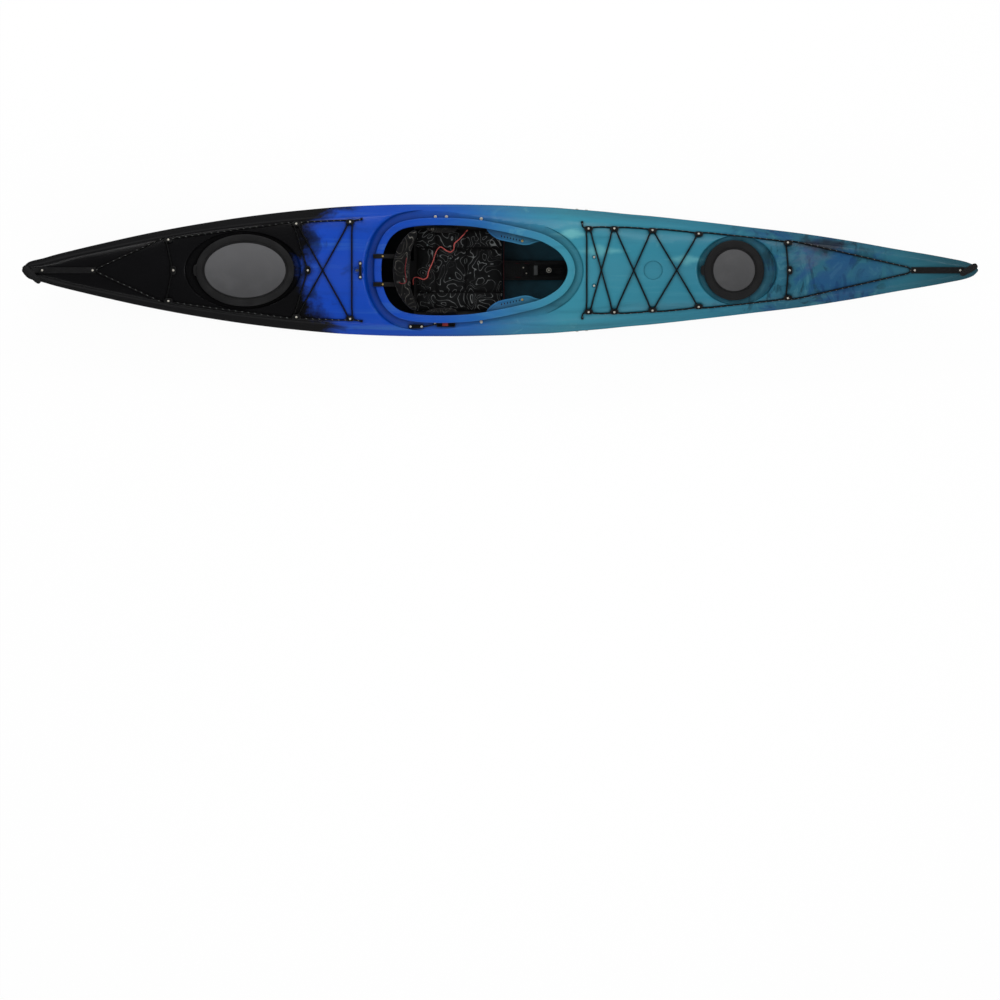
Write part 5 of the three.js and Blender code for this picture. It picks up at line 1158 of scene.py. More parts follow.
# The rim's and neck's section: how far out from the cockpit's outline, the
# surface that the height is measured from, and the height.
COAMING = [
    (0.0, "floor", -0.006),
    (0.0, "rim", -0.005),
    (0.0008, "rim", -0.002),
    (0.0028, "rim", -0.0004),
    (0.006, "rim", 0.0),
    (0.02, "rim", -0.001),
    (RIM_WIDTH - 0.005, "rim", -RIM_DROP + 0.0006),
    (RIM_WIDTH - 0.0018, "rim", -RIM_DROP - 0.0004),
    (RIM_WIDTH, "rim", -RIM_DROP - 0.0025),
    (RIM_WIDTH - 0.0008, "rim", -RIM_DROP - 0.0045),
    (RIM_WIDTH - 0.003, "rim", -RIM_DROP - RIM_THICKNESS),
    (NECK_WALL + 0.008, "rim", -0.0086),
    (NECK_WALL + 0.002, "rim", -0.0106),
    (NECK_WALL, "rim", -0.014),
    (NECK_WALL, "floor", 0.01),
    (NECK_WALL + 0.0018, "floor", 0.0042),
    (NECK_WALL + 0.007, "floor", 0.0002),
    (NECK_WALL + 0.004, "floor", -0.003),
]


def coaming_shape(egg):
    """The rolled rim and its neck, swept round the cockpit."""
    places, normals = egg
    rings = []
    for offset, kind, rise in COAMING:
        p = places + normals * offset
        level = rim_height(places[:, 0]) if kind == "rim" else sunk_height(places[:, 0])
        rings.append(np.column_stack([p, level + rise]))
    return outward(lofted("coaming", rings, closed_loop=True))


def hatch_lip(h):
    rx, ry = h["ring"]
    out = LID_SKIRT + LID_FIT
    inner = out + LIP_WALL
    profile = [
        (out, -0.004),
        (out, LIP_HEIGHT - 0.002),
        (out + 0.001, LIP_HEIGHT - 0.0004),
        (out + 0.0025, LIP_HEIGHT),
        (inner - 0.0025, LIP_HEIGHT),
        (inner - 0.001, LIP_HEIGHT - 0.0004),
        (inner, LIP_HEIGHT - 0.002),
        (inner, -0.004),
    ]
    lip = outward(ovals("lip", profile, rx, ry, 112, sharp=None, closed_loop=True))
    return placed(lip, hatch_matrix(h))


def build_lid(key):
    """A rubber ring with a pull tab, and the harder disc set into it."""
    h = HATCHES[key]
    rx, ry = h["ring"]
    dx, dy = h["disc"]
    top = LID_UNDER + LID_TOP
    width = rx - dx
    deep = min(rx, ry) - 0.02
    ring = ovals("ring", [
        (deep, LID_UNDER),
        (LID_SKIRT, LID_UNDER),
        (LID_SKIRT, 0.0035),
        (LID_SKIRT - 0.0012, 0.003),
        (0.0025, 0.003),
        (0.0006, 0.0038),
        (0.0, 0.006),
        (0.0, top - 0.0058),
        (0.0012, top - 0.0032),
        (0.0036, top - 0.0014),
        (0.0080, top - 0.0004),
        (width * 0.42, top + 0.0004),
        (width - 0.0125, top),
        (width - 0.0105, top - 0.0006),
        (width - 0.0092, top - 0.0022),
        (width - 0.0062, top - 0.0026),
        (width - 0.0048, top - 0.0010),
        (width - 0.0030, top - 0.0004),
        (width - 0.0006, top - 0.0014),
        (width + 0.0008, top - 0.0032),
        (deep, top - 0.0034),
    ], rx, ry, LID_SIDES, sharp=SOFT)
    reach, across = h["tab"]
    # The tab: wide where it leaves the ring, round at its end.
    root_x, root_y = -rx + 0.012, across / 2 * 1.5
    edge = [(root_x, root_y)]
    for a in np.linspace(math.pi / 2, 3 * math.pi / 2, 18):
        edge.append((-rx - (reach - 0.004) * abs(math.cos(a)) ** 0.8, across / 2 * math.sin(a)))
    edge.append((root_x, -root_y))
    tab = outward(lofted("tab", [[(x, y, z) for x, y in edge] for z in (top - 0.011, top - 0.0045)]))
    lid = placed(joined(f"{key}_lid_ring", [ring, rounded(tab, 0.0022, 3)]), hatch_matrix(h))
    disc = ovals(f"{key}_lid_disc", [
        (0.0002, top - 0.0034),
        (0.0, top + 0.0012),
        (0.0006, top + 0.0026),
        (0.0022, top + 0.0034),
        (0.008, top + 0.0038),
        (dy * 0.4, top + 0.0041),
        (dy * 0.7, top + 0.0043),
        (dy * 0.95, top + 0.0044),
    ], dx, dy, LID_SIDES)
    placed(disc, hatch_matrix(h))
    settle(lid, "ring", f"{key}_lid", f"{key}_hatch_lid", sharp=SOFT)
    settle(disc, "disc", f"{key}_lid", sharp=SOFT)


# Deck fittings and lines

CORD_RADIUS = 0.003
CORD_CLEAR = 0.0009
STEM_WIDTH = 0.009
STEM_LENGTH = 0.016
CAP_LENGTH = 0.04
CAP_WIDTH = 0.03
CAP_THICKNESS = 0.004
CAP_LOW = 2 * CORD_RADIUS + 2 * CORD_CLEAR
LANE = STEM_WIDTH / 2 + CORD_RADIUS + CORD_CLEAR
STERN_STRAP = (-2.131, -1.87, (-2.117, -1.884))
BOW_STRAP = (1.902, 2.142, (1.918, 2.128))
# Pairs on both sides, as shares: place of the half length, and of the ridge's
# half width there; the middle ones stand on the centreline.
PAIRS = {
    "stern": (-0.694, 0.872),
    "rear": (-0.4262, 0.91),
    "aft": (-0.3136, 0.863),
    "front_1": (0.185, 0.78),
    "front_2": (0.2385, 0.81),
    "front_3": (0.3186, 0.827),
    "front_4": (0.4154, 0.825),
    "bow": (0.6023, 0.807),
}
MIDDLES = {"stern": -0.684, "rear": -0.402, "bow": 0.606}


def fitting_places():
    """Name, x, y, side and turn of every deck fitting."""
    table = np.array(STATION_SHARES)
    places = {}
    for name, (along, across) in PAIRS.items():
        x = along * HALF_LENGTH
        ridge = np.interp(along, table[:, 0], table[:, 1] - table[:, 4]) * HALF_BEAM
        for side, end in ((1, "port"), (-1, "starboard")):
            places[f"{name}_{end}"] = (x, side * across * ridge, side, 0.0)
    for name, along in MIDDLES.items():
        places[f"{name}_middle"] = (along * HALF_LENGTH, 0.0, 0, math.pi / 2)
    return places


FITTINGS = fitting_places()


def on_crown(x, y, lift=0.0):
    return on_deck(x, y, CORD_RADIUS + CORD_CLEAR + lift)


def through(name, out, heading):
    """Three points beside a fitting's stem: grab lines pass outside it along
    the whole cap, stretch cords turn round it."""
    x, y, side, _ = FITTINGS[name]
    reach = CAP_LENGTH / 2 + CORD_RADIUS if out > 0 else STEM_LENGTH / 2
    return [on_crown(x + heading * along, y + side * out * LANE) for along in (-reach, 0, reach)]


def dip(distance, width):
    return math.exp(-((distance / width) ** 2))


CROSSING_LIFT = 2 * CORD_RADIUS + CORD_CLEAR
CROSSING_REACH = 0.042


def between(a, b, count, lift=0.0):
    points = [a.lerp(b, (k + 1) / count) for k in range(count - 1)]
    return [on_crown(p.x, p.y, lift * dip(p.y, CROSSING_REACH)) for p in points]


def run_through(runs, counts, lifts=()):
    points = []
    for k, run in enumerate(runs):
        points += run
        if k < len(runs) - 1:
            points += between(run[-1], runs[k + 1][0], counts[k], lifts[k] if k < len(lifts) else 0.0)
    return points


def tail(name, heading):
    """The knotted end past the last fitting: straight on at the rear ones, and
    turned outboard at the front ones."""
    x, y, side, _ = FITTINGS[name]
    if heading > 0:
        return [on_crown(x + CAP_LENGTH / 2 + 0.034, y + side * (LANE + CORD_RADIUS * 2))]
    past = x - CAP_LENGTH / 2 - CORD_RADIUS * 2
    turn = [on_crown(past - CORD_RADIUS, y + side * (LANE + reach)) for reach in (0.024, 0.012)]
    return turn if side > 0 else turn[::-1]


def apex_turn(x, heading):
    """The five points where a line turns round the end of a handle's strap."""
    bend = ((0.014, 0.014), (CORD_RADIUS, 0.007), (0, 0), (CORD_RADIUS, -0.007), (0.014, -0.014))
    return [on_crown(x - heading * back, y) for back, y in bend]


def grab_line(names, heading, turn_x, counts):
    """Along the port fittings, round the strap and back along starboard."""
    port = [through(f"{name}_port", 1, heading) for name in names]
    starboard = [through(f"{name}_starboard", 1, -heading) for name in names[::-1]]
    ends = [tail(f"{names[0]}_{side}", -heading) for side in ("port", "starboard")]
    runs = [ends[0], *port, apex_turn(turn_x, heading), *starboard, ends[1]]
    return run_through(runs, counts + counts[::-1])


def deck_cord_routes():
    gap = CORD_RADIUS + 0.0006
    hook = CAP_LENGTH / 2 + CORD_RADIUS
    rear_x = FITTINGS["rear_middle"][0] - LANE
    front_names = ["front_1", "front_2", "front_3", "front_4", "bow"]
    zigzag = [
        ("front_4_port", -1), ("front_3_starboard", -1), ("front_2_port", -1), ("front_1_starboard", -1),
        ("front_1_port", 1), ("front_2_starboard", 1), ("front_3_port", 1), ("front_4_starboard", 1),
    ]
    routes = {
        "rear_grab_line": grab_line(["aft", "rear", "stern"], -1, STERN_STRAP[1] + gap, [1, 8, 16, 9]),
        "front_grab_line": grab_line(front_names, 1, BOW_STRAP[0] - gap, [1, 3, 5, 6, 12, 14]),
        "front_stretch_cord": run_through(
            [through(name, -1, heading) for name, heading in zigzag], [9] * 7, [0] * 4 + [CROSSING_LIFT] * 3
        ),
        "rear_stretch_cord": run_through([
            [on_crown(rear_x, 0.0009), on_crown(rear_x, hook)],
            through("rear_port", -1, 1),
            through("aft_starboard", -1, 1),
            through("aft_port", -1, -1),
            through("rear_starboard", -1, -1),
            [on_crown(rear_x, -hook), on_crown(rear_x, -0.0009)],
        ], [5, 10, 10, 10, 5], [0, 0, 0, CROSSING_LIFT, 0]),
    }
    for end in ("stern", "bow"):
        x = FITTINGS[f"{end}_middle"][0] - LANE
        routes[f"{end}_stretch_cord"] = run_through([
            through(f"{end}_port", -1, -1)[1:],
            [on_crown(x, hook), on_crown(x, 0), on_crown(x, -hook)],
            through(f"{end}_starboard", -1, 1)[:2],
        ], [4, 4])
    return routes


def build_deck_cords():
    for name, points in deck_cord_routes().items():
        line = "line" if "grab" in name else "stretch"
        path = curve_points(points, 0.007)
        settle(tube(f"{name}_braid", path, CORD_RADIUS, 10), line, "boat", name, sharp=CORD_SHARP)
        if line == "line":
            knots = [knot(path[k], path[k] - path[j]) for k, j in ((0, 2), (-1, -3))]
            settle(joined(f"{name}_knots", knots), line, "boat", sharp=CORD_SHARP)


def knot(place, heading):
    """A small overhand knot: three turns pulled tight round the cord's end."""
    turns = []
    for k in range(40):
        a = 2 * math.pi * k / 40
        turns.append((
            0.0034 * math.cos(a) + 0.0012 * math.cos(2 * a),
            0.0034 * math.sin(a) - 0.0012 * math.sin(2 * a),
            0.0022 * math.sin(3 * a),
        ))
    shape = tube("knot", turns + turns[:1], CORD_RADIUS * 0.8, 10)
    turn = Vector(heading).to_track_quat("Z", "Y").to_matrix().to_4x4()
    return placed(shape, Matrix.Translation(Vector(place) + Vector((0, 0, 0.0012))) @ turn)


def instance_tree(name):
    """Geometry Nodes: one shape on every point, turned by the points'
    own angles."""
    tree = bpy.data.node_groups.new(name, "GeometryNodeTree")
    face = tree.interface
    face.new_socket("Geometry", in_out="INPUT", socket_type="NodeSocketGeometry")
    shape = face.new_socket("Shape", in_out="INPUT", socket_type="NodeSocketObject")
    material = face.new_socket("Material", in_out="INPUT", socket_type="NodeSocketMaterial")
    face.new_socket("Geometry", in_out="OUTPUT", socket_type="NodeSocketGeometry")
    start, end, info, angle, to_turn, put, real, paint = (tree.nodes.new(kind) for kind in (
        "NodeGroupInput", "NodeGroupOutput", "GeometryNodeObjectInfo", "GeometryNodeInputNamedAttribute",
        "FunctionNodeEulerToRotation", "GeometryNodeInstanceOnPoints", "GeometryNodeRealizeInstances",
        "GeometryNodeSetMaterial",
    ))
    angle.data_type = "FLOAT_VECTOR"
    angle.inputs["Name"].default_value = "turn"
    for source, output, target, socket in (
        (start, "Shape", info, "Object"),
        (start, "Geometry", put, "Points"),
        (info, "Geometry", put, "Instance"),
        (angle, "Attribute", to_turn, 0),
        (to_turn, 0, put, "Rotation"),
        (put, 0, real, 0),
        (real, 0, paint, "Geometry"),
        (start, "Material", paint, "Material"),
        (paint, 0, end, 0),
    ):
        tree.links.new(source.outputs[output], target.inputs[socket])
    return tree, shape.identifier, material.identifier


def repeated(name, shape, matrices, surface):
    """One mesh of the shape at every matrix, by Geometry Nodes."""
    cloud = bpy.data.meshes.new(name)
    cloud.from_pydata([tuple(m.translation) for m in matrices], [], [])
    turns = cloud.attributes.new("turn", "FLOAT_VECTOR", "POINT")
    for k, m in enumerate(matrices):
        turns.data[k].vector = m.to_euler("XYZ")
    thing = bpy.data.objects.new(name, cloud)
    bpy.context.scene.collection.objects.link(thing)
    tree, shape_socket, material_socket = instance_tree(f"{name}_rule")
    rule = thing.modifiers.new("rule", "NODES")
    rule.node_group = tree
    rule[shape_socket] = shape
    rule[material_socket] = finish(surface)
    baked(thing)
    drop(shape)
    bpy.data.node_groups.remove(tree)
    return thing


def screw_shape(radius, height):
    """A dished round head with a cross recess."""
    head = lathe("head", [
        (radius, -0.002),
        (radius, height * 0.35),
        (radius * 0.93, height * 0.62),
        (radius * 0.7, height * 0.88),
        (radius * 0.35, height),
        (radius * 0.08, height * 1.02),
    ], 18, sharp=60)
    slots = []
    for turn in (0, math.pi / 2):
        bar = slab("bar", (-radius * 0.58, -radius * 0.11, height * 0.45), (radius * 0.58, radius * 0.11, height * 2))
        slots.append(placed(bar, Matrix.Rotation(turn, 4, "Z")))
    cut(head, slots)
    finish_mesh(head, True, CRISP)
    return head


def add_screws(name, places, radius=0.005, height=0.0026, surface="steel", body="boat"):
    """One piece of equal screw heads, one at every place."""
    settle(repeated(name, screw_shape(radius, height), places, surface), surface, body, sharp=CRISP)


def fitting_shape():
    """A deck fitting: a waisted stem under an oval, dished cap with two ears."""
    stem = lofted("stem", [
        [
            (0.008 * r * math.cos(a), 0.0045 * r * math.sin(a), z)
            for a in np.linspace(0, 2 * math.pi, 24, endpoint=False)
        ]
        for r, z in ((1.25, -0.006), (1.2, 0.0004), (1.0, 0.0018), (0.98, 0.0055), (1.15, 0.0082))
    ])
    rings = []
    for inset, z in (
        (0.004, CAP_LOW),
        (0.0006, CAP_LOW + 0.0002),
        (0.0, CAP_LOW + 0.0012),
        (0.0005, CAP_LOW + 0.0026),
        (0.0022, CAP_LOW + CAP_THICKNESS),
        (0.0065, CAP_LOW + CAP_THICKNESS + 0.0004),
        (0.0085, CAP_LOW + CAP_THICKNESS - 0.0006),
    ):
        ring = []
        for a in np.linspace(0, 2 * math.pi, 40, endpoint=False):
            c, s = math.cos(a), math.sin(a)
            waist = 1 - 0.16 * dip(c, 0.35) + 0.05 * dip(abs(c) - 0.8, 0.2)
            ring.append(((CAP_LENGTH / 2 - inset) * c, (CAP_WIDTH / 2 - inset) * s * waist, z))
        rings.append(ring)
    cap = lofted("cap", rings)
    shape = joined("fitting", [stem, cap])
    finish_mesh(shape, True, 40)
    return shape


def build_fittings():
    frames = [deck_frame(x, y, turn) for x, y, _, turn in FITTINGS.values()]
    fittings = repeated("deck_fittings", fitting_shape(), frames, "fitting")
    names = []
    for name in FITTINGS:
        end = name.rsplit("_", 1)
        names.append(f"deck_hook_{end[0]}" if end[1] == "middle" else f"deck_fitting_{name}")
    settle(fittings, "fitting", "boat", *names)
    rise = CAP_LOW + CAP_THICKNESS - 0.0006
    screws = [f @ Matrix.Translation((0, 0, rise)) @ Matrix.Rotation(0.4 + k, 4, "Z") for k, f in enumerate(frames)]
    # The pad-eye's, the handle straps' and the foredeck's screws.
    pad = deck_frame(PAD_EYE_X, 0.0)
    for side in (1, -1):
        screws.append(pad @ Matrix.Translation((0, side * PAD_EYE_FOOT, 0.005)))
    for _, _, places in (STERN_STRAP, BOW_STRAP):
        for x in places:
            screws.append(deck_frame(x, 0.0, 0.7, 0.0034))
    for x, y in FOREDECK_SCREWS:
        screws.append(deck_frame(x, y, 0.3, -0.0024))
    add_screws("deck_screws", screws)


# Handles and pad-eye


def grip_shape(length, radius, height, seed):
    """A padded sleeve: a spindle with soft ends and a few folds."""
    rings = []
    count, sides = 44, 40
    for k in range(count):
        t = (k + 0.5) / count
        round_end = (1 - abs(2 * t - 1) ** 5.5) ** 0.5
        taper = 1 - 0.14 * (1 - t)
        along = (t - 0.5) * length
        ring = []
        for j in range(sides):
            a = 2 * math.pi * j / sides
            fold = 1 + 0.016 * math.sin(along * 210 + 2 * math.sin(a + seed)) * math.sin(math.pi * t)
            r = round_end * taper * fold
            ring.append((radius * r * math.cos(a), along, height / 2 * r * math.sin(a)))
        rings.append(ring)
    return outward(lofted("sleeve", rings))


def build_handle(end, strap_sizes, x, y, length, yaw, root):
    low, high, _ = strap_sizes
    count = int((high - low) / 0.008)
    path = [(v, 0, float(deck_height(v, 0)) + 0.0003) for v in np.linspace(low, high, count)]
    flat = strap(f"{end}_handle_webbing", path, (0, 1, 0), 0.028, 0.003)
    settle(flat, "webbing", "boat", f"{end}_handle_strap")
    rise = 0.003 + 0.0025 + 0.019
    base = max(float(deck_height(x, 0)), float(deck_height(root, 0)))
    lie = Matrix.Translation((x, y, base + rise)) @ Matrix.Rotation(yaw, 4, "Z")
    sleeve = placed(grip_shape(length, 0.016, 0.038, 1.0 if end == "bow" else 2.4), lie)
    toward = 1 if x > root else -1
    start = root + toward * 0.0012
    foot = float(deck_height(root, 0)) + 0.0006
    tab_path = curve_points([
        (start, 0, foot),
        (start + (x - start) * 0.45, 0, foot + 0.002),
        (x - toward * 0.01, 0, base + rise - 0.012),
        (x + toward * 0.002, 0, base + rise - 0.004),
    ], 0.003)
    tab = strap("tab", tab_path, (0, toward, 0), 0.022, 0.0026)
    grip = joined(f"{end}_grip_sleeve", [sleeve, tab])
    settle(grip, "grip", f"{end}_grip", f"{end}_handle_grip", sharp=SOFT)


def build_pad_eye():
    half = [
        (-0.04, 0.0002), (-0.033, 0.0002), (-0.026, 0.0008), (-0.0212, 0.0048), (-0.0165, 0.0088), (-0.009, 0.0101)
    ]
    path = curve_points(
        [(0, y, z) for y, z in half] + [(0, 0, 0.0103)] + [(0, -y, z) for y, z in half[::-1]], 0.0016
    )
    bridge = strap("bridge", path, (1, 0, 0), 0.012, 0.0048, flip=-1)
    feet = []
    for side in (1, -1):
        foot = ovals("foot", [(0.0006, -0.002), (0.0, 0.0), (0.0, 0.0032), (0.0012, 0.005), (0.004, 0.0052)],
                     0.0078, 0.0098, 32)
        feet.append(placed(foot, Matrix.Translation((0, side * PAD_EYE_FOOT, 0))))
    eye = joined("pad_eye_bridge", [bridge, *feet])
    placed(eye, deck_frame(PAD_EYE_X, 0.0))
    settle(eye, "fitting", "boat", "rear_pad_eye")


# Skeg and its control on the sunk floor

LINE_RADIUS = 0.0025
CLEAT = dict(rear=-0.292, front=-0.208, y=-0.249, width=0.025)
FAIRLEAD = dict(x=-0.388, y=-0.26, length=0.068, width=0.018, height=0.009)
SKEG_PIVOT = (-1.69, 0.097648)


def floor_bar(name, x0, x1, y, width, low, high, edge=0.0012):
    """A bar that follows the sunk floor."""
    rings = []
    for x in np.linspace(x0, x1, max(3, int((x1 - x0) / 0.006))):
        z = float(sunk_height(x))
        rings.append([
            (x, y - width / 2, z + low),
            (x, y + width / 2, z + low),
            (x, y + width / 2, z + high),
            (x, y - width / 2, z + high),
        ])
    bar = outward(lofted(name, rings))
    return rounded(bar, edge, 3, 50)


def floor_place(x, y, rise=0.0):
    return Matrix.Translation((x, y, float(sunk_height(x)) + rise)) @ Matrix.Rotation(
        -math.atan((float(sunk_height(x + 0.01)) - float(sunk_height(x - 0.01))) / 0.02), 4, "Y"
    )


def build_skeg_control():
    rear, front, y, width = (CLEAT[k] for k in ("rear", "front", "y", "width"))
    fence = (width - 0.004) / 2
    parts = [floor_bar("base", rear, front, y, width, REST_GAP, 0.0043)]
    for side in (1, -1):
        parts.append(floor_bar("fence", rear, front, y + side * fence, 0.004, REST_GAP, 0.0123))
    parts.append(floor_bar("end", rear, rear + 0.003, y, width, REST_GAP, 0.0123, 0.0008))
    ear = ovals("ear", [(0.0004, -0.001), (0.0, 0.0004), (0.0, 0.0036), (0.001, 0.0046), (0.003, 0.0048)],
                0.0085, 0.0075, 28)
    parts.append(placed(ear, floor_place(rear - 0.008, y + 0.004)))
    for x in np.linspace(rear + 0.008, front - 0.006, 7):
        parts.append(floor_bar("notch", x - 0.0009, x + 0.0009, y, width - 0.01, 0.004, 0.0052, 0.0003))
    cleat = joined("skeg_cleat_track", parts)
    settle(cleat, "fitting", "boat", "skeg_cleat")
    half = width / 2 - 0.0043
    knob = [floor_bar("knob", -0.2665, -0.2395, y, half * 2, 0.0046, 0.0126, 0.0014)]
    for x in (-0.262, -0.2575, -0.253, -0.2485, -0.244):
        knob.append(floor_bar("ridge", x - 0.0008, x + 0.0008, y, half * 1.7, 0.0118, 0.0135, 0.0005))
    slider = joined("skeg_slider_knob", knob)
    settle(slider, "red", "slider", "skeg_slider")
    f = FAIRLEAD
    rear_end, front_end = f["x"] - f["length"] / 2, f["x"] + f["length"] / 2
    body = floor_bar("skeg_line_fairlead", rear_end, front_end, f["y"], f["width"], REST_GAP, f["height"], 0.0026)
    groove = floor_bar(
        "groove", f["x"] - 0.017 - 0.003, f["x"] + f["length"], f["y"], 0.0062, -0.002, 0.0065, 0.0002
    )
    cut(body, [groove])
    settle(body, "fitting", "boat", "skeg_fairlead")
    small_screws = [
        floor_place(rear - 0.008, y + 0.004, 0.0042),
        floor_place(-0.4135, f["y"], f["height"] - 0.0006),
        floor_place(-0.3625, f["y"], f["height"] - 0.0006),
    ]
    add_screws("control_screws", small_screws, 0.0052)
    # Heads in the sunk floor beside the cockpit.
    floor_screws = ((-0.2986, 0.247), (-0.2473, 0.247), (-0.0865, 0.238), (-0.0865, -0.238))
    add_screws("floor_screws", [floor_place(x, y, 0.0002) for x, y in floor_screws], 0.0072, 0.0034)


def skeg_line_route():
    def floor(x, y, rise):
        return (x, y, float(sunk_height(x)) + rise)

    rest = REST_GAP + LINE_RADIUS + 0.0006
    drop_x = FAIRLEAD["x"] - FAIRLEAD["length"] / 4
    y = FAIRLEAD["y"]
    px, pz = SKEG_PIVOT
    gland = (px - 0.1275, 0, pz + 0.1 + 0.015 + 0.004 + REST_GAP)
    return [
        floor(CLEAT["rear"] - REST_GAP, CLEAT["y"], 0.0083),
        floor(-0.318, -0.254, rest * 2),
        floor(-0.346, y, rest),
        floor(-0.37, y, rest),
        floor(-0.396, y, rest),
        floor(drop_x + 0.0003, y, 0.0003),
        floor(drop_x, y, -0.006),
        floor(drop_x, y, -0.011),
        (-0.412, -0.256, 0.208),
        (-0.45, -0.246, 0.201),
        (-0.54, -0.234, 0.2),
        (-0.64, -0.225, 0.2),
        (-0.668, -0.225, 0.2),
        (-0.696, -0.225, 0.2),
        (-0.925, -0.215, 0.206),
        (-1.156, -0.197, 0.214),
        (-1.387, -0.152, 0.222),
        (-1.56, -0.097, 0.228),
        (-1.7, -0.042, 0.234),
        (-1.78, -0.01, 0.236),
        (-1.806, -0.001, 0.234),
        (gland[0], 0, 0.228),
        gland,
    ]


def build_skeg():
    line = tube("skeg_line_braid", curve_points(skeg_line_route(), 0.006), LINE_RADIUS, 8)
    settle(line, "skeg_line", "boat", "skeg_line", sharp=CORD_SHARP)
    px, pz = SKEG_PIVOT
    keel = float(hull(-1.945)["keel"] - hull(px)["keel"])
    outline = [
        (0.02, -0.02), (0.02, 0.02), (-0.04, 0.07), (-0.14, 0.0997), (-0.232, 0.0997),
        (-0.255, 0.054), (-0.232, keel - 0.0135), (-0.102, keel * 0.4 - 0.0189),
    ]
    ring = []
    for k, (x, z) in enumerate(outline):
        nx, nz = outline[(k + 1) % len(outline)]
        for share in np.linspace(0.06, 0.94, 9):
            ring.append(Vector((px + x + (nx - x) * share, 0, pz + z + (nz - z) * share)))
    # The blade's corners are softened twice.
    for _ in range(2):
        ring = [(ring[k - 1] + ring[k] * 2 + ring[(k + 1) % len(ring)]) / 4 for k in range(len(ring))]
    middle = sum(ring, Vector()) / len(ring)
    edge = ((0.8, -0.003), (0.93, -0.0027), (0.99, -0.0012), (1.0, 0), (0.99, 0.0012), (0.93, 0.0027), (0.8, 0.003))
    blade = outward(lofted("blade", [
        [middle + (p - middle) * share + Vector((0, y, 0)) for p in ring] for share, y in edge
    ]))
    pin = lathe("pin", [(0.0036, -0.0097), (0.004, -0.0093), (0.004, 0.0093), (0.0036, 0.0097)], 24)
    placed(pin, Matrix.Translation((px, 0, pz)) @ Matrix.Rotation(math.pi / 2, 4, "X"))
    skeg = joined("skeg_foil", [blade, pin])
    settle(skeg, "satin", "skeg", "skeg_blade")


# Seat

TRACK_TOP = 0.048
PAN_LOW = TRACK_TOP + REST_GAP
PAN_THICKNESS = 0.005
PAN_FLAT_HALF = 0.11
PAN_HALF = 0.206
PAN_WING_RISE = 0.026
CUSHION = dict(rear=-0.396, front=0.022, half=0.196)
CUSHION_BASE = PAN_LOW + PAN_THICKNESS + REST_GAP
CUSHION_PULL = 0.004
CROSS_SEAMS = [CUSHION["rear"] + s * (CUSHION["front"] - CUSHION["rear"]) for s in (0.239, 0.572)]
LONG_SEAMS = [-0.526 * CUSHION["half"], 0.526 * CUSHION["half"]]
TUFTS = [
    (CUSHION["rear"] + a * (CUSHION["front"] - CUSHION["rear"]), b * CUSHION["half"])
    for a, b in ((0.146, 0.602), (0.4, 0.281), (0.392, -0.189), (0.139, -0.531))
]


def wing_rise(y):
    return PAN_WING_RISE / (PAN_HALF - PAN_FLAT_HALF) * np.maximum(0, np.abs(y) - PAN_FLAT_HALF)


def gauss(distance, width):
    return np.exp(-((distance / width) ** 2))


def cushion_form(s):
    """The stuffed blank: a crowned, closed form on the pan."""
    nx, ny = 72, 64
    # Rows crowd towards the edges.
    u, v = (np.sin(np.linspace(-1, 1, n) * math.pi / 2 * 0.94) / math.sin(math.pi / 2 * 0.94) for n in (nx, ny))
    uu, vv = np.meshgrid(u, v, indexing="ij")
    pull = CUSHION_PULL
    middle = (CUSHION["rear"] + CUSHION["front"]) / 2
    half_x = (CUSHION["front"] - CUSHION["rear"]) / 2
    x = middle + uu * (half_x - 0.002 - pull * (1 - vv**2))
    y = vv * (CUSHION["half"] - 0.002 - pull * (1 - uu**2))
    height = (s.cushion_height + s.cushion_crown * (1 - uu**4) * (1 - vv**4)) * (
        (1 - np.abs(uu) ** 9) ** 0.4 * (1 - np.abs(vv) ** 9) ** 0.4 * 0.72 + 0.28
    )
    base = CUSHION_BASE + wing_rise(y)
    top = np.column_stack([x.ravel(), y.ravel(), (base + height).ravel()])
    under = np.column_stack([x.ravel(), y.ravel(), base.ravel()])
    faces = []
    for i in range(nx - 1):
        for j in range(ny - 1):
            a, b = i * ny + j, (i + 1) * ny + j
            faces.append((a, b, b + 1, a + 1))
            faces.append((a + nx * ny, a + 1 + nx * ny, b + 1 + nx * ny, b + nx * ny))
    edge = [i * ny for i in range(nx)] + [(nx - 1) * ny + j for j in range(1, ny)]
    edge += [i * ny + ny - 1 for i in range(nx - 2, -1, -1)] + list(range(ny - 2, 0, -1))
    for k, a in enumerate(edge):
        b = edge[(k + 1) % len(edge)]
        faces.append((a, b, b + nx * ny, a + nx * ny))
    return outward(piece_from("cushion", np.vstack([top, under]), faces))


def points_of(thing):
    flat = np.empty(len(thing.data.vertices) * 3)
    thing.data.vertices.foreach_get("co", flat)
    return flat.reshape(-1, 3)


def set_points(thing, places):
    thing.data.vertices.foreach_set("co", places.ravel())
    thing.data.update()


CLOTH_FRAMES = 20


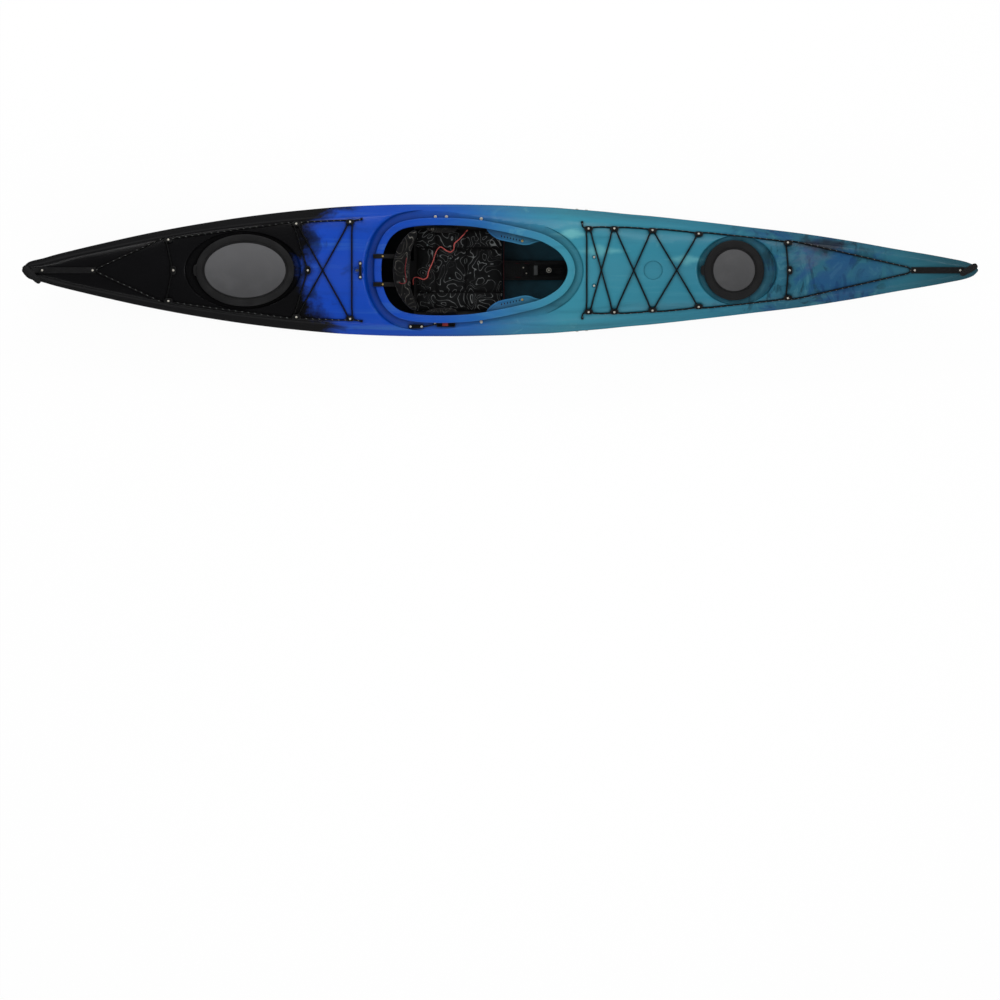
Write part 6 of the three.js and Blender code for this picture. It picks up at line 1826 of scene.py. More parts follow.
def swollen(thing, cap):
    """The cloth grid, blown up from inside; no point moves further than cap."""
    start = points_of(thing)
    cloth = thing.modifiers.new("stuffing", "CLOTH")
    for name, value in (
        ("quality", 5), ("tension_stiffness", 12), ("compression_stiffness", 12), ("shear_stiffness", 5),
        ("bending_stiffness", 0.4), ("use_pressure", True), ("uniform_pressure_force", 4.0),
    ):
        setattr(cloth.settings, name, value)
    cloth.settings.effector_weights.gravity = 0
    cloth.point_cache.frame_start = 1
    cloth.point_cache.frame_end = CLOTH_FRAMES
    scene = bpy.context.scene
    for number in range(1, CLOTH_FRAMES + 1):
        scene.frame_set(number)
    move = points_of(thing.evaluated_get(bpy.context.evaluated_depsgraph_get())) - start
    thing.modifiers.clear()
    length = np.linalg.norm(move, axis=1)
    factor = np.where(length > cap, cap / np.maximum(length, 1e-9), 1.0)
    set_points(thing, start + move * factor[:, None])
    scene.frame_set(1)


def stuffed(thing, voxel, cap):
    """The form as sewn cloth, swollen from inside within a cap."""
    remesh = thing.modifiers.new("cloth_grid", "REMESH")
    remesh.mode = "VOXEL"
    remesh.voxel_size = voxel
    baked(thing)
    swollen(thing, cap)
    calm = thing.modifiers.new("calm", "SMOOTH")
    calm.factor = 0.5
    calm.iterations = 3
    fine = thing.modifiers.new("fine", "SUBSURF")
    fine.levels = 1
    fine.render_levels = 1
    return baked(thing)


def pressed(thing, s):
    """Sewn channels, buttons' tufts and small creases pressed into the top."""
    p = points_of(thing)
    base = CUSHION_BASE + wing_rise(p[:, 1])
    up = np.clip((p[:, 2] - base - 0.01) / 0.012, 0, 1)
    seam = np.zeros(len(p))
    for c in CROSS_SEAMS:
        seam = np.maximum(seam, gauss(p[:, 0] - c, 0.0085))
    for c in LONG_SEAMS:
        seam = np.maximum(seam, 0.8 * gauss(p[:, 1] - c, 0.0075))
    tuft = np.zeros(len(p))
    for tx, ty in TUFTS:
        r = np.hypot(p[:, 0] - tx, p[:, 1] - ty)
        turn = np.arctan2(p[:, 1] - ty, p[:, 0] - tx)
        tuft = np.maximum(tuft, gauss(r, 0.013))
        fold = np.cos(turn * 5 + tx * 40) * gauss(r - 0.024, 0.014)
        p[:, 2] += fold * 0.0011 * up
    near = np.minimum(
        np.min([np.abs(p[:, 0] - c) for c in CROSS_SEAMS], axis=0),
        np.min([np.abs(p[:, 1] - c) for c in LONG_SEAMS], axis=0),
    )
    pucker = np.sin(p[:, 0] * 240 + np.sin(p[:, 1] * 90) * 2) * np.sin(p[:, 1] * 210 + 1.3)
    p[:, 2] += pucker * 0.0006 * gauss(near - 0.011, 0.01) * up
    p[:, 2] -= up * (s.channel_depth * seam + s.tuft_depth * tuft)
    p[:, 2] = np.maximum(p[:, 2], base)
    set_points(thing, p)


def build_seat(s):
    cushion = stuffed(cushion_form(s), 0.0058, 0.006)
    p = points_of(cushion)
    p[:, 0] = np.clip(p[:, 0], CUSHION["rear"], CUSHION["front"])
    p[:, 1] = np.clip(p[:, 1], -CUSHION["half"], CUSHION["half"])
    p[:, 2] = np.maximum(p[:, 2], CUSHION_BASE + wing_rise(p[:, 1]))
    set_points(cushion, p)
    pressed(cushion, s)
    cushion.name = "seat_cushion_cloth"
    settle(cushion, "cloth", "seat", sharp=None)
    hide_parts("seat_cushion")
    top = surface_finder(cushion)
    buttons = [Matrix.Translation((x, y, top(x, y) - 0.0008)) for x, y in TUFTS]
    dome = lathe("dome", [(0.0056, -0.001), (0.006, 0.0004), (0.0052, 0.0018), (0.0034, 0.0027), (0.0012, 0.0031)], 22)
    settle(repeated("seat_buttons", dome, buttons, "button"), "button", "seat")
    seam_strips(top)
    edge = CUSHION["front"] - 0.0015
    pipe = [
        (
            edge - CUSHION_PULL * (1 - (y / CUSHION["half"]) ** 2) + 0.0004,
            y,
            float(CUSHION_BASE + wing_rise(y)) + 0.0235,
        )
        for y in np.linspace(-0.186, 0.186, 60)
    ]
    settle(tube("cushion_piping", pipe, 0.0017, 8), "dark_piping", "seat", sharp=CORD_SHARP)
    for name in ("seat_pan", "seat_track", "skeg_box"):
        wear(name, "satin")


def wear(name, surface):
    """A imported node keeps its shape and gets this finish."""
    node = bpy.data.objects[name]
    node.data.materials.clear()
    node.data.materials.append(finish(surface))


def surface_finder(thing):
    """Height of a piece's top at a plan place."""
    tree = BVHTree.FromObject(thing, bpy.context.evaluated_depsgraph_get())

    def top(x, y):
        hit = tree.ray_cast(Vector((x, y, SKY)), Vector((0, 0, -1)))[0]
        return hit.z if hit else CUSHION_BASE

    return top


def seam_strips(top):
    """Webbing over the cushion's sewn seams, pressed into its channels."""
    strips = []
    for c in LONG_SEAMS:
        xs = np.linspace(CUSHION["rear"] + 0.012, CUSHION["front"] - 0.008, 90)
        path = [(x, c, top(x, c) + 0.0001) for x in xs]
        strips.append(strap("strip", path, (0, 1, 0), 0.008, 0.0012))
    for c in CROSS_SEAMS:
        ys = np.linspace(-CUSHION["half"] + 0.012, CUSHION["half"] - 0.012, 90)
        path = [(c, y, top(c, y) + 0.0001) for y in ys]
        strips.append(strap("strip", path, (1, 0, 0), 0.006, 0.001, flip=-1))
    webbing = joined("cushion_seams", strips)
    settle(webbing, "rim", "seat", sharp=SOFT)


# The loose cord's lie over the cushion from above, front to rear.
SEAT_CORD_PLAN = [
    (-0.149, 0.187),
    (-0.188, 0.144),
    (-0.211, 0.122),
    (-0.214, 0.097),
    (-0.227, 0.085),
    (-0.246, 0.09),
    (-0.275, 0.108),
    (-0.291, 0.094),
    (-0.312, 0.036),
    (-0.33, -0.005),
    (-0.337, -0.033),
    (-0.353, -0.042),
    (-0.373, -0.036),
    (-0.387, -0.032),
]


def build_seat_cord(s):
    """The loose red cord, laid over the cushion and down behind the pan."""
    r = s.seat_cord_radius
    top = surface_finder(bpy.data.objects["seat_cushion_cloth"])
    plan = curve_points([(x, y, 0) for x, y in SEAT_CORD_PLAN], 0.005)
    points = []
    for x, y, _ in plan:
        around = [(0, 0), (r, 0), (-r, 0), (0, r), (0, -r)]
        points.append((x, y, max(top(x + dx, y + dy) for dx, dy in around) + r * 0.96))
    heights = np.array([p[2] for p in points])
    for _ in range(6):
        spread_out = np.convolve(np.pad(heights, 1, mode="edge"), (0.25, 0.5, 0.25), "valid")
        heights = np.maximum(spread_out, [p[2] for p in points])
    points = [(x, y, z) for (x, y, _), z in zip(points, heights)]
    # Its end hangs down behind the pan.
    fall = -0.398 - r - 0.0009
    z = points[-1][2]
    points.append((fall + r * 1.2, -0.0365, z - r * 1.1))
    points += [(fall, y, z - r * down) for y, down in ((-0.045, 4), (-0.058, 8), (-0.07, 12))]
    path = curve_points(points, 0.004)
    cord = settle(tube("red_seat_cord", path, r, 12), "loose", "seat", "seat_cord", sharp=CORD_SHARP)


# The pads' domed form: how far off the shell's side, and how far inside the
# outline.
HIP_PAD_DOME = (
    (0.0, 0.002), (0.003, 0.0), (0.008, 0.004), (0.013, 0.013), (0.017, 0.026), (0.0195, 0.04), (0.021, 0.054)
)


HIP_PAD_BOX = (-0.3455, -0.1885, 0.1285, 0.2575)
HIP_PAD_FACE = 0.2007
HIP_PAD_SQUARENESS = 0.42


def build_hip_pads():
    x0, x1, z0, z1 = HIP_PAD_BOX
    face = HIP_PAD_FACE - 0.001
    for side, end in ((1, "port"), (-1, "starboard")):
        rings = []
        for depth, inset in HIP_PAD_DOME:
            ring = []
            for k in range(64):
                a = 2 * math.pi * k / 64
                c, d = (math.copysign(abs(v) ** HIP_PAD_SQUARENESS, v) for v in (math.cos(a), math.sin(a)))
                ring.append((
                    (x0 + x1) / 2 + ((x1 - x0) / 2 - inset) * c,
                    side * (face - depth),
                    (z0 + z1) / 2 + ((z1 - z0) / 2 - inset) * d,
                ))
            rings.append(ring)
        pad = stuffed(outward(lofted(f"hip_pad_{end}_cloth", rings)), 0.005, 0.005)
        p = points_of(pad)
        p[:, 1] = side * np.minimum(np.abs(p[:, 1]), HIP_PAD_FACE - 0.0001)
        # A cross of shallow sewn lines in the face.
        band = gauss(p[:, 2] - 0.19, 0.004) + gauss(p[:, 0] + 0.267, 0.003)
        inward = np.clip((0.195 - np.abs(p[:, 1])) / 0.01, 0, 1)
        p[:, 1] += side * 0.0022 * np.minimum(band, 1) * inward
        set_points(pad, p)
        settle(pad, "pad", "seat", sharp=None)
        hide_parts(f"hip_pad_{end}")


BAND = dict(low=0.148, high=0.284, rear=-0.491, sweep=0.109, half=0.186, round=0.014)
# Half outlines of the band's back and front: shares of its sweep and half width.
BAND_REAR_SHARES = [(0, 0), (0.037, 0.269), (0.174, 0.538), (0.468, 0.806), (0.835, 1)]
BAND_FRONT_SHARES = [(1, 0.989), (0.835, 0.699), (0.679, 0.403), (0.615, 0)]


def place_along(table, across):
    return float(np.interp(across, [b for _, b in table], [a for a, _ in table]))


def band_outline(tuck, grow, limit):
    """The band's closed outline from above; tuck pulls it in at its edges."""
    half = [(a, b, 1) for a, b in BAND_REAR_SHARES] + [(a, b, -1) for a, b in BAND_FRONT_SHARES]
    loop = half + [(a, -b, i) for a, b, i in half[-2:0:-1]]
    points = []
    for along, across, inward in loop:
        across *= limit
        if limit < 1:
            along = place_along(BAND_REAR_SHARES if inward > 0 else BAND_FRONT_SHARES[::-1], abs(across))
        hold = tuck * BAND["round"] * (1 - 0.8 * abs(across))
        y = across * (BAND["half"] - tuck * BAND["round"])
        points.append((BAND["rear"] + along * BAND["sweep"] + inward * (hold - grow), y, 0))
    return outline_of(points, 110)[0]


def band_body(name, low, high, grow, limit, pull):
    """The band, or its middle pad, as a blank with rounded edges."""
    turns = np.linspace(0, math.pi / 2, 6)
    steps = [(low + BAND["round"] * (1 - math.cos(t)), 1 - math.sin(t)) for t in turns]
    steps += [(low + (high - low) * k / 8, 0.0) for k in range(2, 7)]
    steps += [(high - BAND["round"] * (1 - math.cos(t)), 1 - math.sin(t)) for t in turns[::-1]]
    return outward(lofted(name, [
        [(x, y, z) for x, y in band_outline(tuck * pull, grow, limit)] for z, tuck in steps
    ]))


def build_back_band():
    low, high = BAND["low"], BAND["high"]
    band = stuffed(band_body("back_band_cloth", low + 0.001, high - 0.001, -0.001, 1.0, 1.0), 0.0052, 0.004)
    p = points_of(band)
    for y in (0.082, -0.082, 0.132, -0.132):
        notch = gauss(p[:, 1] - y, 0.0035)
        p[:, 0] += np.where(p[:, 0] > -0.455 + 0.4 * np.abs(p[:, 1]) ** 1.6, -1, 1) * notch * 0.0026
        p[:, 2] -= notch * 0.0025 * np.clip((p[:, 2] - 0.26) / 0.02, 0, 1)
    set_points(band, p)
    centre = stuffed(band_body("back_band_pad", low + 0.006, high + 0.001, 0.0018, 0.4, 0.8), 0.0046, 0.003)
    settle(band, "pad", "backrest", "back_band", sharp=None)
    settle(centre, "pad", "backrest", sharp=None)
    front = [(x + 0.0008, y) for x, y in band_outline(0.25, 0.0018, 0.4) if x > -0.45]
    front.sort(key=lambda q: -q[1])
    top = surface_finder(centre)
    plan = [(x - 0.014, y) for x, y in front if -0.052 < y < 0.06]
    x, y = plan[-1]
    plan += [(x - 0.005, y - 0.009), (x - 0.018, y - 0.0125), (x - 0.034, y - 0.006)]
    lead = [(x, y, top(x, y) + 0.0006) for x, y in plan]
    settle(tube("back_band_piping", curve_points(lead, 0.003), 0.0013, 8), "piping", "backrest", sharp=CORD_SHARP)
    straps, studs = [], []
    over = float(rim_height(COCKPIT_REAR)) + 0.0004
    band_x = BAND["rear"] + BAND["sweep"] * 0.045
    edge = COCKPIT_REAR + RIM_THICKNESS
    outer = COCKPIT_REAR - RIM_WIDTH + RIM_DROP
    for y in (0.065, -0.065):
        path = curve_points([
            (band_x - 0.0006, y, over - 0.0165),
            (band_x - 0.02, y, over - 0.0105),
            (edge + 0.004, y, over - 0.0012),
            (edge - 0.006, y, over + 0.0001),
            (outer + 0.012, y, over - 0.0006),
            (outer - 0.001, y, over - 0.0028),
            (outer - 0.0042, y, over - 0.0062),
            (outer - 0.0044, y, over - 0.0125),
        ], 0.0028)
        straps.append(strap("strap", path, (0, 1, 0), 0.02, 0.0022, flip=-1))
        studs.append(Matrix.Translation((COCKPIT_REAR + 0.006, y, over + 0.0016)))
    # The straps run between the rim and the band, and join no body.
    webbing = joined("back_strap_webbing", straps)
    settle(webbing, "webbing", None, "back_strap_port", "back_strap_starboard", sharp=SOFT)
    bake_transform(webbing)
    add_screws("back_strap_rivets", studs, 0.0042, 0.002, "brass")


# Seat track fittings

TONGUE_LOW = TRACK_TOP + REST_GAP
TONGUE_SLOT = (0.1775, 0.2795)
SLOT_HALF = 0.0054
CLAMP_X = 0.226


def stadium(x0, x1, half, z, count=24):
    """A ring with straight sides and round ends."""
    ring = []
    for middle, start in ((x1 - half, -math.pi / 2), (x0 + half, math.pi / 2)):
        for k in range(count):
            a = start + math.pi * k / (count - 1)
            ring.append((middle + half * math.cos(a), half * math.sin(a), z))
    return ring


def build_track():
    low = TONGUE_LOW
    plate = slab("plate", (0.0066, -0.036, low), (0.1603, 0.036, low + 0.005), edge=0.0014)
    arm = slab("arm", (0.152, -0.026, low), (0.3, 0.026, low + 0.0088), edge=0.0022, segments=3)
    well = [stadium(0.171, 0.286, 0.0155, low + 0.0068), stadium(0.17, 0.287, 0.0165, low + 0.02)]
    slot = [stadium(*TONGUE_SLOT, SLOT_HALF, z) for z in (low - 0.01, low + 0.02)]
    cut(arm, [outward(lofted("well", well)), outward(lofted("slot", slot))])
    parts = [plate, arm]
    lip_rings = []
    for half, rise in ((SLOT_HALF, 0.0064), (SLOT_HALF, 0.0086), (0.0062, 0.0092), (0.0078, 0.009), (0.0086, 0.0064)):
        extra = half - SLOT_HALF
        lip_rings.append(stadium(TONGUE_SLOT[0] - extra, TONGUE_SLOT[1] + extra, half, low + rise))
    parts.append(outward(lofted("lip", lip_rings, closed_loop=True)))
    for y in (-0.031, 0.031):
        parts.append(slab("rib", (0.012, y - 0.0016, low + 0.0045), (0.148, y + 0.0016, low + 0.0075), 0.0007))
    parts.append(slab("bar", (0.104, -0.024, low + 0.0045), (0.139, 0.024, low + 0.0105), 0.0022, 3))
    parts.append(slab("step", (0.1, -0.03, low + 0.0045), (0.1055, 0.03, low + 0.0084), 0.0012))
    for x in np.linspace(0.03, 0.09, 6):
        parts.append(slab("grip", (x - 0.0012, -0.02, low + 0.0046), (x + 0.0012, 0.02, low + 0.0058), 0.0005))
    tongue = joined("seat_tongue_plate", parts)
    settle(tongue, "fitting", "seat", "seat_tongue", sharp=CRISP)
    marks = joined("tongue_marks", [
        slab("mark", (x0, y - 0.0013, low + 0.0048), (x1, y + 0.0013, low + 0.0082), 0.0006)
        for x0, x1, y in ((0.072, 0.094, 0.0325), (0.112, 0.136, 0.0325), (0.072, 0.096, -0.0325))
    ])
    settle(marks, "dark_piping", "seat", sharp=CRISP, slot="red_plastic")
    hoop = slab("hoop", (0.157, -0.0225, low + 0.0082), (0.174, 0.0225, low + 0.0098), edge=0.0007)
    hoop.name = "tongue_hoop"
    settle(hoop, "wedge", "seat", sharp=CRISP)
    head = lathe("clamp_head", [
        (0.0052, low - 0.012),
        (0.0052, low + 0.0094),
        (0.0118, low + 0.0094),
        (0.0121, low + 0.0099),
        (0.0118, low + 0.0108),
        (0.009, low + 0.011),
        (0.0088, low + 0.0098),
        (0.0052, low + 0.0098),
        (0.0051, low + 0.0134),
        (0.0042, low + 0.0144),
        (0.0022, low + 0.0146),
        (0.0004, low + 0.0132),
    ], 40)
    collar = lathe("clamp_collar", [
        (0.00875, low + 0.0099),
        (0.00875, low + 0.0106),
        (0.0053, low + 0.0106),
        (0.0053, low + 0.0099),
    ], 40)
    settle(placed(collar, Matrix.Translation((CLAMP_X, 0, 0))), "fitting", "boat", sharp=CRISP)
    placed(head, Matrix.Translation((CLAMP_X, 0, 0)))
    settle(head, "steel", "boat", "seat_clamp_bolt", sharp=CRISP)
    ribs = []
    for side in (1, -1):
        for y, top in ((0.0428, 0.0022), (0.0388, 0.0012)):
            near = (-0.41, side * y - 0.0013, TRACK_TOP - 0.001)
            far = (0.328, side * y + 0.0013, TRACK_TOP + top)
            ribs.append(slab("rail", near, far, edge=0.0006))
    ribs = joined("track_ribs", ribs)
    settle(ribs, "fitting", "boat", sharp=CRISP)
    small = [Matrix.Translation((x, y, low + 0.0102)) for x, y in ((0.122, -0.014), (0.108, 0.012))]
    add_screws("tongue_screws", small, 0.0034, 0.0018, body="seat")


# Thigh braces and footrests

# Outline of a brace: shares of its length, from the rear, and of its width,
# from the inner side.
BRACE_SHARES = [
    (0, 0.649), (0.056, 0.477), (0.113, 0.369), (0.218, 0.234), (0.46, 0.108), (0.685, 0), (0.79, 0.009),
    (0.903, 0.099), (1, 0.171), (0.984, 0.405), (0.653, 0.676), (0.25, 0.892), (0.008, 1),
]
BRACE = dict(rear=-0.062, length=0.248, inner=0.117, width=0.111, thickness=0.006)
# The row of holes runs from the first place towards the screw at the second.
BRACE_ROW = ((0.278, 0.36), (0.665, 0.171))
BRACE_HOLES = 7
# The plate's section at its edge: how far inside the outline, and the height.
BRACE_EDGE = (
    (0.0018, -0.006), (0.0004, -0.0055), (0.0, -0.004), (0.0, -0.0018), (0.0006, -0.0006), (0.0024, -0.0001),
    (0.009, -0.0001), (0.0105, -0.0008), (0.012, -0.001),
)


def build_brace(end, side):
    run = (FLOOR_SHARES[-1][0] - FLOOR_SHARES[-2][0]) * HALF_LENGTH
    slope = math.atan2((FLOOR_SHARES[-1][1] - FLOOR_SHARES[-2][1]) * DECK_HEIGHT, run)
    top = float(sunk_height(0)) - (WALL + REST_GAP) / math.cos(slope)
    lie = Matrix.Translation((0, 0, top)) @ Matrix.Rotation(-slope, 4, "Y")

    def local(along, across):
        x = (BRACE["rear"] + along * BRACE["length"]) / math.cos(slope)
        return (x, side * (BRACE["inner"] + across * BRACE["width"]))

    points = [(*local(a, b), 0) for a, b in BRACE_SHARES]
    if side < 0:
        points = points[::-1]
    plate = stacked("plate", outline_of(points, 120), [(-inset, z) for inset, z in BRACE_EDGE])
    holes = []
    for k in range(BRACE_HOLES):
        x, y = local(*(a + (b - a) * (k / BRACE_HOLES) for a, b in zip(*BRACE_ROW)))
        hole = lathe("hole", [(0.0028, -0.02), (0.0028, 0.02)], 20, ratio=1.7)
        holes.append(placed(hole, Matrix.Translation((x, y, 0))))
    cut(plate, holes)
    plate.name = f"thigh_brace_{end}_plate"
    placed(plate, lie)
    settle(plate, "shell", f"brace_{end}", f"thigh_brace_{end}", sharp=CRISP, slot="brace_plastic")
    x, y = local(*BRACE_ROW[1])
    screw_place = lie @ Matrix.Translation((x, y, -0.0006))
    add_screws(f"brace_{end}_screw", [screw_place], 0.0055, 0.0028, "brass", f"brace_{end}")


BOLT_HEIGHT = 0.16


def build_footrests():
    for end in ("port", "starboard"):
        wear(f"footrest_rail_{end}", "satin")
        wear(f"foot_pedal_{end}", "fitting")
    heads = []
    for side in (1, -1):
        for x in (0.356, 0.4):
            ring = np.array(section_shape(x))
            port = ring[(ring[:, 1] > 0) & (ring[:, 2] < float(hull(x)["seam"]) - 0.002)]
            port = port[np.argsort(port[:, 2])]
            y = float(np.interp(BOLT_HEIGHT, port[:, 2], port[:, 1])) + 0.0042
            heads.append(Matrix.Translation((x, side * y, BOLT_HEIGHT)) @ Matrix.Rotation(-side * math.pi / 2, 4, "X"))
    add_screws("footrest_bolt_heads", heads, 0.0062, 0.0024)
    for name in ("rear_bulkhead", "front_bulkhead"):
        wear(name, "foam")


# Stage


WHITE = (1, 1, 1, 1)
FLOOR_HALF = 40.0
FLOOR_Z = -0.0006


def floor_material(s):
    """Paper that the camera sees nearly white, and reflections see as grey, so
    glossy sides keep their colour."""
    net = Net("floor_paper")
    tone = net.mix(net.noise(240.0, 2) * 0.04, (*s.floor_colour, 1.0), (0.8, 0.8, 0.8, 1.0))
    paper = net.make("ShaderNodeBsdfDiffuse", None, {"Color": tone})
    glow = net.make("ShaderNodeEmission", None, {"Color": WHITE, "Strength": 1.0})
    lit = net.mix_shader(net.ray("Camera") * s.floor_lift, paper, glow)
    dull = net.make("ShaderNodeBsdfDiffuse", None, {"Color": (0.05, 0.05, 0.05, 1.0)})
    shaded = net.mix_shader(net.ray("Glossy") * s.floor_dulling, lit, dull)
    net.make("ShaderNodeOutputMaterial", None, {0: shaded})
    return net.owner


def studio_world(s):
    """Even light from all round. The camera and reflections see a backdrop that
    darkens overhead, and reflections see it dimmer still."""
    world = bpy.data.worlds.new("studio")
    net = Net("studio", world)
    up = net.xyz(net.make("ShaderNodeTexCoord", out="Generated"))[2]
    fall = net.make("ShaderNodeMapRange", {"interpolation_type": "SMOOTHSTEP"}, {
        "Value": up, "From Min": 0.0, "From Max": 0.42, "To Min": 0.9, "To Max": s.zenith_level,
    })
    glossy = net.ray("Glossy")
    dimmed = net.make("ShaderNodeMapRange", None, {"Value": glossy, "To Min": 1.0, "To Max": s.backdrop_mirror})
    ground = net.make("ShaderNodeBackground", None, {"Color": WHITE, "Strength": s.world_level})
    backdrop = net.make("ShaderNodeBackground", None, {"Color": WHITE, "Strength": fall * dimmed})
    seen = net.ray("Camera").most(glossy).most(net.ray("Transmission"))
    net.make("ShaderNodeOutputWorld", None, {0: net.mix_shader(seen, ground, backdrop)})
    return world


def build_stage(s):
    scene = bpy.context.scene
    scene.view_settings.view_transform = "Standard"
    eye = bpy.data.cameras.new("overhead")
    eye.type = "ORTHO"
    eye.ortho_scale = s.view_width
    camera = bpy.data.objects.new("overhead", eye)
    camera.location = (0.0, -s.view_offset, 3.0)
    scene.collection.objects.link(camera)
    scene.camera = camera
    corners = [(x * FLOOR_HALF, y * FLOOR_HALF, FLOOR_Z) for x, y in ((-1, -1), (1, -1), (1, 1), (-1, 1))]
    floor = piece_from("floor", corners, [(0, 1, 2, 3)], False)
    floor.data.materials.append(floor_material(s))
    scene.world = studio_world(s)
    for name, place, width, depth, power, shines in (
        ("port_softbox", (-0.6, 3.0, 2.6), 5.6, 1.3, s.port_power, False),
        ("starboard_softbox", (0.4, -3.2, 2.4), 5.6, 1.1, s.starboard_power, False),
        ("overhead_softbox", (0.0, 0.0, 4.6), 5.0, 1.6, s.overhead_power, False),
        ("port_strip", (-0.3, 3.0, 2.9), 6.0, 0.22, s.strip_power, True),
        ("starboard_strip", (0.3, -3.0, 2.2), 6.0, 0.16, s.strip_power * 0.4, True),
        ("bow_strip", (3.6, 0.0, 2.4), 0.14, 2.6, s.strip_power * 0.35, True),
    ):
        light = bpy.data.lights.new(name, "AREA")
        light.shape = "RECTANGLE"
        light.size = width
        light.size_y = depth
        light.energy = power
        lamp = bpy.data.objects.new(name, light)
        lamp.location = place
        aim = Vector((0, 0, 0.2)) - Vector(place)
        lamp.visible_glossy = shines
        lamp.rotation_euler = aim.to_track_quat("-Z", "X" if abs(aim.z) > 4 else "Y").to_euler()
        scene.collection.objects.link(lamp)


# Settings, operators and panel


def length(name, description, default):
    return bpy.props.FloatProperty(
        name=name, description=description, default=default, unit="LENGTH", subtype="DISTANCE"
    )


def amount(name, description, default, kind="NONE"):
    return bpy.props.FloatProperty(name=name, description=description, default=default, subtype=kind)


class KayakSettings(bpy.types.PropertyGroup):
    """Sizes of the dressed pieces."""

    wall: length("Wall", "Thickness of the moulded shell", WALL)
    cushion_height: length("Cushion height", "Height of the cushion at its edge", 0.027)
    cushion_crown: length("Cushion crown", "How much its middle stands above its edge", 0.008)
    channel_depth: length("Channel depth", "Depth of the cushion's sewn channels", 0.014)
    tuft_depth: length("Tuft depth", "Depth of the cushion's buttoned tufts", 0.014)
    seat_cord_radius: length("Seat cord radius", "Radius of the loose red cord", 0.0025)


class StageSettings(bpy.types.PropertyGroup):
    """View and light."""

    view_width: length("View width", "Width of what the camera sees", 4.623)
    view_offset: length("View offset", "How far the boat lies above the picture's middle", 1.062)
    floor_colour: bpy.props.FloatVectorProperty(
        name="Floor colour", description="Colour of the white floor", default=(1.0, 1.0, 1.0), subtype="COLOR"
    )
    floor_lift: amount("Floor lift", "Share of plain white that the camera sees in the floor", 0.95, "FACTOR")
    floor_dulling: amount("Floor dulling", "How much darker reflections see the floor", 0.94, "FACTOR")
    backdrop_mirror: amount("Mirrored backdrop", "Share of the backdrop's light that reflections see", 0.45)
    world_level: amount("World level", "Strength of the light from all round", 0.62)
    zenith_level: amount("Zenith level", "Brightness overhead in reflections", 0.05)
    port_power: amount("Port light", "Power of the port softbox", 45.0)
    starboard_power: amount("Starboard light", "Power of the starboard softbox", 23.0)
    overhead_power: amount("Overhead light", "Power of the overhead softbox", 30.0)
    strip_power: amount("Strip lights", "Power of the strip that draws the highlights", 14.0)


class KAYAK_OT_stage(bpy.types.Operator):
    """Set up the overhead camera, white floor, world and softboxes"""

    bl_idname = "kayak.stage"
    bl_label = "Stage"

    def execute(self, context):
        build_stage(context.scene.kayak_stage)
        return {"FINISHED"}


class KAYAK_OT_deck_lines(bpy.types.Operator):
    """Braid the grab lines and stretch cords on the deck"""

    bl_idname = "kayak.deck_lines"
    bl_label = "Deck lines"

    def execute(self, context):
        build_deck_cords()
        return {"FINISHED"}


class KAYAK_OT_seat(bpy.types.Operator):
    """Build the cushion, hip pads and the loose red cord on the pan"""

    bl_idname = "kayak.seat"
    bl_label = "Seat"

    def execute(self, context):
        build_seat(context.scene.kayak_settings)
        build_seat_cord(context.scene.kayak_settings)
        build_hip_pads()
        return {"FINISHED"}


class KAYAK_OT_back_band(bpy.types.Operator):
    """Build the padded back band and its two straps"""

    bl_idname = "kayak.back_band"
    bl_label = "Back band"

    def execute(self, context):
        build_back_band()
        return {"FINISHED"}


class KAYAK_OT_shell(bpy.types.Operator):
    """Build the shell with its cockpit rim and hatch bays"""

    bl_idname = "kayak.shell"
    bl_label = "Shell"

    def execute(self, context):
        build_shell(context.scene.kayak_settings)
        return {"FINISHED"}


class KAYAK_OT_lids(bpy.types.Operator):
    """Build both hatch lids"""

    bl_idname = "kayak.lids"
    bl_label = "Hatch lids"

    def execute(self, context):
        for key in HATCHES:
            build_lid(key)
        return {"FINISHED"}


class KAYAK_OT_fittings(bpy.types.Operator):
    """Build the deck fittings, screws and pad-eye"""

    bl_idname = "kayak.fittings"
    bl_label = "Deck fittings"

    def execute(self, context):
        build_fittings()
        build_pad_eye()
        return {"FINISHED"}


class KAYAK_OT_handles(bpy.types.Operator):
    """Build the two carry handles"""

    bl_idname = "kayak.handles"
    bl_label = "Carry handles"

    def execute(self, context):
        build_handle("stern", STERN_STRAP, -2.165, -0.020, 0.112, math.pi / 4, STERN_STRAP[0])
        build_handle("bow", BOW_STRAP, 2.167, 0.002, 0.092, -math.pi / 3, BOW_STRAP[1])
        return {"FINISHED"}


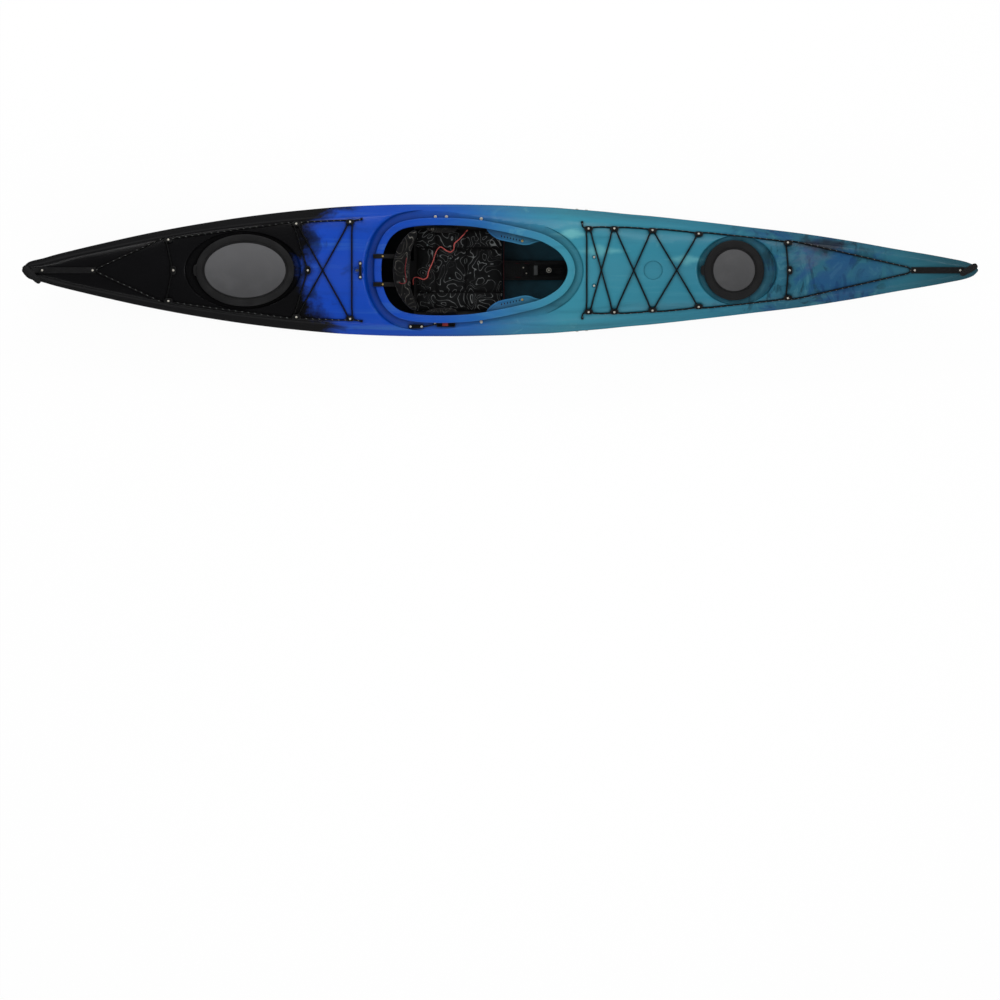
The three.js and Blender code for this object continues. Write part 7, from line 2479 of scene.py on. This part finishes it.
class KAYAK_OT_skeg(bpy.types.Operator):
    """Build the skeg, its line and its slider on the sunk floor"""

    bl_idname = "kayak.skeg"
    bl_label = "Skeg"

    def execute(self, context):
        build_skeg_control()
        build_skeg()
        return {"FINISHED"}


class KAYAK_OT_track(bpy.types.Operator):
    """Build the seat's tongue, clamp bolt and track"""

    bl_idname = "kayak.track"
    bl_label = "Seat track"

    def execute(self, context):
        build_track()
        return {"FINISHED"}


class KAYAK_OT_braces(bpy.types.Operator):
    """Build the thigh braces, and finish the footrests and bulkheads"""

    bl_idname = "kayak.braces"
    bl_label = "Braces and footrests"

    def execute(self, context):
        build_brace("port", 1)
        build_brace("starboard", -1)
        build_footrests()
        return {"FINISHED"}


STEPS = (
    KAYAK_OT_stage,
    KAYAK_OT_deck_lines,
    KAYAK_OT_seat,
    KAYAK_OT_back_band,
    KAYAK_OT_shell,
    KAYAK_OT_lids,
    KAYAK_OT_fittings,
    KAYAK_OT_handles,
    KAYAK_OT_skeg,
    KAYAK_OT_track,
    KAYAK_OT_braces,
)


class KAYAK_PT_sidebar(bpy.types.Panel):
    """The kayak's sizes and steps"""

    bl_idname = "KAYAK_PT_sidebar"
    bl_label = "Sea kayak"
    bl_space_type = "VIEW_3D"
    bl_region_type = "UI"
    bl_category = "Kayak"

    def draw(self, context):
        for group in (context.scene.kayak_settings, context.scene.kayak_stage):
            box = self.layout.box()
            for name in group.bl_rna.properties.keys():
                if name not in ("rna_type", "name"):
                    box.prop(group, name)
        for step in STEPS:
            self.layout.operator(step.bl_idname)


CLASSES = (KayakSettings, StageSettings, *STEPS, KAYAK_PT_sidebar)


def register():
    for kind in CLASSES:
        bpy.utils.register_class(kind)
    bpy.types.Scene.kayak_settings = bpy.props.PointerProperty(type=KayakSettings)
    bpy.types.Scene.kayak_stage = bpy.props.PointerProperty(type=StageSettings)


def unregister():
    del bpy.types.Scene.kayak_settings
    del bpy.types.Scene.kayak_stage
    for kind in reversed(CLASSES):
        bpy.utils.unregister_class(kind)


def main():
    register()
    for step in STEPS:
        group, name = step.bl_idname.split(".")
        getattr(getattr(bpy.ops, group), name)()


if __name__ == "__main__":
    main()
